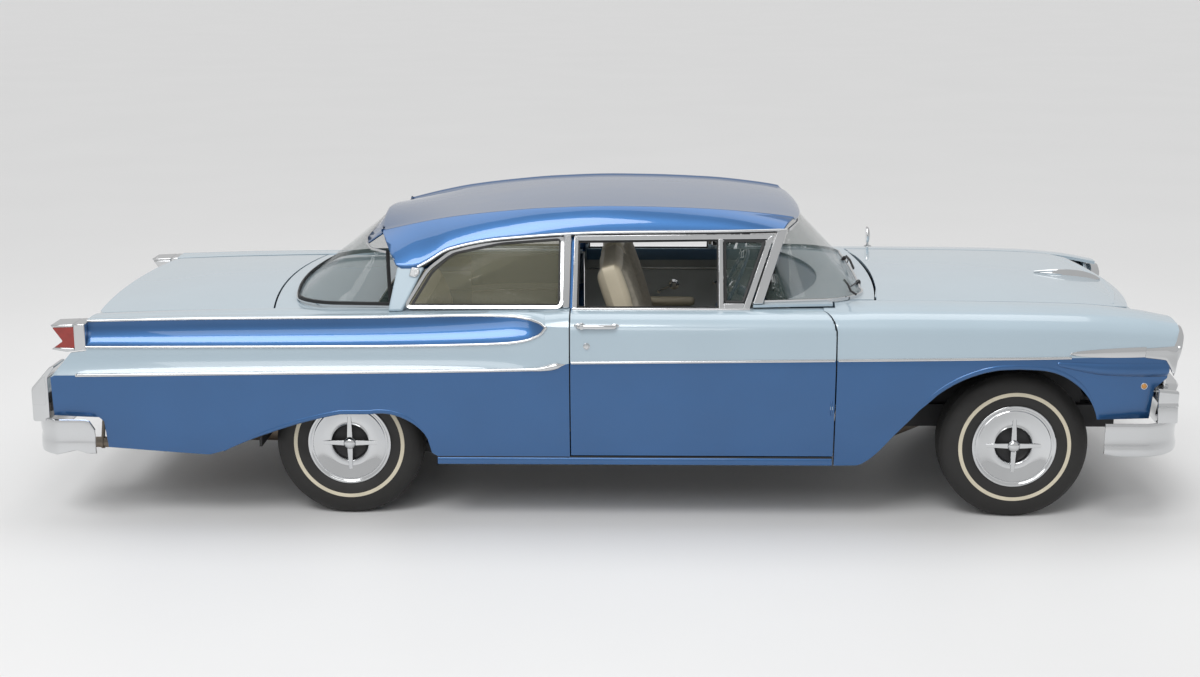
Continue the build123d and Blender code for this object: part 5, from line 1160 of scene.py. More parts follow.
def fitting(x, z, length, turn, sign):
    """A winder or latch handle on a door's inner side, with its round foot and a knob at the arm's end."""
    inner_y = between([(.470, .868), (.700, .868), (.860, .882), (.900, .860)], z)
    place = Vector((x, sign * (inner_y + .001), z))
    way = Vector((0, -sign, 0))
    shape = placed_turn([(0, -.002), (.030, -.002), (.029, .004), (.016, .007), (.012, .018), (0, .019)], place, way)
    swing = Vector((cos(radians(turn)), 0, sin(radians(turn))))
    points = [place + way * .012, place + swing * length * .4 + way * .020, place + swing * length + way * .022]
    merged(shape, swept(points, way, [(-.007, -.003), (-.005, .003), (.005, .003), (.007, -.003)], [1.2, 1, .8]))
    merged(shape, placed_turn([(0, .012), (.010, .012), (.012, .024), (.010, .036), (0, .038)], points[-1] - way * .006,
                              way, 24))
    return shape


# Wheel profiles: radius and distance out from the middle. The tyre's go from one bead round the tread to the other
def tyre_section():
    """The tyre's closed section, with its pale band standing proud and four grooves on each side of the middle."""
    half = [(.184, .074), (.186, .084), (.196, .090), (.214, .0965), (.232, .1005), (.242, .1018), (.2425, .1030),
            (.2595, .1030), (.2600, .1016), (.278, .1000), (.296, .0962), (.312, .0900), (.324, .0825), (.333, .0755),
            (.3395, .0665)]
    tread = [(.3440, .0620), (.3450, .0540), (.3365, .0532), (.3365, .0488), (.3454, .0480), (.3456, .0400),
             (.3370, .0392), (.3370, .0348), (.3458, .0340), (.3459, .0240), (.3372, .0232), (.3372, .0188),
             (.3460, .0180), (.3460, .0090), (.3374, .0082), (.3374, .0038), (.3460, .0030), (.3460, 0)]
    outer = half + tread
    inner = [(.190, -.070), (.230, -.088), (.290, -.085), (.320, -.060), (.3285, 0), (.320, .060), (.290, .085),
             (.230, .088), (.190, .070)]
    return closed(outer + [(r, -y) for r, y in reversed(outer[:-1])] + inner)


RIM = [(.1935, .0835), (.1915, .0855), (.1890, .0840), (.1860, .0760), (.1790, .0740), (.1770, .0560), (.1600, .0480),
       (.1580, .0250), (.1500, .0180), (.0900, .0300), (.0750, .0330), (.0400, .0330), (.0400, .0270), (.0760, .0260),
       (.0900, .0230), (.1460, .0110), (.1520, -.0300), (.1700, -.0500), (.1740, -.0740), (.1800, -.0780),
       (.1880, -.0850), (.1925, -.0850), (.1935, -.0820), (.1850, -.0720), (.1800, -.0700), (.1790, -.0480),
       (.1600, -.0280), (.1590, .0220), (.1640, .0460), (.1795, .0530), (.1810, .0700), (.1880, .0730)]
HUB_CAP = [(.1955, .0860), (.1960, .0900), (.1935, .0935), (.1885, .0945), (.1835, .0930), (.1800, .0890),
           (.1760, .0870), (.1720, .0885), (.1690, .0910), (.1600, .0880), (.1400, .0800), (.1150, .0735),
           (.0960, .0712), (.0920, .0735), (.0895, .0745), (.0870, .0730), (.0850, .0660), (.0830, .0560),
           (.0760, .0500), (.0500, .0500), (.0300, .0520), (.0150, .0525), (0, .0525)]
HUB_BOSS = [(0, .0500), (.0300, .0500), (.0310, .0740), (.0290, .0850), (.0240, .0925), (.0160, .0970), (.0080, .0990),
            (0, .0995)]
tyre_flatten = .1018 / .1030
tread_blocks = 180


def tyre_shape():
    """A tyre with grooved tread, sipes cut into its shoulder blocks and a narrow pale band."""
    shape = turned([(r, y * tyre_flatten) for r, y in tyre_section()], tread_blocks)
    sipes = []
    for face in shape.faces:
        middle = face.calc_center_median()
        r = sqrt(middle.x ** 2 + middle.z ** 2)
        if middle.y > .090 and .2424 < r < .2602:
            face.material_index = 1
        number = round((atan2(middle.z, middle.x) % (2 * pi)) / (2 * pi) * tread_blocks - .5)
        if number % 3 == 0 and r > .3425 and .0545 < abs(middle.y) < .0615:
            sipes.append(face)
    bmesh.ops.inset_individual(shape, faces=sipes, thickness=.0012, depth=-.004)
    return shape


def hub_cap_shape():
    """A hub cap: rolled edge, dish, raised ring and dark recess."""
    inner = [(max(0, r - .0012), y - .0022) for r, y in reversed(HUB_CAP)]
    shape = turned(closed(HUB_CAP + inner), 128)
    for face in shape.faces:
        middle = face.calc_center_median()
        if sqrt(middle.x ** 2 + middle.z ** 2) < .0845:
            face.material_index = 1
    return shape


def spinner_shape():
    """Four tapered arms over the hub cap's recess."""
    shape = bmesh.new()
    for k in range(4):
        verts = bmesh.ops.create_cube(shape, size=1)["verts"]
        for v in verts:
            far = v.co.x > 0
            v.co = Vector((.132 if far else .018, .0760 + (.0065 if v.co.y > 0 else -.0065) * (.35 if far else 1),
                           (.0085 if far else .0130) * (1 if v.co.z > 0 else -1)))
            v.co.y += -.002 if far else .002
            if far and v.co.z > 0:
                v.co.x += .003
        bmesh.ops.rotate(shape, verts=verts, cent=(0, 0, 0), matrix=Matrix.Rotation(k * pi / 2, 3, "Y"))
    return shape


for end, wheel_x, wheel_y in (("front", front_x, front_wheel_y), ("rear", rear_x, rear_wheel_y)):
    for side, sign in SIDES:
        corner = "_%s_%s" % (end, side)
        for name, shape, finishes, slot, nodes, sharp in (
            ("tyre_skin", tyre_shape(), [tyre_rubber, whitewall], "tyre", ["tyre" + corner], 32),
            ("rim_skin", turned(closed(RIM)), mid_paint, "wheel_steel", ["rim" + corner], 40),
            ("hub_cap", hub_cap_shape(), [chrome, black_steel], "chrome", [], 50),
            ("spinner_arms", spinner_shape(), chrome, "chrome", [], 40),
            ("hub_boss", turned(HUB_BOSS, 48), chrome, "chrome", [], 60),
        ):
            placed(shape, wheel_x, sign * wheel_y, sign)
            made = piece(name + corner, shape, finishes, *nodes, slot=slot, body="wheel" + corner, sharp=sharp)
            if name == "spinner_arms":
                bevel(made, .003, 3, 30)


# Bumpers follow one plan curve each; the section is carried round it
def bumper_curve(corner, far, middle, wing_x):
    """The outer plan line of a bumper, from the right wing end round the front to the left one."""
    toward = 1 if middle > 0 else -1
    bend = ((corner + far) / 2 + toward * .022, (half_width + .780) / 2 + .048)
    start, stop = (corner, half_width), (far, .780)
    wing = [(wing_x + (corner - wing_x) * k / 8, half_width) for k in range(9)]
    round_corner = arc(start, bend, stop, 14)
    bow = arc(stop, (middle, 0), (far, -.780), 40)[:21]
    half = joined(wing, round_corner, bow)
    return [(x, -y) for x, y in half] + [(x, y) for x, y in reversed(half[:-1])]


def carried(curve, section, sign=1):
    """A section of out and height points carried round a plan curve."""
    columns = []
    last = len(curve) - 1
    for i, (x, y) in enumerate(curve):
        a, b = Vector(curve[max(i - 1, 0)]), Vector(curve[min(i + 1, last)])
        run = (b - a).normalized()
        out = Vector((run.y, -run.x)) * sign
        ring = section(x, y)
        columns.append([(x + out.x * d, y + out.y * d, z) for d, z in closed(ring)])
    return cap_ends(grid(columns))


front_curve = bumper_curve(front_x + .571, front_x + .752, nose_x, front_x + .375)


def front_section(x, y):
    """Front bumper blade: rolled top, hollow face and lower lip."""
    end = max(0, min(1, (x - (front_x + .375)) / .06)) if abs(y) > .99 else 1
    low = .344 + .012 * (1 - end)
    return [(-.016, .490), (-.012, .498), (-.004, .499), (-.001, .492), (-.0005, .470), (-.006, .450), (-.0075, .425),
            (-.006, .400), (-.0005, .378), (-.001, low + .008), (-.006, low), (-.014, low + .002), (-.012, low + .010),
            (-.0075, .376), (-.010, .400), (-.0115, .425), (-.010, .450), (-.0035, .478)]


piece("front_bumper_blade", carried(front_curve, front_section), chrome, "front_bumper", sharp=40)


# Front guards: a hollow pod on each side, wrapped round the corner above the blade
def on_bumper(y):
    """The bumper's outer x at a distance from the middle."""
    points = sorted({round(abs(b), 5): a for a, b in front_curve if abs(b) < .98}.items())
    return between(points, abs(y))


guard_start, guard_end = .412, .9535
for side, sign in SIDES:
    columns = []
    for j in range(33):
        y = guard_start + (guard_end - guard_start) * j / 32
        x = on_bumper(y) - .001
        top = between([(.410, .560), (.425, .640), (.470, .652), (.880, .656), (.945, .600), (.955, .520)], y)
        crease = (top + .4985) / 2
        ring = [(x - .055, .4985), (x - .008, .4985), (x - .003, .510), (x - .012, crease - .010), (x - .002, crease),
                (x - .012, crease + .012), (x - .004, top - .012), (x - .012, top - .001), (x - .060, top),
                (x - .060, top - .004), (x - .016, top - .006), (x - .017, crease), (x - .012, .503), (x - .055, .503)]
        columns.append([(a, sign * y, z) for a, z in closed(ring)])
    piece("front_guard_" + side, cap_ends(grid(columns)), chrome, sharp=35)
    # The guard's side wing behind the corner
    columns = []
    for j in range(13):
        t = j / 12
        x = 2.500 + .090 * t
        y = .9950 - .004 * t
        low, top = .5005, .655 - .010 * t
        ring = [(y - .030, low), (y - .004, low), (y, low + .012), (y - .008, .570), (y, .580), (y - .008, .592),
                (y - .002, top - .010), (y - .008, top), (y - .032, top), (y - .032, top - .005),
                (y - .012, top - .006), (y - .013, .580), (y - .008, low + .004), (y - .030, low + .004)]
        columns.append([(x, sign * a, z) for a, z in closed(ring)])
    piece("front_guard_wing_" + side, cap_ends(grid(columns)), chrome, sharp=35)

# Front centre bar under the grille, and the two bolts on each wing
columns = []
for j in range(25):
    y = -.411 + .822 * j / 24
    x = on_bumper(y) - .004
    ring = [(x - .040, .507), (x - .006, .507), (x, .516), (x - .004, .538), (x, .558), (x - .008, .567),
            (x - .040, .567)]
    columns.append([(a, y, z) for a, z in closed(ring)])
piece("front_centre_bar", cap_ends(grid(columns)), chrome, sharp=35)
shape = bmesh.new()
for sign in (-1, 1):
    for x in (2.318, 2.378):
        made = bmesh.ops.create_uvsphere(shape, u_segments=20, v_segments=10, radius=.013)
        bmesh.ops.scale(shape, verts=made["verts"], vec=(1, .35, 1))
        bmesh.ops.translate(shape, verts=made["verts"], vec=(x, sign * (half_width - .0055), .372))
piece("bumper_bolts", shape, chrome, sharp=60)

# Rear bumper: blade, wavy lower pods on the wings, and the upright fins under the lamps
rear_curve = bumper_curve(rear_x - 1.335, rear_x - 1.445, -nose_x, rear_x - 1.150)
WAVE = [(-2.360, .336), (-2.400, .335), (-2.450, .352), (-2.500, .340), (-2.545, .3305), (-2.700, .3305)]


def rear_section(x, y):
    """Rear bumper: full height, with a rounded front corner and a wavy foot on the wings."""
    low = between(WAVE, x) if abs(y) > .95 else .3305
    reach = max(0, min(1, (-2.360 - x) / .05)) if abs(y) > .95 else 1
    top = .500 - .045 * (1 - sqrt(1 - (1 - reach) ** 2))
    return [(-.016, top - .006), (-.010, top - .0005), (-.003, top - .004), (-.0005, top - .020), (-.002, .440),
            (-.007, .415), (-.002, .392), (-.0005, low + .020), (-.003, low + .004), (-.010, low), (-.016, low + .004),
            (-.011, low + .016), (-.008, .392), (-.012, .415), (-.008, .440), (-.008, top - .018)]


piece("rear_bumper_blade", carried(rear_curve, rear_section, -1), chrome, "rear_bumper", sharp=40)

for side, sign in SIDES:
    # Upright fin: rises from the blade and leans forward under the lamp
    outline = smooth_loop([(-2.654, .482), (-2.654, .637), (-2.562, .741), (-2.539, .741), (-2.577, .690),
                           (-2.577, .482)], .012, 4)
    shape = bmesh.new()
    slab(shape, [(x, sign * .8015, z) for x, z in outline], (0, sign * .165, 0))
    bevel(piece("rear_fin_" + side, shape, chrome, sharp=40), .012, 4, 40)
    shape = bmesh.new()
    outline = smooth_loop([(-2.650, .560), (-2.650, .632), (-2.590, .700), (-2.585, .640), (-2.590, .560)], .01, 3)
    slab(shape, [(x, sign * .963, z) for x, z in outline], (0, sign * .005, 0))
    bevel(piece("rear_fin_crest_" + side, shape, chrome, sharp=40), .002, 2, 40)

# Plate holder between the fins, left blank
shape = bmesh.new()
made = bmesh.ops.create_cube(shape, size=1)
bmesh.ops.scale(shape, verts=made["verts"], vec=(.003, .216, .118))
bmesh.ops.translate(shape, verts=made["verts"], vec=(-2.6665, 0, .501))
bmesh.ops.inset_region(shape, faces=[f for f in shape.faces if f.normal.x < -.9], thickness=.006, depth=-.001)
bevel(piece("plate_holder", shape, dull_metal, slot="chrome", sharp=40), .001, 2)

# Headlamps: a domed glass and a bezel ring whose rim leans back below
lamp_y, lamp_z = hood_half + .100, .812


def headlamp_ring(profile, sign):
    """A turned part of a headlamp at its place, from points of radius and x."""
    shape = turned(profile, 72)
    bmesh.ops.rotate(shape, verts=shape.verts, cent=(0, 0, 0), matrix=Matrix.Rotation(-pi / 2, 3, "Z"))
    bmesh.ops.translate(shape, verts=shape.verts, vec=(0, sign * lamp_y, lamp_z))
    return shape


LAMP_LENS = [(.0905, 2.5200), (.0905, 2.5560), (.0880, 2.5640), (.0740, 2.5760), (.0560, 2.5850), (.0340, 2.5910),
             (.0150, 2.5928), (0, 2.5930), (0, 2.520)]
BEZEL = [(.0930, .570), (.0926, .630), (.0940, .700), (.0985, .736), (.1025, .737), (.1036, .728), (.1038, .640),
         (.1038, .600), (.1036, .583)]
lamps, bezels = bmesh.new(), bmesh.new()
for side, sign in SIDES:
    merged(lamps, headlamp_ring(closed(LAMP_LENS), sign))
    ring = headlamp_ring([(r, front_x + x) for r, x in closed(BEZEL)], sign)
    for v in ring.verts:
        reach = (v.co.x - (front_x + .600)) / .137
        if reach > 0:
            v.co.x -= .036 * reach * max(0, (lamp_z + .07 - v.co.z) / .17)
    merged(bezels, ring)
piece("headlamp_glass", lamps, lamp_glass, "headlamps", sharp=50)
piece("headlamp_bezel_rings", bezels, chrome, "headlamp_bezels", sharp=50)

# Window frames of the doors, their vent panes and seals
FRAME_BARS = [
    [(.653, .990), (.774, 1.312), (.739, 1.290), (.622, .990)],
    [(.774, 1.312), (-.155, 1.304), (-.135, 1.282), (.739, 1.290)],
    [(-.155, 1.304), (-.161, .990), (-.139, .990), (-.135, 1.282)],
    [(.513, .990), (.535, .990), (.535, 1.290), (.513, 1.290)],
    [(.535, .990), (.622, .990), (.631, 1.014), (.535, 1.014)],
]
leaning_bars("window_frame", FRAME_BARS, (-.010, .010), chrome, "door_SIDE", soft=.003, segments=3)
VENT_LIGHT = [(.5365, 1.0155), (.6295, 1.0155), (.7365, 1.2885), (.5365, 1.2885)]
frame_strip("vent_seal", VENT_LIGHT, [(-.013, -.005), (-.013, .005), (-.002, .008), (-.001, -.006)], rubber, .012,
            "door_SIDE")
for side, sign in SIDES:
    shape = bmesh.new()
    shape.faces.new([shape.verts.new(lean_point(x, z, sign)) for x, z in smooth_loop(VENT_LIGHT, .012)])
    wall(piece("vent_glass_pane_" + side, shape, window_glass, "vent_glass_" + side, body="door_" + side), .004, 0)
MAIN_LIGHT = [(-.138, .992), (.512, .992), (.512, 1.289), (-.134, 1.281)]
frame_strip("glass_channel", MAIN_LIGHT, [(-.006, -.006), (-.006, -.003), (.002, -.003), (.002, -.006)], rubber, .010,
            "door_SIDE")

for side, sign in SIDES:
    door = "door_" + side
    # Bright strip and rubber wiper where the glass drops into the door
    xs = stations(-.158, .655, 24)
    path = [(x, sign * .8535, belt_z + .0005) for x in xs]
    piece("belt_strip_" + side, swept(path, (0, sign * .35, 1), half_round(.014, .009)), chrome, body=door)
    xs = stations(-.136, .512, 12)
    path = [(x, sign * .822, belt_z + .001) for x in xs]
    piece("glass_wiper_" + side, swept(path, (0, 0, 1), flat_band(.012, .008)), rubber, slot="chrome", body=door)

    # Pull handle with its feet, push button and key lock
    run = [(-.139, .966, .35), (-.1365, .974, .75), (-.130, .982, .95), (-.118, .9865, 1), (-.045, .9885, 1),
           (.028, .9865, 1), (.040, .982, .95), (.0465, .974, .75), (.049, .966, .35)]
    path = [(x, sign * y, .9385) for x, y, size in run]
    oval = [(.0105 * a, .0062 * b) for a, b in round_bar(1, 16)]
    shape = swept(path, (0, sign, 0), oval, [size for x, y, size in run])
    piece("pull_handle_" + side, shape, chrome, body=door, sharp=50)
    shape = bmesh.new()
    for x, radius, height, tall in ((-.1125, .0125, .9385, .9935), (-.0905, .0125, .848, .9875)):
        foot_y = width_at(front_side(x), height) - .004
        rings = [(0, foot_y), (radius * 1.25, foot_y), (radius * 1.22, foot_y + .0055), (radius, foot_y + .0070),
                 (radius, tall - .0030), (radius * .86, tall), (radius * .5, tall + .0006), (0, tall + .0008)]
        merged(shape, placed(turned(rings, 32), x, 0, sign, height))
    for x in (-.128, .038):
        made = bmesh.ops.create_uvsphere(shape, u_segments=24, v_segments=12, radius=.017)
        foot_y = width_at(front_side(x), .9385)
        bmesh.ops.scale(shape, verts=made["verts"], vec=(1.15, .30, .75))
        bmesh.ops.translate(shape, verts=made["verts"], vec=(x, sign * foot_y, .9385))
    piece("door_button_" + side, shape, chrome, body=door, sharp=45)

    # Inner trim: dark top band, bright line, armrest, window winder and latch handle
    xs = stations(-.150, 1.000, 24)
    band = [(.7985, .9915), (.7985, .9440), (.8055, .9300), (.8090, .9300), (.8090, .9915)]
    columns = [[(x, sign * y, min(z, corner_z(x) - .0005)) for y, z in closed(band)] for x in xs]
    piece("door_top_band_" + side, cap_ends(grid(columns)), dash_paint, body=door, sharp=40)
    for name, height, depth in (("upper", .872, .8735), ("lower", .470, .8675)):
        path = [(x, sign * depth, height) for x in stations(-.140, .990, 16)]
        piece("door_trim_line_%s_%s" % (name, side), swept(path, (0, -sign, 0), half_round(.012, .005)), chrome,
              body=door)
    run = [(.080, .3), (.086, .8), (.100, 1), (.240, 1.05), (.420, 1), (.436, .8), (.443, .3)]
    path = [(x, sign * .846, .690) for x, size in run]
    pad = [(.026 * a, .030 * b) for a, b in round_bar(1, 20)]
    rest = piece("armrest_" + side, swept(path, (0, -sign, 0), pad, [size for x, size in run]), cream_vinyl, body=door,
                 sharp=60)
    shape = merged(fitting(.330, .780, .090, 200, sign), fitting(.620, .800, .070, 180, sign))
    piece("inner_handles_" + side, shape, chrome, body=door, sharp=45)

# Bullet below each headlamp, the bright dart behind the pod and the pod's own bright sheath
lamp_hole, panel_reach = .1055, .152
for side, sign in SIDES:
    run = [(2.036, .7735, .0015), (2.038, .7730, .006), (2.043, .7720, .0105), (2.052, .7700, .0145),
           (2.095, .7640, .020), (2.160, .7560, .028), (2.230, .7490, .0345), (2.290, .7460, .0380),
           (2.360, .7440, .0400), (2.450, .7420, .0415), (2.515, .7420, .0420), (2.535, .7420, .0400),
           (2.545, .7420, .0340), (2.549, .7420, .0240)]
    columns = []
    for x, z, r in run:
        y = min(width_at(front_side(x), .752) + .013 * min(1, r / .035), 1.003) - r
        columns.append([(x, sign * (y + a), z + b) for a, b in closed(round_bar(r, 32))])
    piece("fender_bullet_" + side, cap_ends(grid(columns)), mid_paint, slot="mid_blue_paint", sharp=50)
    columns = []
    for x in stations(2.092, 2.438, 40, 2.094, 2.097, 2.101, 2.108):
        reach = (x - 2.092) / .346
        tall = .046 * (1 - (1 - reach) ** 2) ** .5 + .0006
        middle = .818 + .006 * reach
        low, high = middle - tall / 2, middle + tall / 2
        outer, inner = [], []
        for k in range(9):
            z = low + (high - low) * k / 8
            rise = .0055 * sin(pi * min(1, max(0, .08 + .84 * k / 8)))
            y = width_at(front_side(x), z)
            outer.append((y + .0008 + rise, z))
            inner.append((y - .003, z))
        columns.append([(x, sign * y, z) for y, z in closed(outer + inner[::-1])])
    piece("pod_dart_" + side, cap_ends(grid(columns)), chrome, sharp=50)
    columns = []
    for x in stations(2.436, 2.594, 30):
        reach = (x - 2.436) / .158
        low, high = .796 - .013 * min(1, reach / .6), .842 + .006 * reach
        if x > 2.532:
            low = .783 - (x - 2.532) * 1.795
        if x > 2.576:
            low = .704 + (x - 2.576) * 7.6
        outer, inner = [], []
        for k in range(15):
            z = low + (high - low) * k / 14
            edge = min(k, 14 - k) / 14
            y = width_at(front_side(x), z)
            outer.append((y + .0012 + .0065 * min(1, edge * 5) ** .5, z))
            inner.append((y - .004, z))
        columns.append([(x, sign * y, z) for y, z in closed(outer + inner[::-1])])
    piece("pod_sheath_" + side, cap_ends(grid(columns)), chrome, sharp=50)
    # Panel between the fender, the lamp and the grille, dished toward the lamp
    columns = []
    for k in range(65):
        turn = 2 * pi * k / 64
        cy, cz = cos(turn), sin(turn)
        reach_y = (.128 if cy > 0 else .088) / max(abs(cy), 1e-6)
        reach_z = (.118 if cz > 0 else .110) / max(abs(cz), 1e-6)
        far = min(reach_y, reach_z, panel_reach)
        ring = []
        for t in (0, .15, .4, .7, 1):
            r = lamp_hole + (far - lamp_hole) * t
            ring.append((2.560 - .036 * (1 - (1 - t) ** 2) + .016 * t * t, sign * (lamp_y + r * cy), lamp_z + r * cz))
        columns.append(ring)
    wall(piece("lamp_panel_" + side, grid(columns), light_paint, sharp=50), .003, 1)
    # Small marker lamp under the bullet
    y = width_at(front_side(2.440), .664)
    shape = turned([(0, y - .006), (.0165, y - .006), (.0165, y + .002), (.0150, y + .0045), (.0125, y + .0045),
                    (.0125, y + .0030), (0, y + .0030)], 32)
    glass_dome = turned([(0, y + .0020), (.0122, y + .0020), (.0118, y + .0050), (.0085, y + .0078), (.0040, y + .0088),
                         (0, y + .0090)], 32)
    for face in glass_dome.faces:
        face.material_index = 1
    merged(shape, glass_dome)
    placed(shape, 2.440, 0, sign, .664)
    piece("marker_lamp_" + side, shape, [chrome, amber_lens], sharp=45)
    # Inner apron beside the engine, with its shelf over the wheel
    section = [(.400, .4405), (.400, .874), (.406, .880), (.925, .880), (.925, .872), (.414, .870), (.408, .862),
               (.408, .4405)]
    piece("engine_apron_" + side, along_car(section, stations(1.330, 2.288, 24), sign), black_steel, sharp=40)

# Wipers on the cowl
shape = bmesh.new()
for sign in (-1, 1):
    pivot = Vector((1.205, sign * .330, 1.020))
    merged(shape, placed_turn([(0, -.008), (.013, -.008), (.013, .004), (.009, .012), (.004, .016), (0, .017)], pivot,
                              (.35, 0, 1)))
    tip = Vector((1.176, sign * .330 - .300, 1.056))
    tip.x = 1.190 if abs(tip.y) < .45 else 1.130
    path = [pivot + Vector((0, 0, .010)), pivot.lerp(tip, .3) + Vector((.010, 0, .014)),
            pivot.lerp(tip, .7) + Vector((.010, 0, .008)), tip]
    merged(shape, swept(path, (.5, 0, 1), round_bar(.0035, 8), [1.3, 1, .9, .8]))
    blade = [tip + Vector((.012 if abs(tip.y + sign * d) < .5 else -.006, d, .012 * (1 - abs(d) / .19)))
             for d in (-.180, -.120, -.060, 0, .060, .120, .180)]
    merged(shape, swept(blade, (.6, 0, 1), [(-.003, -.004), (-.0025, .006), (.0025, .006), (.003, -.004)]))
piece("wipers", shape, black_steel, sharp=45)

# Round mirror on a short stem on the left fender
shape = placed_turn([(0, -.0105), (.0445, -.0105), (.0458, -.0085), (.0460, -.0040), (.0420, .0030), (.0300, .0080),
                     (.0150, .0105), (0, .0112)], (1.389, .860, 1.060), (1, 0, 0))
for face in shape.faces:
    if face.calc_center_median().x < 1.3790:
        face.material_index = 1
merged(shape, placed_turn([(0, .9985), (.0205, .9985), (.0195, 1.0020), (.0110, 1.0050), (.0060, 1.0090),
                           (.0050, 1.0220), (.0056, 1.0290), (0, 1.0300)], (1.389, .860, 0), (0, 0, 1)))
piece("mirror_head", shape, [chrome, mirror_glass], "mirror", sharp=45)

# Ornament on the hood's nose
columns = []
for k in range(31):
    t = k / 30
    x = 2.120 + .330 * t
    base = eased(HOOD_Z[1], x)
    tall = .034 * sin(pi * min(1, .06 + t * .92)) ** .6 * (.45 + .55 * t) + .004
    wide = .010 * sin(pi * min(1, .04 + t * .94)) ** .5 + .001
    ring = [(-wide, -.003), (-wide * 1.1, .004), (-wide * .45, tall * .45), (-wide * .5, tall * .8), (0, tall),
            (wide * .5, tall * .8), (wide * .45, tall * .45), (wide * 1.1, .004), (wide, -.003)]
    columns.append([(x, y, base + z) for y, z in closed(ring)])
piece("hood_ornament", cap_ends(grid(columns)), chrome, body="hood", sharp=50)

# Painted sleeves over the lower door hinges' pins
SLEEVE = [(0, 0), (.0036, 0), (.0046, .001), (.0046, .068), (.0036, .069), (0, .069)]
shape = gathered(placed_turn(SLEEVE, (door_front_x - .014, sign * .971, .5255), (0, 0, 1), 24) for sign in (-1, 1))
piece("hinge_sleeves", shape, mid_paint, sharp=50)

# Grille: header, bright surround, level bars and upright teeth
grille_half = lamp_y - .092 - .012 - .0003
grille_x = 2.490
GRILLE_LOOP = [(-grille_half, .700), (-grille_half, .872), (grille_half, .872), (grille_half, .700),
               (grille_half - .060, .500), (.060 - grille_half, .500)]
loop = smooth_loop(GRILLE_LOOP, .040, 6)
loop.append(loop[0])
section = [(0, 0), (0, .0155), (.0030, .0190), (.0180, .0190), (.0225, .0150), (.0240, .0060), (.0240, 0)]
middle = Vector((0, .690))
columns = []
for i, (y, z) in enumerate(loop):
    a, b = Vector(loop[i - 1 if i else -2]), Vector(loop[i + 1 if i < len(loop) - 1 else 1])
    run = (b - a).normalized()
    inward = Vector((-run.y, run.x))
    if inward.dot(middle - Vector((y, z))) < 0:
        inward = -inward
    ring = [Vector((grille_x + out, y + inward.x * aside, z + inward.y * aside)) for aside, out in section]
    columns.append(closed(ring))
piece("grille_surround", grid(columns), chrome, "grille", sharp=40)
shape = bmesh.new()
for index in range(5):
    z = .5745 + index * .0564
    reach = grille_half - .012 if z > .712 else grille_half - .072 + (z - .500) * .28
    path = [(grille_x + .009, y, z) for y in stations(-reach, reach, 40)]
    merged(shape, swept(path, (1, 0, 0), half_round(.011, .010, .006)))
piece("grille_bars", shape, chrome, sharp=45)
tooth = [(-.004, 0), (-.0032, .0058), (.0032, .0058), (.004, 0)]
shape = gathered(swept([(grille_x + .006, index * .092, z) for z in stations(.510, .862, 12)], (1, 0, 0), tooth)
                 for index in range(-6, 7))
piece("grille_teeth", shape, dull_metal, slot="chrome", sharp=45)
columns = []
for j in range(49):
    share = -1 + 2 * j / 48
    y = share * grille_half
    near = hood_front_x + .0103 + .130 * (1 - share * share)
    far = grille_x + .019 + .0357 * (1 - share * share)
    ring = [(near, .8625), (near, .8872), (far - .010, .8872), (far - .003, .8845), (far, .877), (far - .001, .870),
            (far - .006, .8635), (far - .012, .8625)]
    columns.append([(x, y, z) for x, z in closed(ring)])
piece("grille_header", cap_ends(grid(columns)), light_paint, sharp=40)

# Tail lamps: a notched red lens that wraps round the fin's end, in a bright bezel
lens_top, lens_low = .9225, .8240
lens_inner, lens_wide = .8120, .1275
LENS = [(-2.4475, lens_low), (-2.4475, lens_top), (-2.5460, .9195), (-2.5010, .8555), (-2.5420, .8270)]
for side, sign in SIDES:
    outline = smooth_loop(LENS, .006, 3)
    shape = bmesh.new()
    slab(shape, [(x, sign * lens_inner, z) for x, z in outline], (0, sign * lens_wide, 0))
    upright = [e for e in shape.edges if abs(e.verts[0].co.y - e.verts[1].co.y) > .1]
    bmesh.ops.subdivide_edges(shape, edges=upright, cuts=11)
    for v in shape.verts:
        number = round(abs(abs(v.co.y) - lens_inner) / lens_wide * 12)
        if 0 < number < 12 and number % 2 and v.co.x < -2.46:
            v.co.x += .0035
    bevel(piece("tail_lens_" + side, shape, red_lens, "tail_lamps", sharp=50), .004, 3, 50)
    shape = bmesh.new()
    inner, outer = .8010, .9435
    blocks = ([(-2.3957, .8165), (-2.3957, .9375), (-2.4480, .9360), (-2.4480, .8110)],
              [(-2.4480, .9225), (-2.4480, .9360), (-2.5535, .9315), (-2.5460, .9195)],
              [(-2.4480, .8110), (-2.4480, .8240), (-2.5420, .8270), (-2.5555, .8175), (-2.4850, .8065)])
    for corners in blocks:
        slab(shape, [(x, sign * inner, z) for x, z in corners], (0, sign * (outer - inner), 0))
    back_plate = [(-2.4480, .8240), (-2.4480, .9225), (-2.5460, .9195), (-2.5020, .8555), (-2.5420, .8270)]
    slab(shape, [(x, sign * inner, z) for x, z in back_plate], (0, sign * .010, 0))
    bevel(piece("tail_bezel_" + side, shape, chrome, "tail_lamp_bezels", sharp=40), .0045, 3, 40)

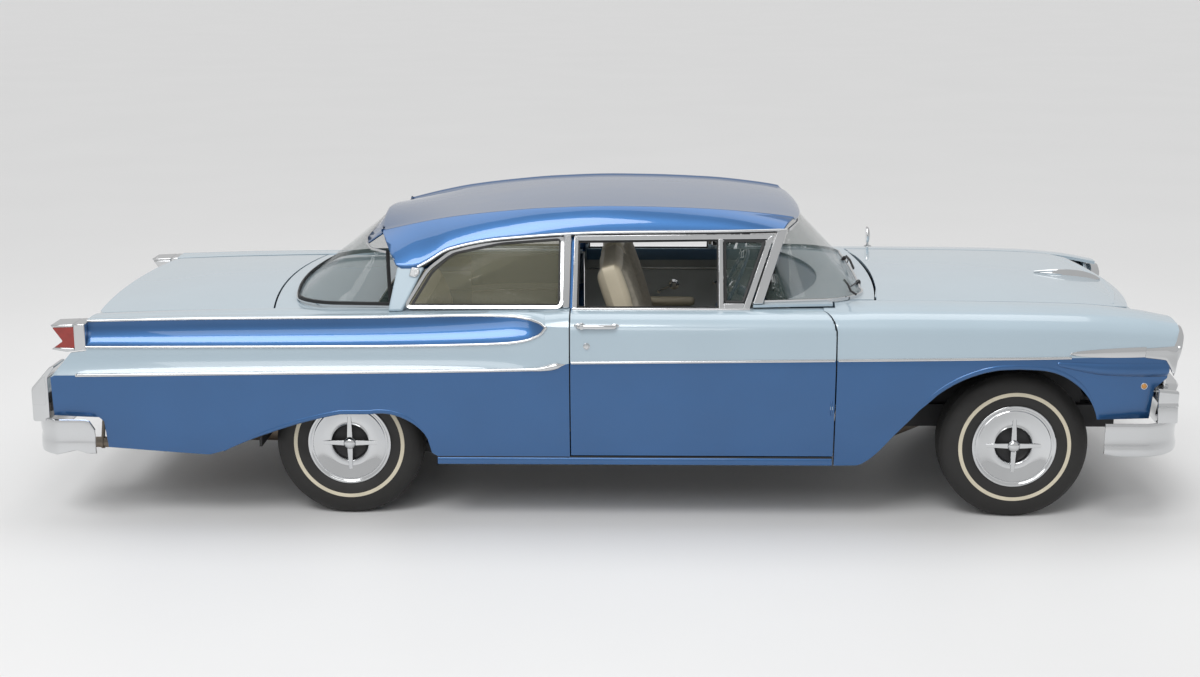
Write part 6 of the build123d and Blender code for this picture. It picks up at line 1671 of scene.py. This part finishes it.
# Tail panel under the deck lid, bowed like it, with a pressed edge
columns = []
for j in range(49):
    share = -1 + 2 * j / 48
    y = share * .872
    bow = .040 * max(0, 1 - (y / .688) ** 2)
    x = -2.4395 - bow
    ring = [(x - .0005, .5045), (x - .0025, .510), (x - .0025, .560), (x + .0010, .572), (x + .0010, .620),
            (x - .0025, .632), (x - .0025, .668), (x, .676), (x + .011, .680), (x + .0115, .676), (x + .008, .5045)]
    columns.append([(a, y, z) for a, z in closed(ring)])
piece("tail_panel_skin", cap_ends(grid(columns)), light_paint, "tail_panel", sharp=40)
section = [(-2.4255, .505), (-2.4255, .519), (-2.4365, .519), (-2.4365, .505)]
piece("tail_floor_edge", across_car(section, stations(-.598, .598, 8)), black_steel, sharp=40)

# Corner panels beside the deck lid's back, closing the fins' ends down to the tail panel
crown = sorted(inset(quarter_outline(-2.390), .012)[-8:])
for side, sign in SIDES:
    columns = []
    for j in range(8):
        y = deck_half + .006 + (.803 - deck_half - .006) * j / 7
        columns.append([(-2.3925 - .044 * max(0, (.810 - z) / .126), sign * y, z)
                        for z in stations(.684, between(crown, y), 14)])
    wall(piece("tail_corner_" + side, grid(columns), light_paint, sharp=50), .003, 1)

# Filler below each headlamp, behind the bumper's pod
for side, sign in SIDES:
    columns = []
    for z in stations(.560, .728, 10):
        far = width_at(front_side(2.470), z) - .014
        columns.append([(2.480 + .020 * (z - .560) / .168, sign * (.702 + (far - .702) * k / 8), z) for k in range(9)])
    wall(piece("lamp_filler_" + side, grid(columns), mid_paint, sharp=50), .003, 1)


# Seats: sprung bench cushions with sewn channels, swelled as cloth over their filling
cover_shrink, most_swell, seam_depth, pleat_rise = .010, .022, .013, .004


def inflate(made, cap):
    """Lets the cover swell under pressure, keeps each point near its start, and applies the result."""
    starts = [v.co.copy() for v in made.data.vertices]
    cloth = made.modifiers.new("cover", "CLOTH")
    cloth.settings.use_pressure = True
    cloth.settings.uniform_pressure_force = 4
    cloth.settings.effector_weights.gravity = 0
    for number in range(1, 21):
        bpy.context.scene.frame_set(number)
    graph = bpy.context.evaluated_depsgraph_get()
    swelled = [v.co.copy() for v in made.evaluated_get(graph).data.vertices]
    made.modifiers.remove(cloth)
    bpy.context.scene.frame_set(1)
    for vertex, start, end in zip(made.data.vertices, starts, swelled):
        move = end - start
        vertex.co = start + move * min(1, cap / max(move.length, 1e-9))


def cushion(name, start, angle, length, thick, low_y, high_y, pitch, node, turned_over=False):
    """A cushion laid along an angle from its corner line, thick square to it, its outer face sewn in channels."""
    border = 2
    cell = pitch / 3
    rows = round(length / .024)
    across = round((high_y - low_y) / cell / 3) * 3
    shape = bmesh.new()
    bmesh.ops.create_grid(shape, x_segments=rows, y_segments=across, size=.5)
    made = bmesh.ops.extrude_face_region(shape, geom=shape.faces[:])
    bmesh.ops.translate(shape, verts=new_verts(made), vec=(0, 0, 1))
    upright = [e for e in shape.edges if abs(e.verts[0].co.z - e.verts[1].co.z) > .5]
    bmesh.ops.subdivide_edges(shape, edges=upright, cuts=4)
    for face in shape.faces:
        centre = face.calc_center_median()
        inside = abs(centre.x) < .5 - border / rows and abs(centre.y) < .5 - border / across
        face.material_index = 1 if centre.z > .99 and inside else 0
    along = Vector((cos(angle), 0, sin(angle)))
    out = Vector((-sin(angle), 0, cos(angle))) * (-1 if turned_over else 1)
    seams, pleats = [], []
    for v in shape.verts:
        u, w, t = v.co.x + .5, v.co.y + .5, v.co.z
        i, j = round(u * rows), round(w * across)
        on_top = t > .99 and border <= i <= rows - border and border <= j <= across - border
        if on_top and (j % 3 == 0 or i in (border, rows - border) or j in (border, across - border)):
            seams.append(v)
        elif on_top:
            pleats.append(v)
        edge = min(u, 1 - u) * length, min(w, 1 - w) * (high_y - low_y)
        round_off = .022 * max(0, 1 - min(edge) / .05) ** 2
        deep = cover_shrink + (thick - 2 * cover_shrink) * t
        middle_u, middle_w = 1 - (2 * u - 1) ** 2, 1 - (2 * w - 1) ** 2
        deep += .014 * middle_u * middle_w ** .5 - round_off if t > .99 else round_off if t < .01 else 0
        u, w = .5 + (u - .5) * (1 - .016 * middle_w), .5 + (w - .5) * (1 - .010 * middle_u)
        v.co = (Vector((start[0], 0, start[1])) + along * (cover_shrink + (length - 2 * cover_shrink) * u) + out * deep
                + Vector((0, low_y + cover_shrink + (high_y - low_y - 2 * cover_shrink) * w, 0)))
    shape.verts.index_update()
    seam_numbers, pleat_numbers = [v.index for v in seams], [v.index for v in pleats]
    bmesh.ops.recalc_face_normals(shape, faces=shape.faces)
    made = piece(name, shape, [cream_vinyl, seat_cloth], node, sharp=80)
    inflate(made, most_swell)
    for number in seam_numbers:
        made.data.vertices[number].co -= out * seam_depth
    for number in pleat_numbers:
        made.data.vertices[number].co += out * pleat_rise
    for polygon in made.data.polygons:
        polygon.use_smooth = True
    smooth = made.modifiers.new("rounding", "SUBSURF")
    smooth.levels = smooth.render_levels = 1


cushion("front_seat_cushion", (.165, .462), radians(5), .510, .150, -.636, .636, .075, "front_seat")
for side, sign in SIDES:
    low, high = sorted((sign * .006, sign * .636))
    cushion("front_seat_back_" + side, (.119, .565), radians(107.5), .625, .118, low, high, .070, "front_seat",
            turned_over=True)
    # Painted shield at the seat's end
    outline = smooth_loop([(.170, .380), (.600, .380), (.655, .470), (.640, .500), (.200, .486), (.150, .440)], .03, 4)
    shape = bmesh.new()
    slab(shape, [(x, sign * .618, z) for x, z in outline], (0, sign * .016, 0))
    bevel(piece("seat_shield_" + side, shape, dash_paint, sharp=40), .004, 2)
cushion("rear_seat_cushion", (-.800, .566), radians(4), .310, .105, -.590, .590, .075, "rear_seat")
cushion("rear_seat_back", (-.954, .579), radians(105), .360, .120, -.590, .590, .075, "rear_seat", turned_over=True)
section = [(.190, .376), (.590, .376), (.630, .462), (.190, .462)]
bevel(piece("seat_frame", across_car(section, stations(-.610, .610, 10)), black_steel, sharp=40), .008)

# Carpet over the floor, up the toe board and over the tunnel
columns = []
for x in stations(-.614, 1.118, 90):
    z = between([(-.62, .3725), (.989, .3725), (1.125, .600)], x)
    column = []
    for j in range(61):
        y = -.695 + 1.39 * j / 60
        hump = .050 * max(0, 1 - (y / .150) ** 2) ** 1.5
        if x <= -.2:
            hump *= max(0, (x + .614) / .414)
        column.append((x, y, z + .002 + hump))
    columns.append(column)
floor_carpet = piece("carpet", grid(columns), carpet, sharp=60)
wall(floor_carpet, .006, 1)

# Dashboard: a rolled pad, a painted face, the instrument housing and its fittings
DASH = [(1.118, .9620), (1.118, .9985), (.912, .9985), (.880, .9955), (.860, .9860), (.851, .9720), (.852, .9560),
        (.862, .9440), (.868, .9280), (.866, .8900), (.862, .8500), (.864, .8200), (.872, .8020), (.888, .7960),
        (.902, .8040), (.908, .8300), (.906, .9350)]
columns = [[(x, y, z) for x, z in closed(DASH)] for y in stations(-.698, .698, 40)]
shape = cap_ends(grid(columns, finish_at=lambda i, j: 1 if 6 <= j <= 13 else 0))
piece("dash_panel", shape, [dash_paint, light_paint], "dashboard", sharp=50)
path = [(.8605, y, .9400) for y in stations(-.690, .690, 20)]
piece("dash_trim_line", swept(path, (-1, 0, 0), half_round(.010, .005)), chrome)
shape = bmesh.new()
made = bmesh.ops.create_circle(shape, cap_ends=True, cap_tris=False, segments=64, radius=1)
for v in made["verts"]:
    v.co = Vector((.8660, .380 + .185 * v.co.x, .887 + .046 * (abs(v.co.y) ** .8) * (1 if v.co.y > 0 else -1)))
made = bmesh.ops.extrude_face_region(shape, geom=shape.faces[:])
bmesh.ops.translate(shape, verts=new_verts(made), vec=(-.026, 0, 0))
face = min(shape.faces, key=lambda f: f.calc_center_median().x)
bmesh.ops.inset_region(shape, faces=[face], thickness=.006)
bmesh.ops.inset_region(shape, faces=[face], thickness=.002, depth=-.014)
face.material_index = 1
bevel(piece("instrument_housing", shape, [chrome, black_steel], sharp=40), .002, 2)
for number, (y, radius) in enumerate(((.500, .030), (.440, .022), (.380, .034), (.320, .022), (.262, .030))):
    dial = placed_turn([(0, -.002), (radius, -.002), (radius, .004), (radius * .95, .006), (radius * .90, .004),
                        (radius * .88, .001), (0, .001)], (.8530, y, .887), (-1, 0, 0), 40)
    for face in dial.faces:
        middle = face.calc_center_median()
        if (Vector((0, middle.y - y, middle.z - .887))).length < radius * .86:
            face.material_index = 1
    ticks = bmesh.new()
    for k in range(9):
        turn = radians(-30 + 240 * k / 8)
        tick = bmesh.ops.create_cube(ticks, size=1)["verts"]
        for v in tick:
            v.co = Vector((v.co.x * .0008, v.co.y * .0012, v.co.z * radius * .16 + radius * .72))
        bmesh.ops.rotate(ticks, verts=tick, cent=(0, 0, 0), matrix=Matrix.Rotation(turn - pi / 2, 3, "X"))
    needle = bmesh.ops.create_cone(ticks, cap_ends=True, segments=6, radius1=.0016, radius2=.0004, depth=radius * .8)
    bmesh.ops.translate(ticks, verts=needle["verts"], vec=(0, 0, radius * .35))
    bmesh.ops.rotate(ticks, verts=needle["verts"], cent=(0, 0, 0), matrix=Matrix.Rotation(radians(40), 3, "X"))
    bmesh.ops.translate(ticks, verts=ticks.verts, vec=(.8515, y, .887))
    for face in ticks.faces:
        face.material_index = 2
    merged(dial, ticks)
    piece("dial_%d" % number, dial, [chrome, dial_white, red_lens], sharp=45)
KNOB = [(0, -.010), (.006, -.010), (.006, .004), (.012, .008), (.0135, .014), (.0125, .021), (.008, .024), (0, .0245)]
KNOB_PLACES = ((.600, .870), (.600, .905), (.165, .860), (.080, .900), (-.080, .900), (.040, .840), (-.040, .840))
shape = gathered(placed_turn(KNOB, (.8680, y, z), (-1, 0, 0), 28) for y, z in KNOB_PLACES)
piece("dash_knobs", shape, chrome, sharp=45)
shape = gathered(swept([(.8640, -.060 + .012 * k, z) for z in (.860, .868, .890, .898)], (-1, 0, 0),
                       half_round(.004, .003, .006)) for k in range(11))
piece("dash_speaker_bars", shape, chrome, sharp=45)
shape = bmesh.new()
outline = smooth_loop([(-.560, .822), (-.220, .822), (-.220, .920), (-.560, .920)], .016, 4)
slab(shape, [(.8690, y, z) for y, z in outline], (-.010, 0, 0))
bevel(piece("glove_box_lid", shape, dash_paint, sharp=40), .002, 2)
shape = placed_turn([(0, -.004), (.011, -.004), (.011, .003), (.008, .006), (0, .0065)], (.8590, -.390, .905),
                    (-1, 0, 0), 28)
piece("glove_box_button", shape, chrome, sharp=45)

# Steering wheel: rim with finger grips, dished spokes, horn ring and button; and the column
wheel_centre = Vector((.620, .380, .868))
column_foot = Vector((1.104, .380, .640))
facing = (wheel_centre - column_foot).normalized()
level_way = Vector((0, 1, 0))
up_way = facing.cross(level_way)


def on_wheel(radius, turn, out=0.0):
    """A point at a radius and turn on the steering wheel's face, some way toward the driver."""
    return wheel_centre + (level_way * cos(turn) + up_way * sin(turn)) * radius + facing * out


def ring_at(radius, out, section, waves=0, count=96):
    """A closed ring on the wheel's face with a section carried round it, waved for finger grips."""
    columns = []
    for k in range(count + 1):
        turn = 2 * pi * k / count
        aside = level_way * cos(turn) + up_way * sin(turn)
        centre = on_wheel(radius, turn, out)
        swell = 1 + .10 * cos(waves * turn) if waves else 1
        ring = [centre + aside * a * swell + facing * b * swell for a, b in section]
        columns.append(closed(ring))
    return grid(columns)


piece("wheel_rim", ring_at(.205, 0, round_bar(.0095, 16), 48, 192), dash_paint, "steering_wheel", slot="wheel_plastic",
      body="steering_wheel", sharp=60)
shape = ring_at(.118, -.010, round_bar(.0040, 10))
piece("horn_ring", shape, chrome, body="steering_wheel", sharp=60)
shape = bmesh.new()
for turn in (0, pi):
    path = [on_wheel(r, turn + bend, out) for r, bend, out in ((.024, 0, -.022), (.070, 0, -.018), (.130, .02, -.010),
                                                               (.200, .03, -.002))]
    merged(shape, swept(path, facing, [(-.017, -.004), (-.012, .005), (.012, .005), (.017, -.004)], [1.1, 1, .8, .6]))
piece("wheel_spokes", shape, dash_paint, slot="wheel_plastic", body="steering_wheel", sharp=40)
shape = placed_turn([(0, -.026), (.034, -.026), (.036, -.018), (.036, -.008), (.030, .000), (.022, .006), (.018, .007),
                     (.010, .011), (0, .012)], wheel_centre, facing, 48)
piece("horn_button", shape, chrome, body="steering_wheel", sharp=45)
reach = (wheel_centre - column_foot).length
shape = placed_turn([(0, 0), (.022, 0), (.022, reach - .150), (.026, reach - .140), (.028, reach - .060),
                     (.024, reach - .045), (.012, reach - .041), (0, reach - .040)], column_foot, facing, 40)
merged(shape, placed_turn([(0, reach - .042), (.0078, reach - .042), (.0078, reach - .012), (0, reach - .012)],
                          column_foot, facing, 24))
stalk = [column_foot + facing * (reach - .075), column_foot + facing * (reach - .070) + Vector((0, .050, .006)),
         column_foot + facing * (reach - .060) + Vector((0, .120, .012))]
merged(shape, swept(stalk, (0, 0, 1), round_bar(.0045, 10), [1, .9, 1.1]))
hanger = [(-.008, 0), (.008, 0), (.008, .004), (-.008, .004)]
path = [(.880, .380, .738), (.878, .380, .770), (.876, .380, .796)]
merged(shape, swept(path, (-1, 0, 0), [(a * 2.2, b * 2) for a, b in hanger]))
piece("column_tube", shape, dash_paint, "steering_column", slot="wheel_plastic", sharp=45)

# Pedals on their arms, in front of the toe board
PEDALS = ((.440, .980, .500, .034, .030), (.330, .985, .500, .034, .030), (.235, 1.010, .470, .022, .055))
shape = bmesh.new()
for y, x, z, wide, tall in PEDALS:
    pad = bmesh.ops.create_cube(shape, size=1)["verts"]
    for v in pad:
        v.co = Vector((v.co.x * .012, v.co.y * 2 * wide, v.co.z * 2 * tall))
    bmesh.ops.rotate(shape, verts=pad, cent=(0, 0, 0), matrix=Matrix.Rotation(radians(-30), 3, "Y"))
    bmesh.ops.translate(shape, verts=pad, vec=(x, y, z))
bevel(piece("pedal_pads", shape, rubber, sharp=40), .004, 2)
shape = gathered(swept([(x + .006, y, z), (x + .050, y, z + .060), (x + .105, y, z + .220), (1.122, y, z + .240)],
                       (0, 1, 0), round_bar(.006)) for y, x, z, *size in PEDALS)
piece("pedal_arms", shape, black_steel, sharp=45)

# Trim panels beside the rear seat, under the quarter glass
SIDE_TRIM = [(-.212, .840), (-.300, .842), (-.420, .842), (-.540, .838), (-.640, .822), (-.720, .796), (-.780, .764)]
for side, sign in SIDES:
    columns = []
    for x, y in SIDE_TRIM:
        columns.append([(x, sign * (y - .006 * sin(pi * (z - .380) / .60)), z) for z in stations(.380, .980, 16)])
    shape = grid(columns, finish_at=lambda i, j: 1 if j > 10 else 0)
    wall(piece("rear_side_trim_" + side, shape, [trim_grey, dash_paint], sharp=60), .004, 1)
    path = [(x, sign * (y - .009), .760) for x, y in ((-.215, .840), (-.420, .842), (-.640, .822), (-.775, .766))]
    piece("rear_side_trim_line_" + side, swept(path, (0, -sign, 0), half_round(.008, .004)), chrome)

# Engine: block, heads under ribbed covers, air cleaner, fan and belts, and the gearbox behind
BLOCKS = ((1.332, 2.076, .150, .236, .470, .700), (1.340, 2.068, .236, .236, .700, .780),
          (1.360, 2.050, .120, .120, .392, .470), (1.390, 2.020, .130, .130, .780, .830))
shape = gathered(along_car([(-half0, z0), (half0, z0), (half1, z1), (-half1, z1)], stations(x0, x1, 6))
                 for x0, x1, half0, half1, z0, z1 in BLOCKS)
bevel(piece("engine_block", shape, engine_paint, "engine", sharp=40), .010, 2)
shape = bmesh.new()
for sign in (-1, 1):
    columns = []
    for x in stations(1.380, 2.030, 34, 1.384, 1.390, 2.020, 2.026):
        rib = .004 if 1.395 < x < 2.015 and round((x - 1.380) / .0195) % 2 else 0
        end = .62 if x < 1.381 or x > 2.029 else .88 if x < 1.385 or x > 2.025 else 1
        ring = [(-.050, 0), (-.050, .012), (-.040, .030 + rib), (-.020, .044 + rib), (0, .048 + rib),
                (.020, .044 + rib), (.040, .030 + rib), (.050, .012), (.050, 0)]
        turn = sign * -.55
        column = []
        for a, b in closed(ring):
            a, b = a * end, b * end
            column.append((x, sign * .176 + a * cos(turn) - b * sin(turn), .784 + a * sin(turn) + b * cos(turn)))
        columns.append(column)
    merged(shape, cap_ends(grid(columns)))
piece("rocker_covers", shape, dull_metal, sharp=40)
shape = placed_turn([(0, -.020), (.100, -.020), (.138, -.012), (.146, .000), (.146, .020), (.138, .030), (.120, .032),
                     (.112, .040), (.040, .044), (.014, .046), (.013, .050), (0, .050)], (1.690, 0, .836),
                    (0, 0, 1), 56)
snout = [(1.800, .020, .820), (1.880, .060, .822), (1.930, .090, .822)]
merged(shape, swept(snout, (0, 0, 1), round_bar(.030, 18), [1, 1, 1.15]))
piece("air_cleaner", shape, dash_paint, slot="dark_steel", sharp=45)
PULLEY = [(0, 0), (.9, 0), (1, .003), (.86, .012), (1, .021), (.9, .024), (.3, .024), (.3, .030), (0, .030)]
shape = gathered(placed_turn([(radius * r, x) for r, x in PULLEY], (2.078, y, z), (1, 0, 0), 40)
                 for z, y, radius in ((.505, 0, .075), (.690, 0, .066), (.700, -.170, .036)))
piece("engine_pulleys", shape, black_steel, sharp=45)
shape = placed_turn([(0, .024), (.030, .024), (.032, .060), (.026, .066), (0, .068)], (2.078, 0, .690), (1, 0, 0), 32)
for index in range(4):
    turn = pi / 2 * index + .4
    radial, aside = Vector((0, cos(turn), sin(turn))), Vector((0, -sin(turn), cos(turn)))
    path = [Vector((2.130, 0, .690)) + radial * r for r in (.024, .090, .150, .205)]
    tilt = (Vector((1, 0, 0)) * .80 + aside * .60).normalized()
    merged(shape, swept(path, tilt, [(-.026, -.0012), (-.026, .0012), (.026, .0012), (.026, -.0012)],
                        [.6, 1, 1.3, 1.4]))
piece("cooling_fan", shape, dull_metal, sharp=40)
BELT = [(0, .505 - .076), (.076, .500), (.067, .690), (0, .690 + .067), (-.200, .728), (-.204, .690), (-.076, .500)]
belt = [Vector((2.090, y, z)) for y, z in BELT]
middle = Vector((2.090, -.060, .600))
shape = swept(closed(belt), [(p - middle).normalized() for p in closed(belt)],
              [(-.006, -.004), (-.005, .004), (.005, .004), (.006, -.004)])
piece("fan_belt", shape, rubber, sharp=50)
shape = placed_turn([(0, 0), (.050, 0), (.056, .006), (.056, .100), (.048, .110), (0, .112)], (1.956, -.170, .700),
                    (1, 0, 0), 32)
piece("generator", shape, black_steel, sharp=45)
HOSES = ([(2.055, 0, .802), (2.150, .010, .812), (2.240, .020, .812), (2.372, .020, .800)],
         [(2.070, .110, .560), (2.150, .140, .530), (2.260, .150, .500), (2.372, .150, .480)])
shape = gathered(swept(run, (0, 0, 1), round_bar(.019, 14)) for run in HOSES)
piece("radiator_hoses", shape, rubber, sharp=60)
gear = [(.842, .060), (.850, .074), (1.060, .078), (1.075, .092), (1.180, .094), (1.215, .098), (1.300, .170),
        (1.331, .188)]
columns = [[(x, radius * y, .492 + min(radius, .098) * z) for y, z in closed(round_bar(1, 32))] for x, radius in gear]
piece("gearbox_case", cap_ends(grid(columns)), dull_metal, sharp=40)

# Radiator: tanks and tube core
shape = gathered(across_car([(x0, z0), (x1, z0), (x1, z1), (x0, z1)], ys) for x0, x1, z0, z1, ys in (
    (2.373, 2.425, .422, .500, stations(-.288, .288, 6)), (2.373, 2.425, .790, .848, stations(-.288, .288, 6)),
    (2.376, 2.422, .498, .792, (-.288, -.268)), (2.376, 2.422, .498, .792, (.268, .288))))
bevel(piece("radiator_tanks", shape, black_steel, "radiator", sharp=40), .005, 2)
fins = [.503 + index * .0069 for index in range(42)]
tubes = [-.252 + index * .0265 for index in range(20)]
tube = [(-.0015, -.012), (-.0015, .012), (.0015, .012), (.0015, -.012)]
shape = gathered([across_car([(2.384, z), (2.414, z + .0004), (2.414, z + .0022), (2.384, z + .0018)], (-.267, .267))
                  for z in fins] + [swept([(2.399, y, .499), (2.399, y, .791)], (1, 0, 0), tube) for y in tubes])
piece("radiator_core", shape, dull_metal, sharp=40)

# Camera at the photograph's place
yaw, pitch, roll = radians(-1.61), radians(12.58), radians(-0.19)
focal, photo_width = 1816.7, 1200
camera_place = (0.197, -9.016, 2.679)
forward = Vector((sin(yaw) * cos(pitch), cos(yaw) * cos(pitch), -sin(pitch)))
level = Vector((cos(yaw), -sin(yaw), 0))
upward = level.cross(forward)
right = level * cos(roll) + upward * sin(roll)
upward = upward * cos(roll) - level * sin(roll)
view = bpy.data.cameras.new("view")
view.sensor_width = 36
view.lens = focal / photo_width * view.sensor_width
view.clip_end = 400
camera = bpy.data.objects.new("view", view)
camera.matrix_world = Matrix([(*row, place) for *row, place in zip(right, upward, -forward, camera_place)]
                             + [(0, 0, 0, 1)])
bpy.context.scene.collection.objects.link(camera)
bpy.context.scene.camera = camera

# Floor, world and lamps
shape = bmesh.new()
bmesh.ops.create_grid(shape, x_segments=2, y_segments=2, size=150)
mesh = bpy.data.meshes.new("floor")
shape.to_mesh(mesh)
shape.free()
floor = bpy.data.objects.new("floor", mesh)
bpy.context.scene.collection.objects.link(floor)
floor_paint = material("floor", (0.78, 0.78, 0.78), 0.5, cloud=0.6, spread=0.01, bump=0)
floor.data.materials.append(floor_paint)

world = bpy.data.worlds.new("studio")
bpy.context.scene.world = world
world.use_nodes = True
nodes, links = world.node_tree.nodes, world.node_tree.links
background = nodes["Background"]
path = nodes.new("ShaderNodeLightPath")
seen = nodes.new("ShaderNodeMath")
seen.operation = "MAXIMUM"
links.new(path.outputs["Is Camera Ray"], seen.inputs[0])
links.new(path.outputs["Is Transmission Ray"], seen.inputs[1])
strength = nodes.new("ShaderNodeMapRange")
strength.inputs["To Min"].default_value = 0.62
strength.inputs["To Max"].default_value = 1.0
links.new(seen.outputs[0], strength.inputs["Value"])
links.new(strength.outputs["Result"], background.inputs["Strength"])
background.inputs["Color"].default_value = (1, 1, 1, 1)


def softbox(name, place, target, size, size_y, power):
    """A wide area lamp aimed at a point."""
    lamp = bpy.data.lights.new(name, "AREA")
    lamp.shape = "RECTANGLE"
    lamp.size = size
    lamp.size_y = size_y
    lamp.energy = power
    made = bpy.data.objects.new(name, lamp)
    made.location = place
    made.rotation_euler = (Vector(target) - Vector(place)).to_track_quat("-Z", "Y").to_euler()
    bpy.context.scene.collection.objects.link(made)


softbox("overhead", (0, 0.5, 5.2), (0, 0, 0), 7, 3, 110)
softbox("near_side", (-1.5, -6.5, 4.2), (0, 0, .6), 5, 2, 70)
sun = bpy.data.lights.new("sun", "SUN")
sun.energy = 1.1
sun.angle = radians(25)
made = bpy.data.objects.new("sun", sun)
made.rotation_euler = (radians(32), radians(-14), 0)
bpy.context.scene.collection.objects.link(made)

bpy.context.scene.view_settings.view_transform = "Standard"
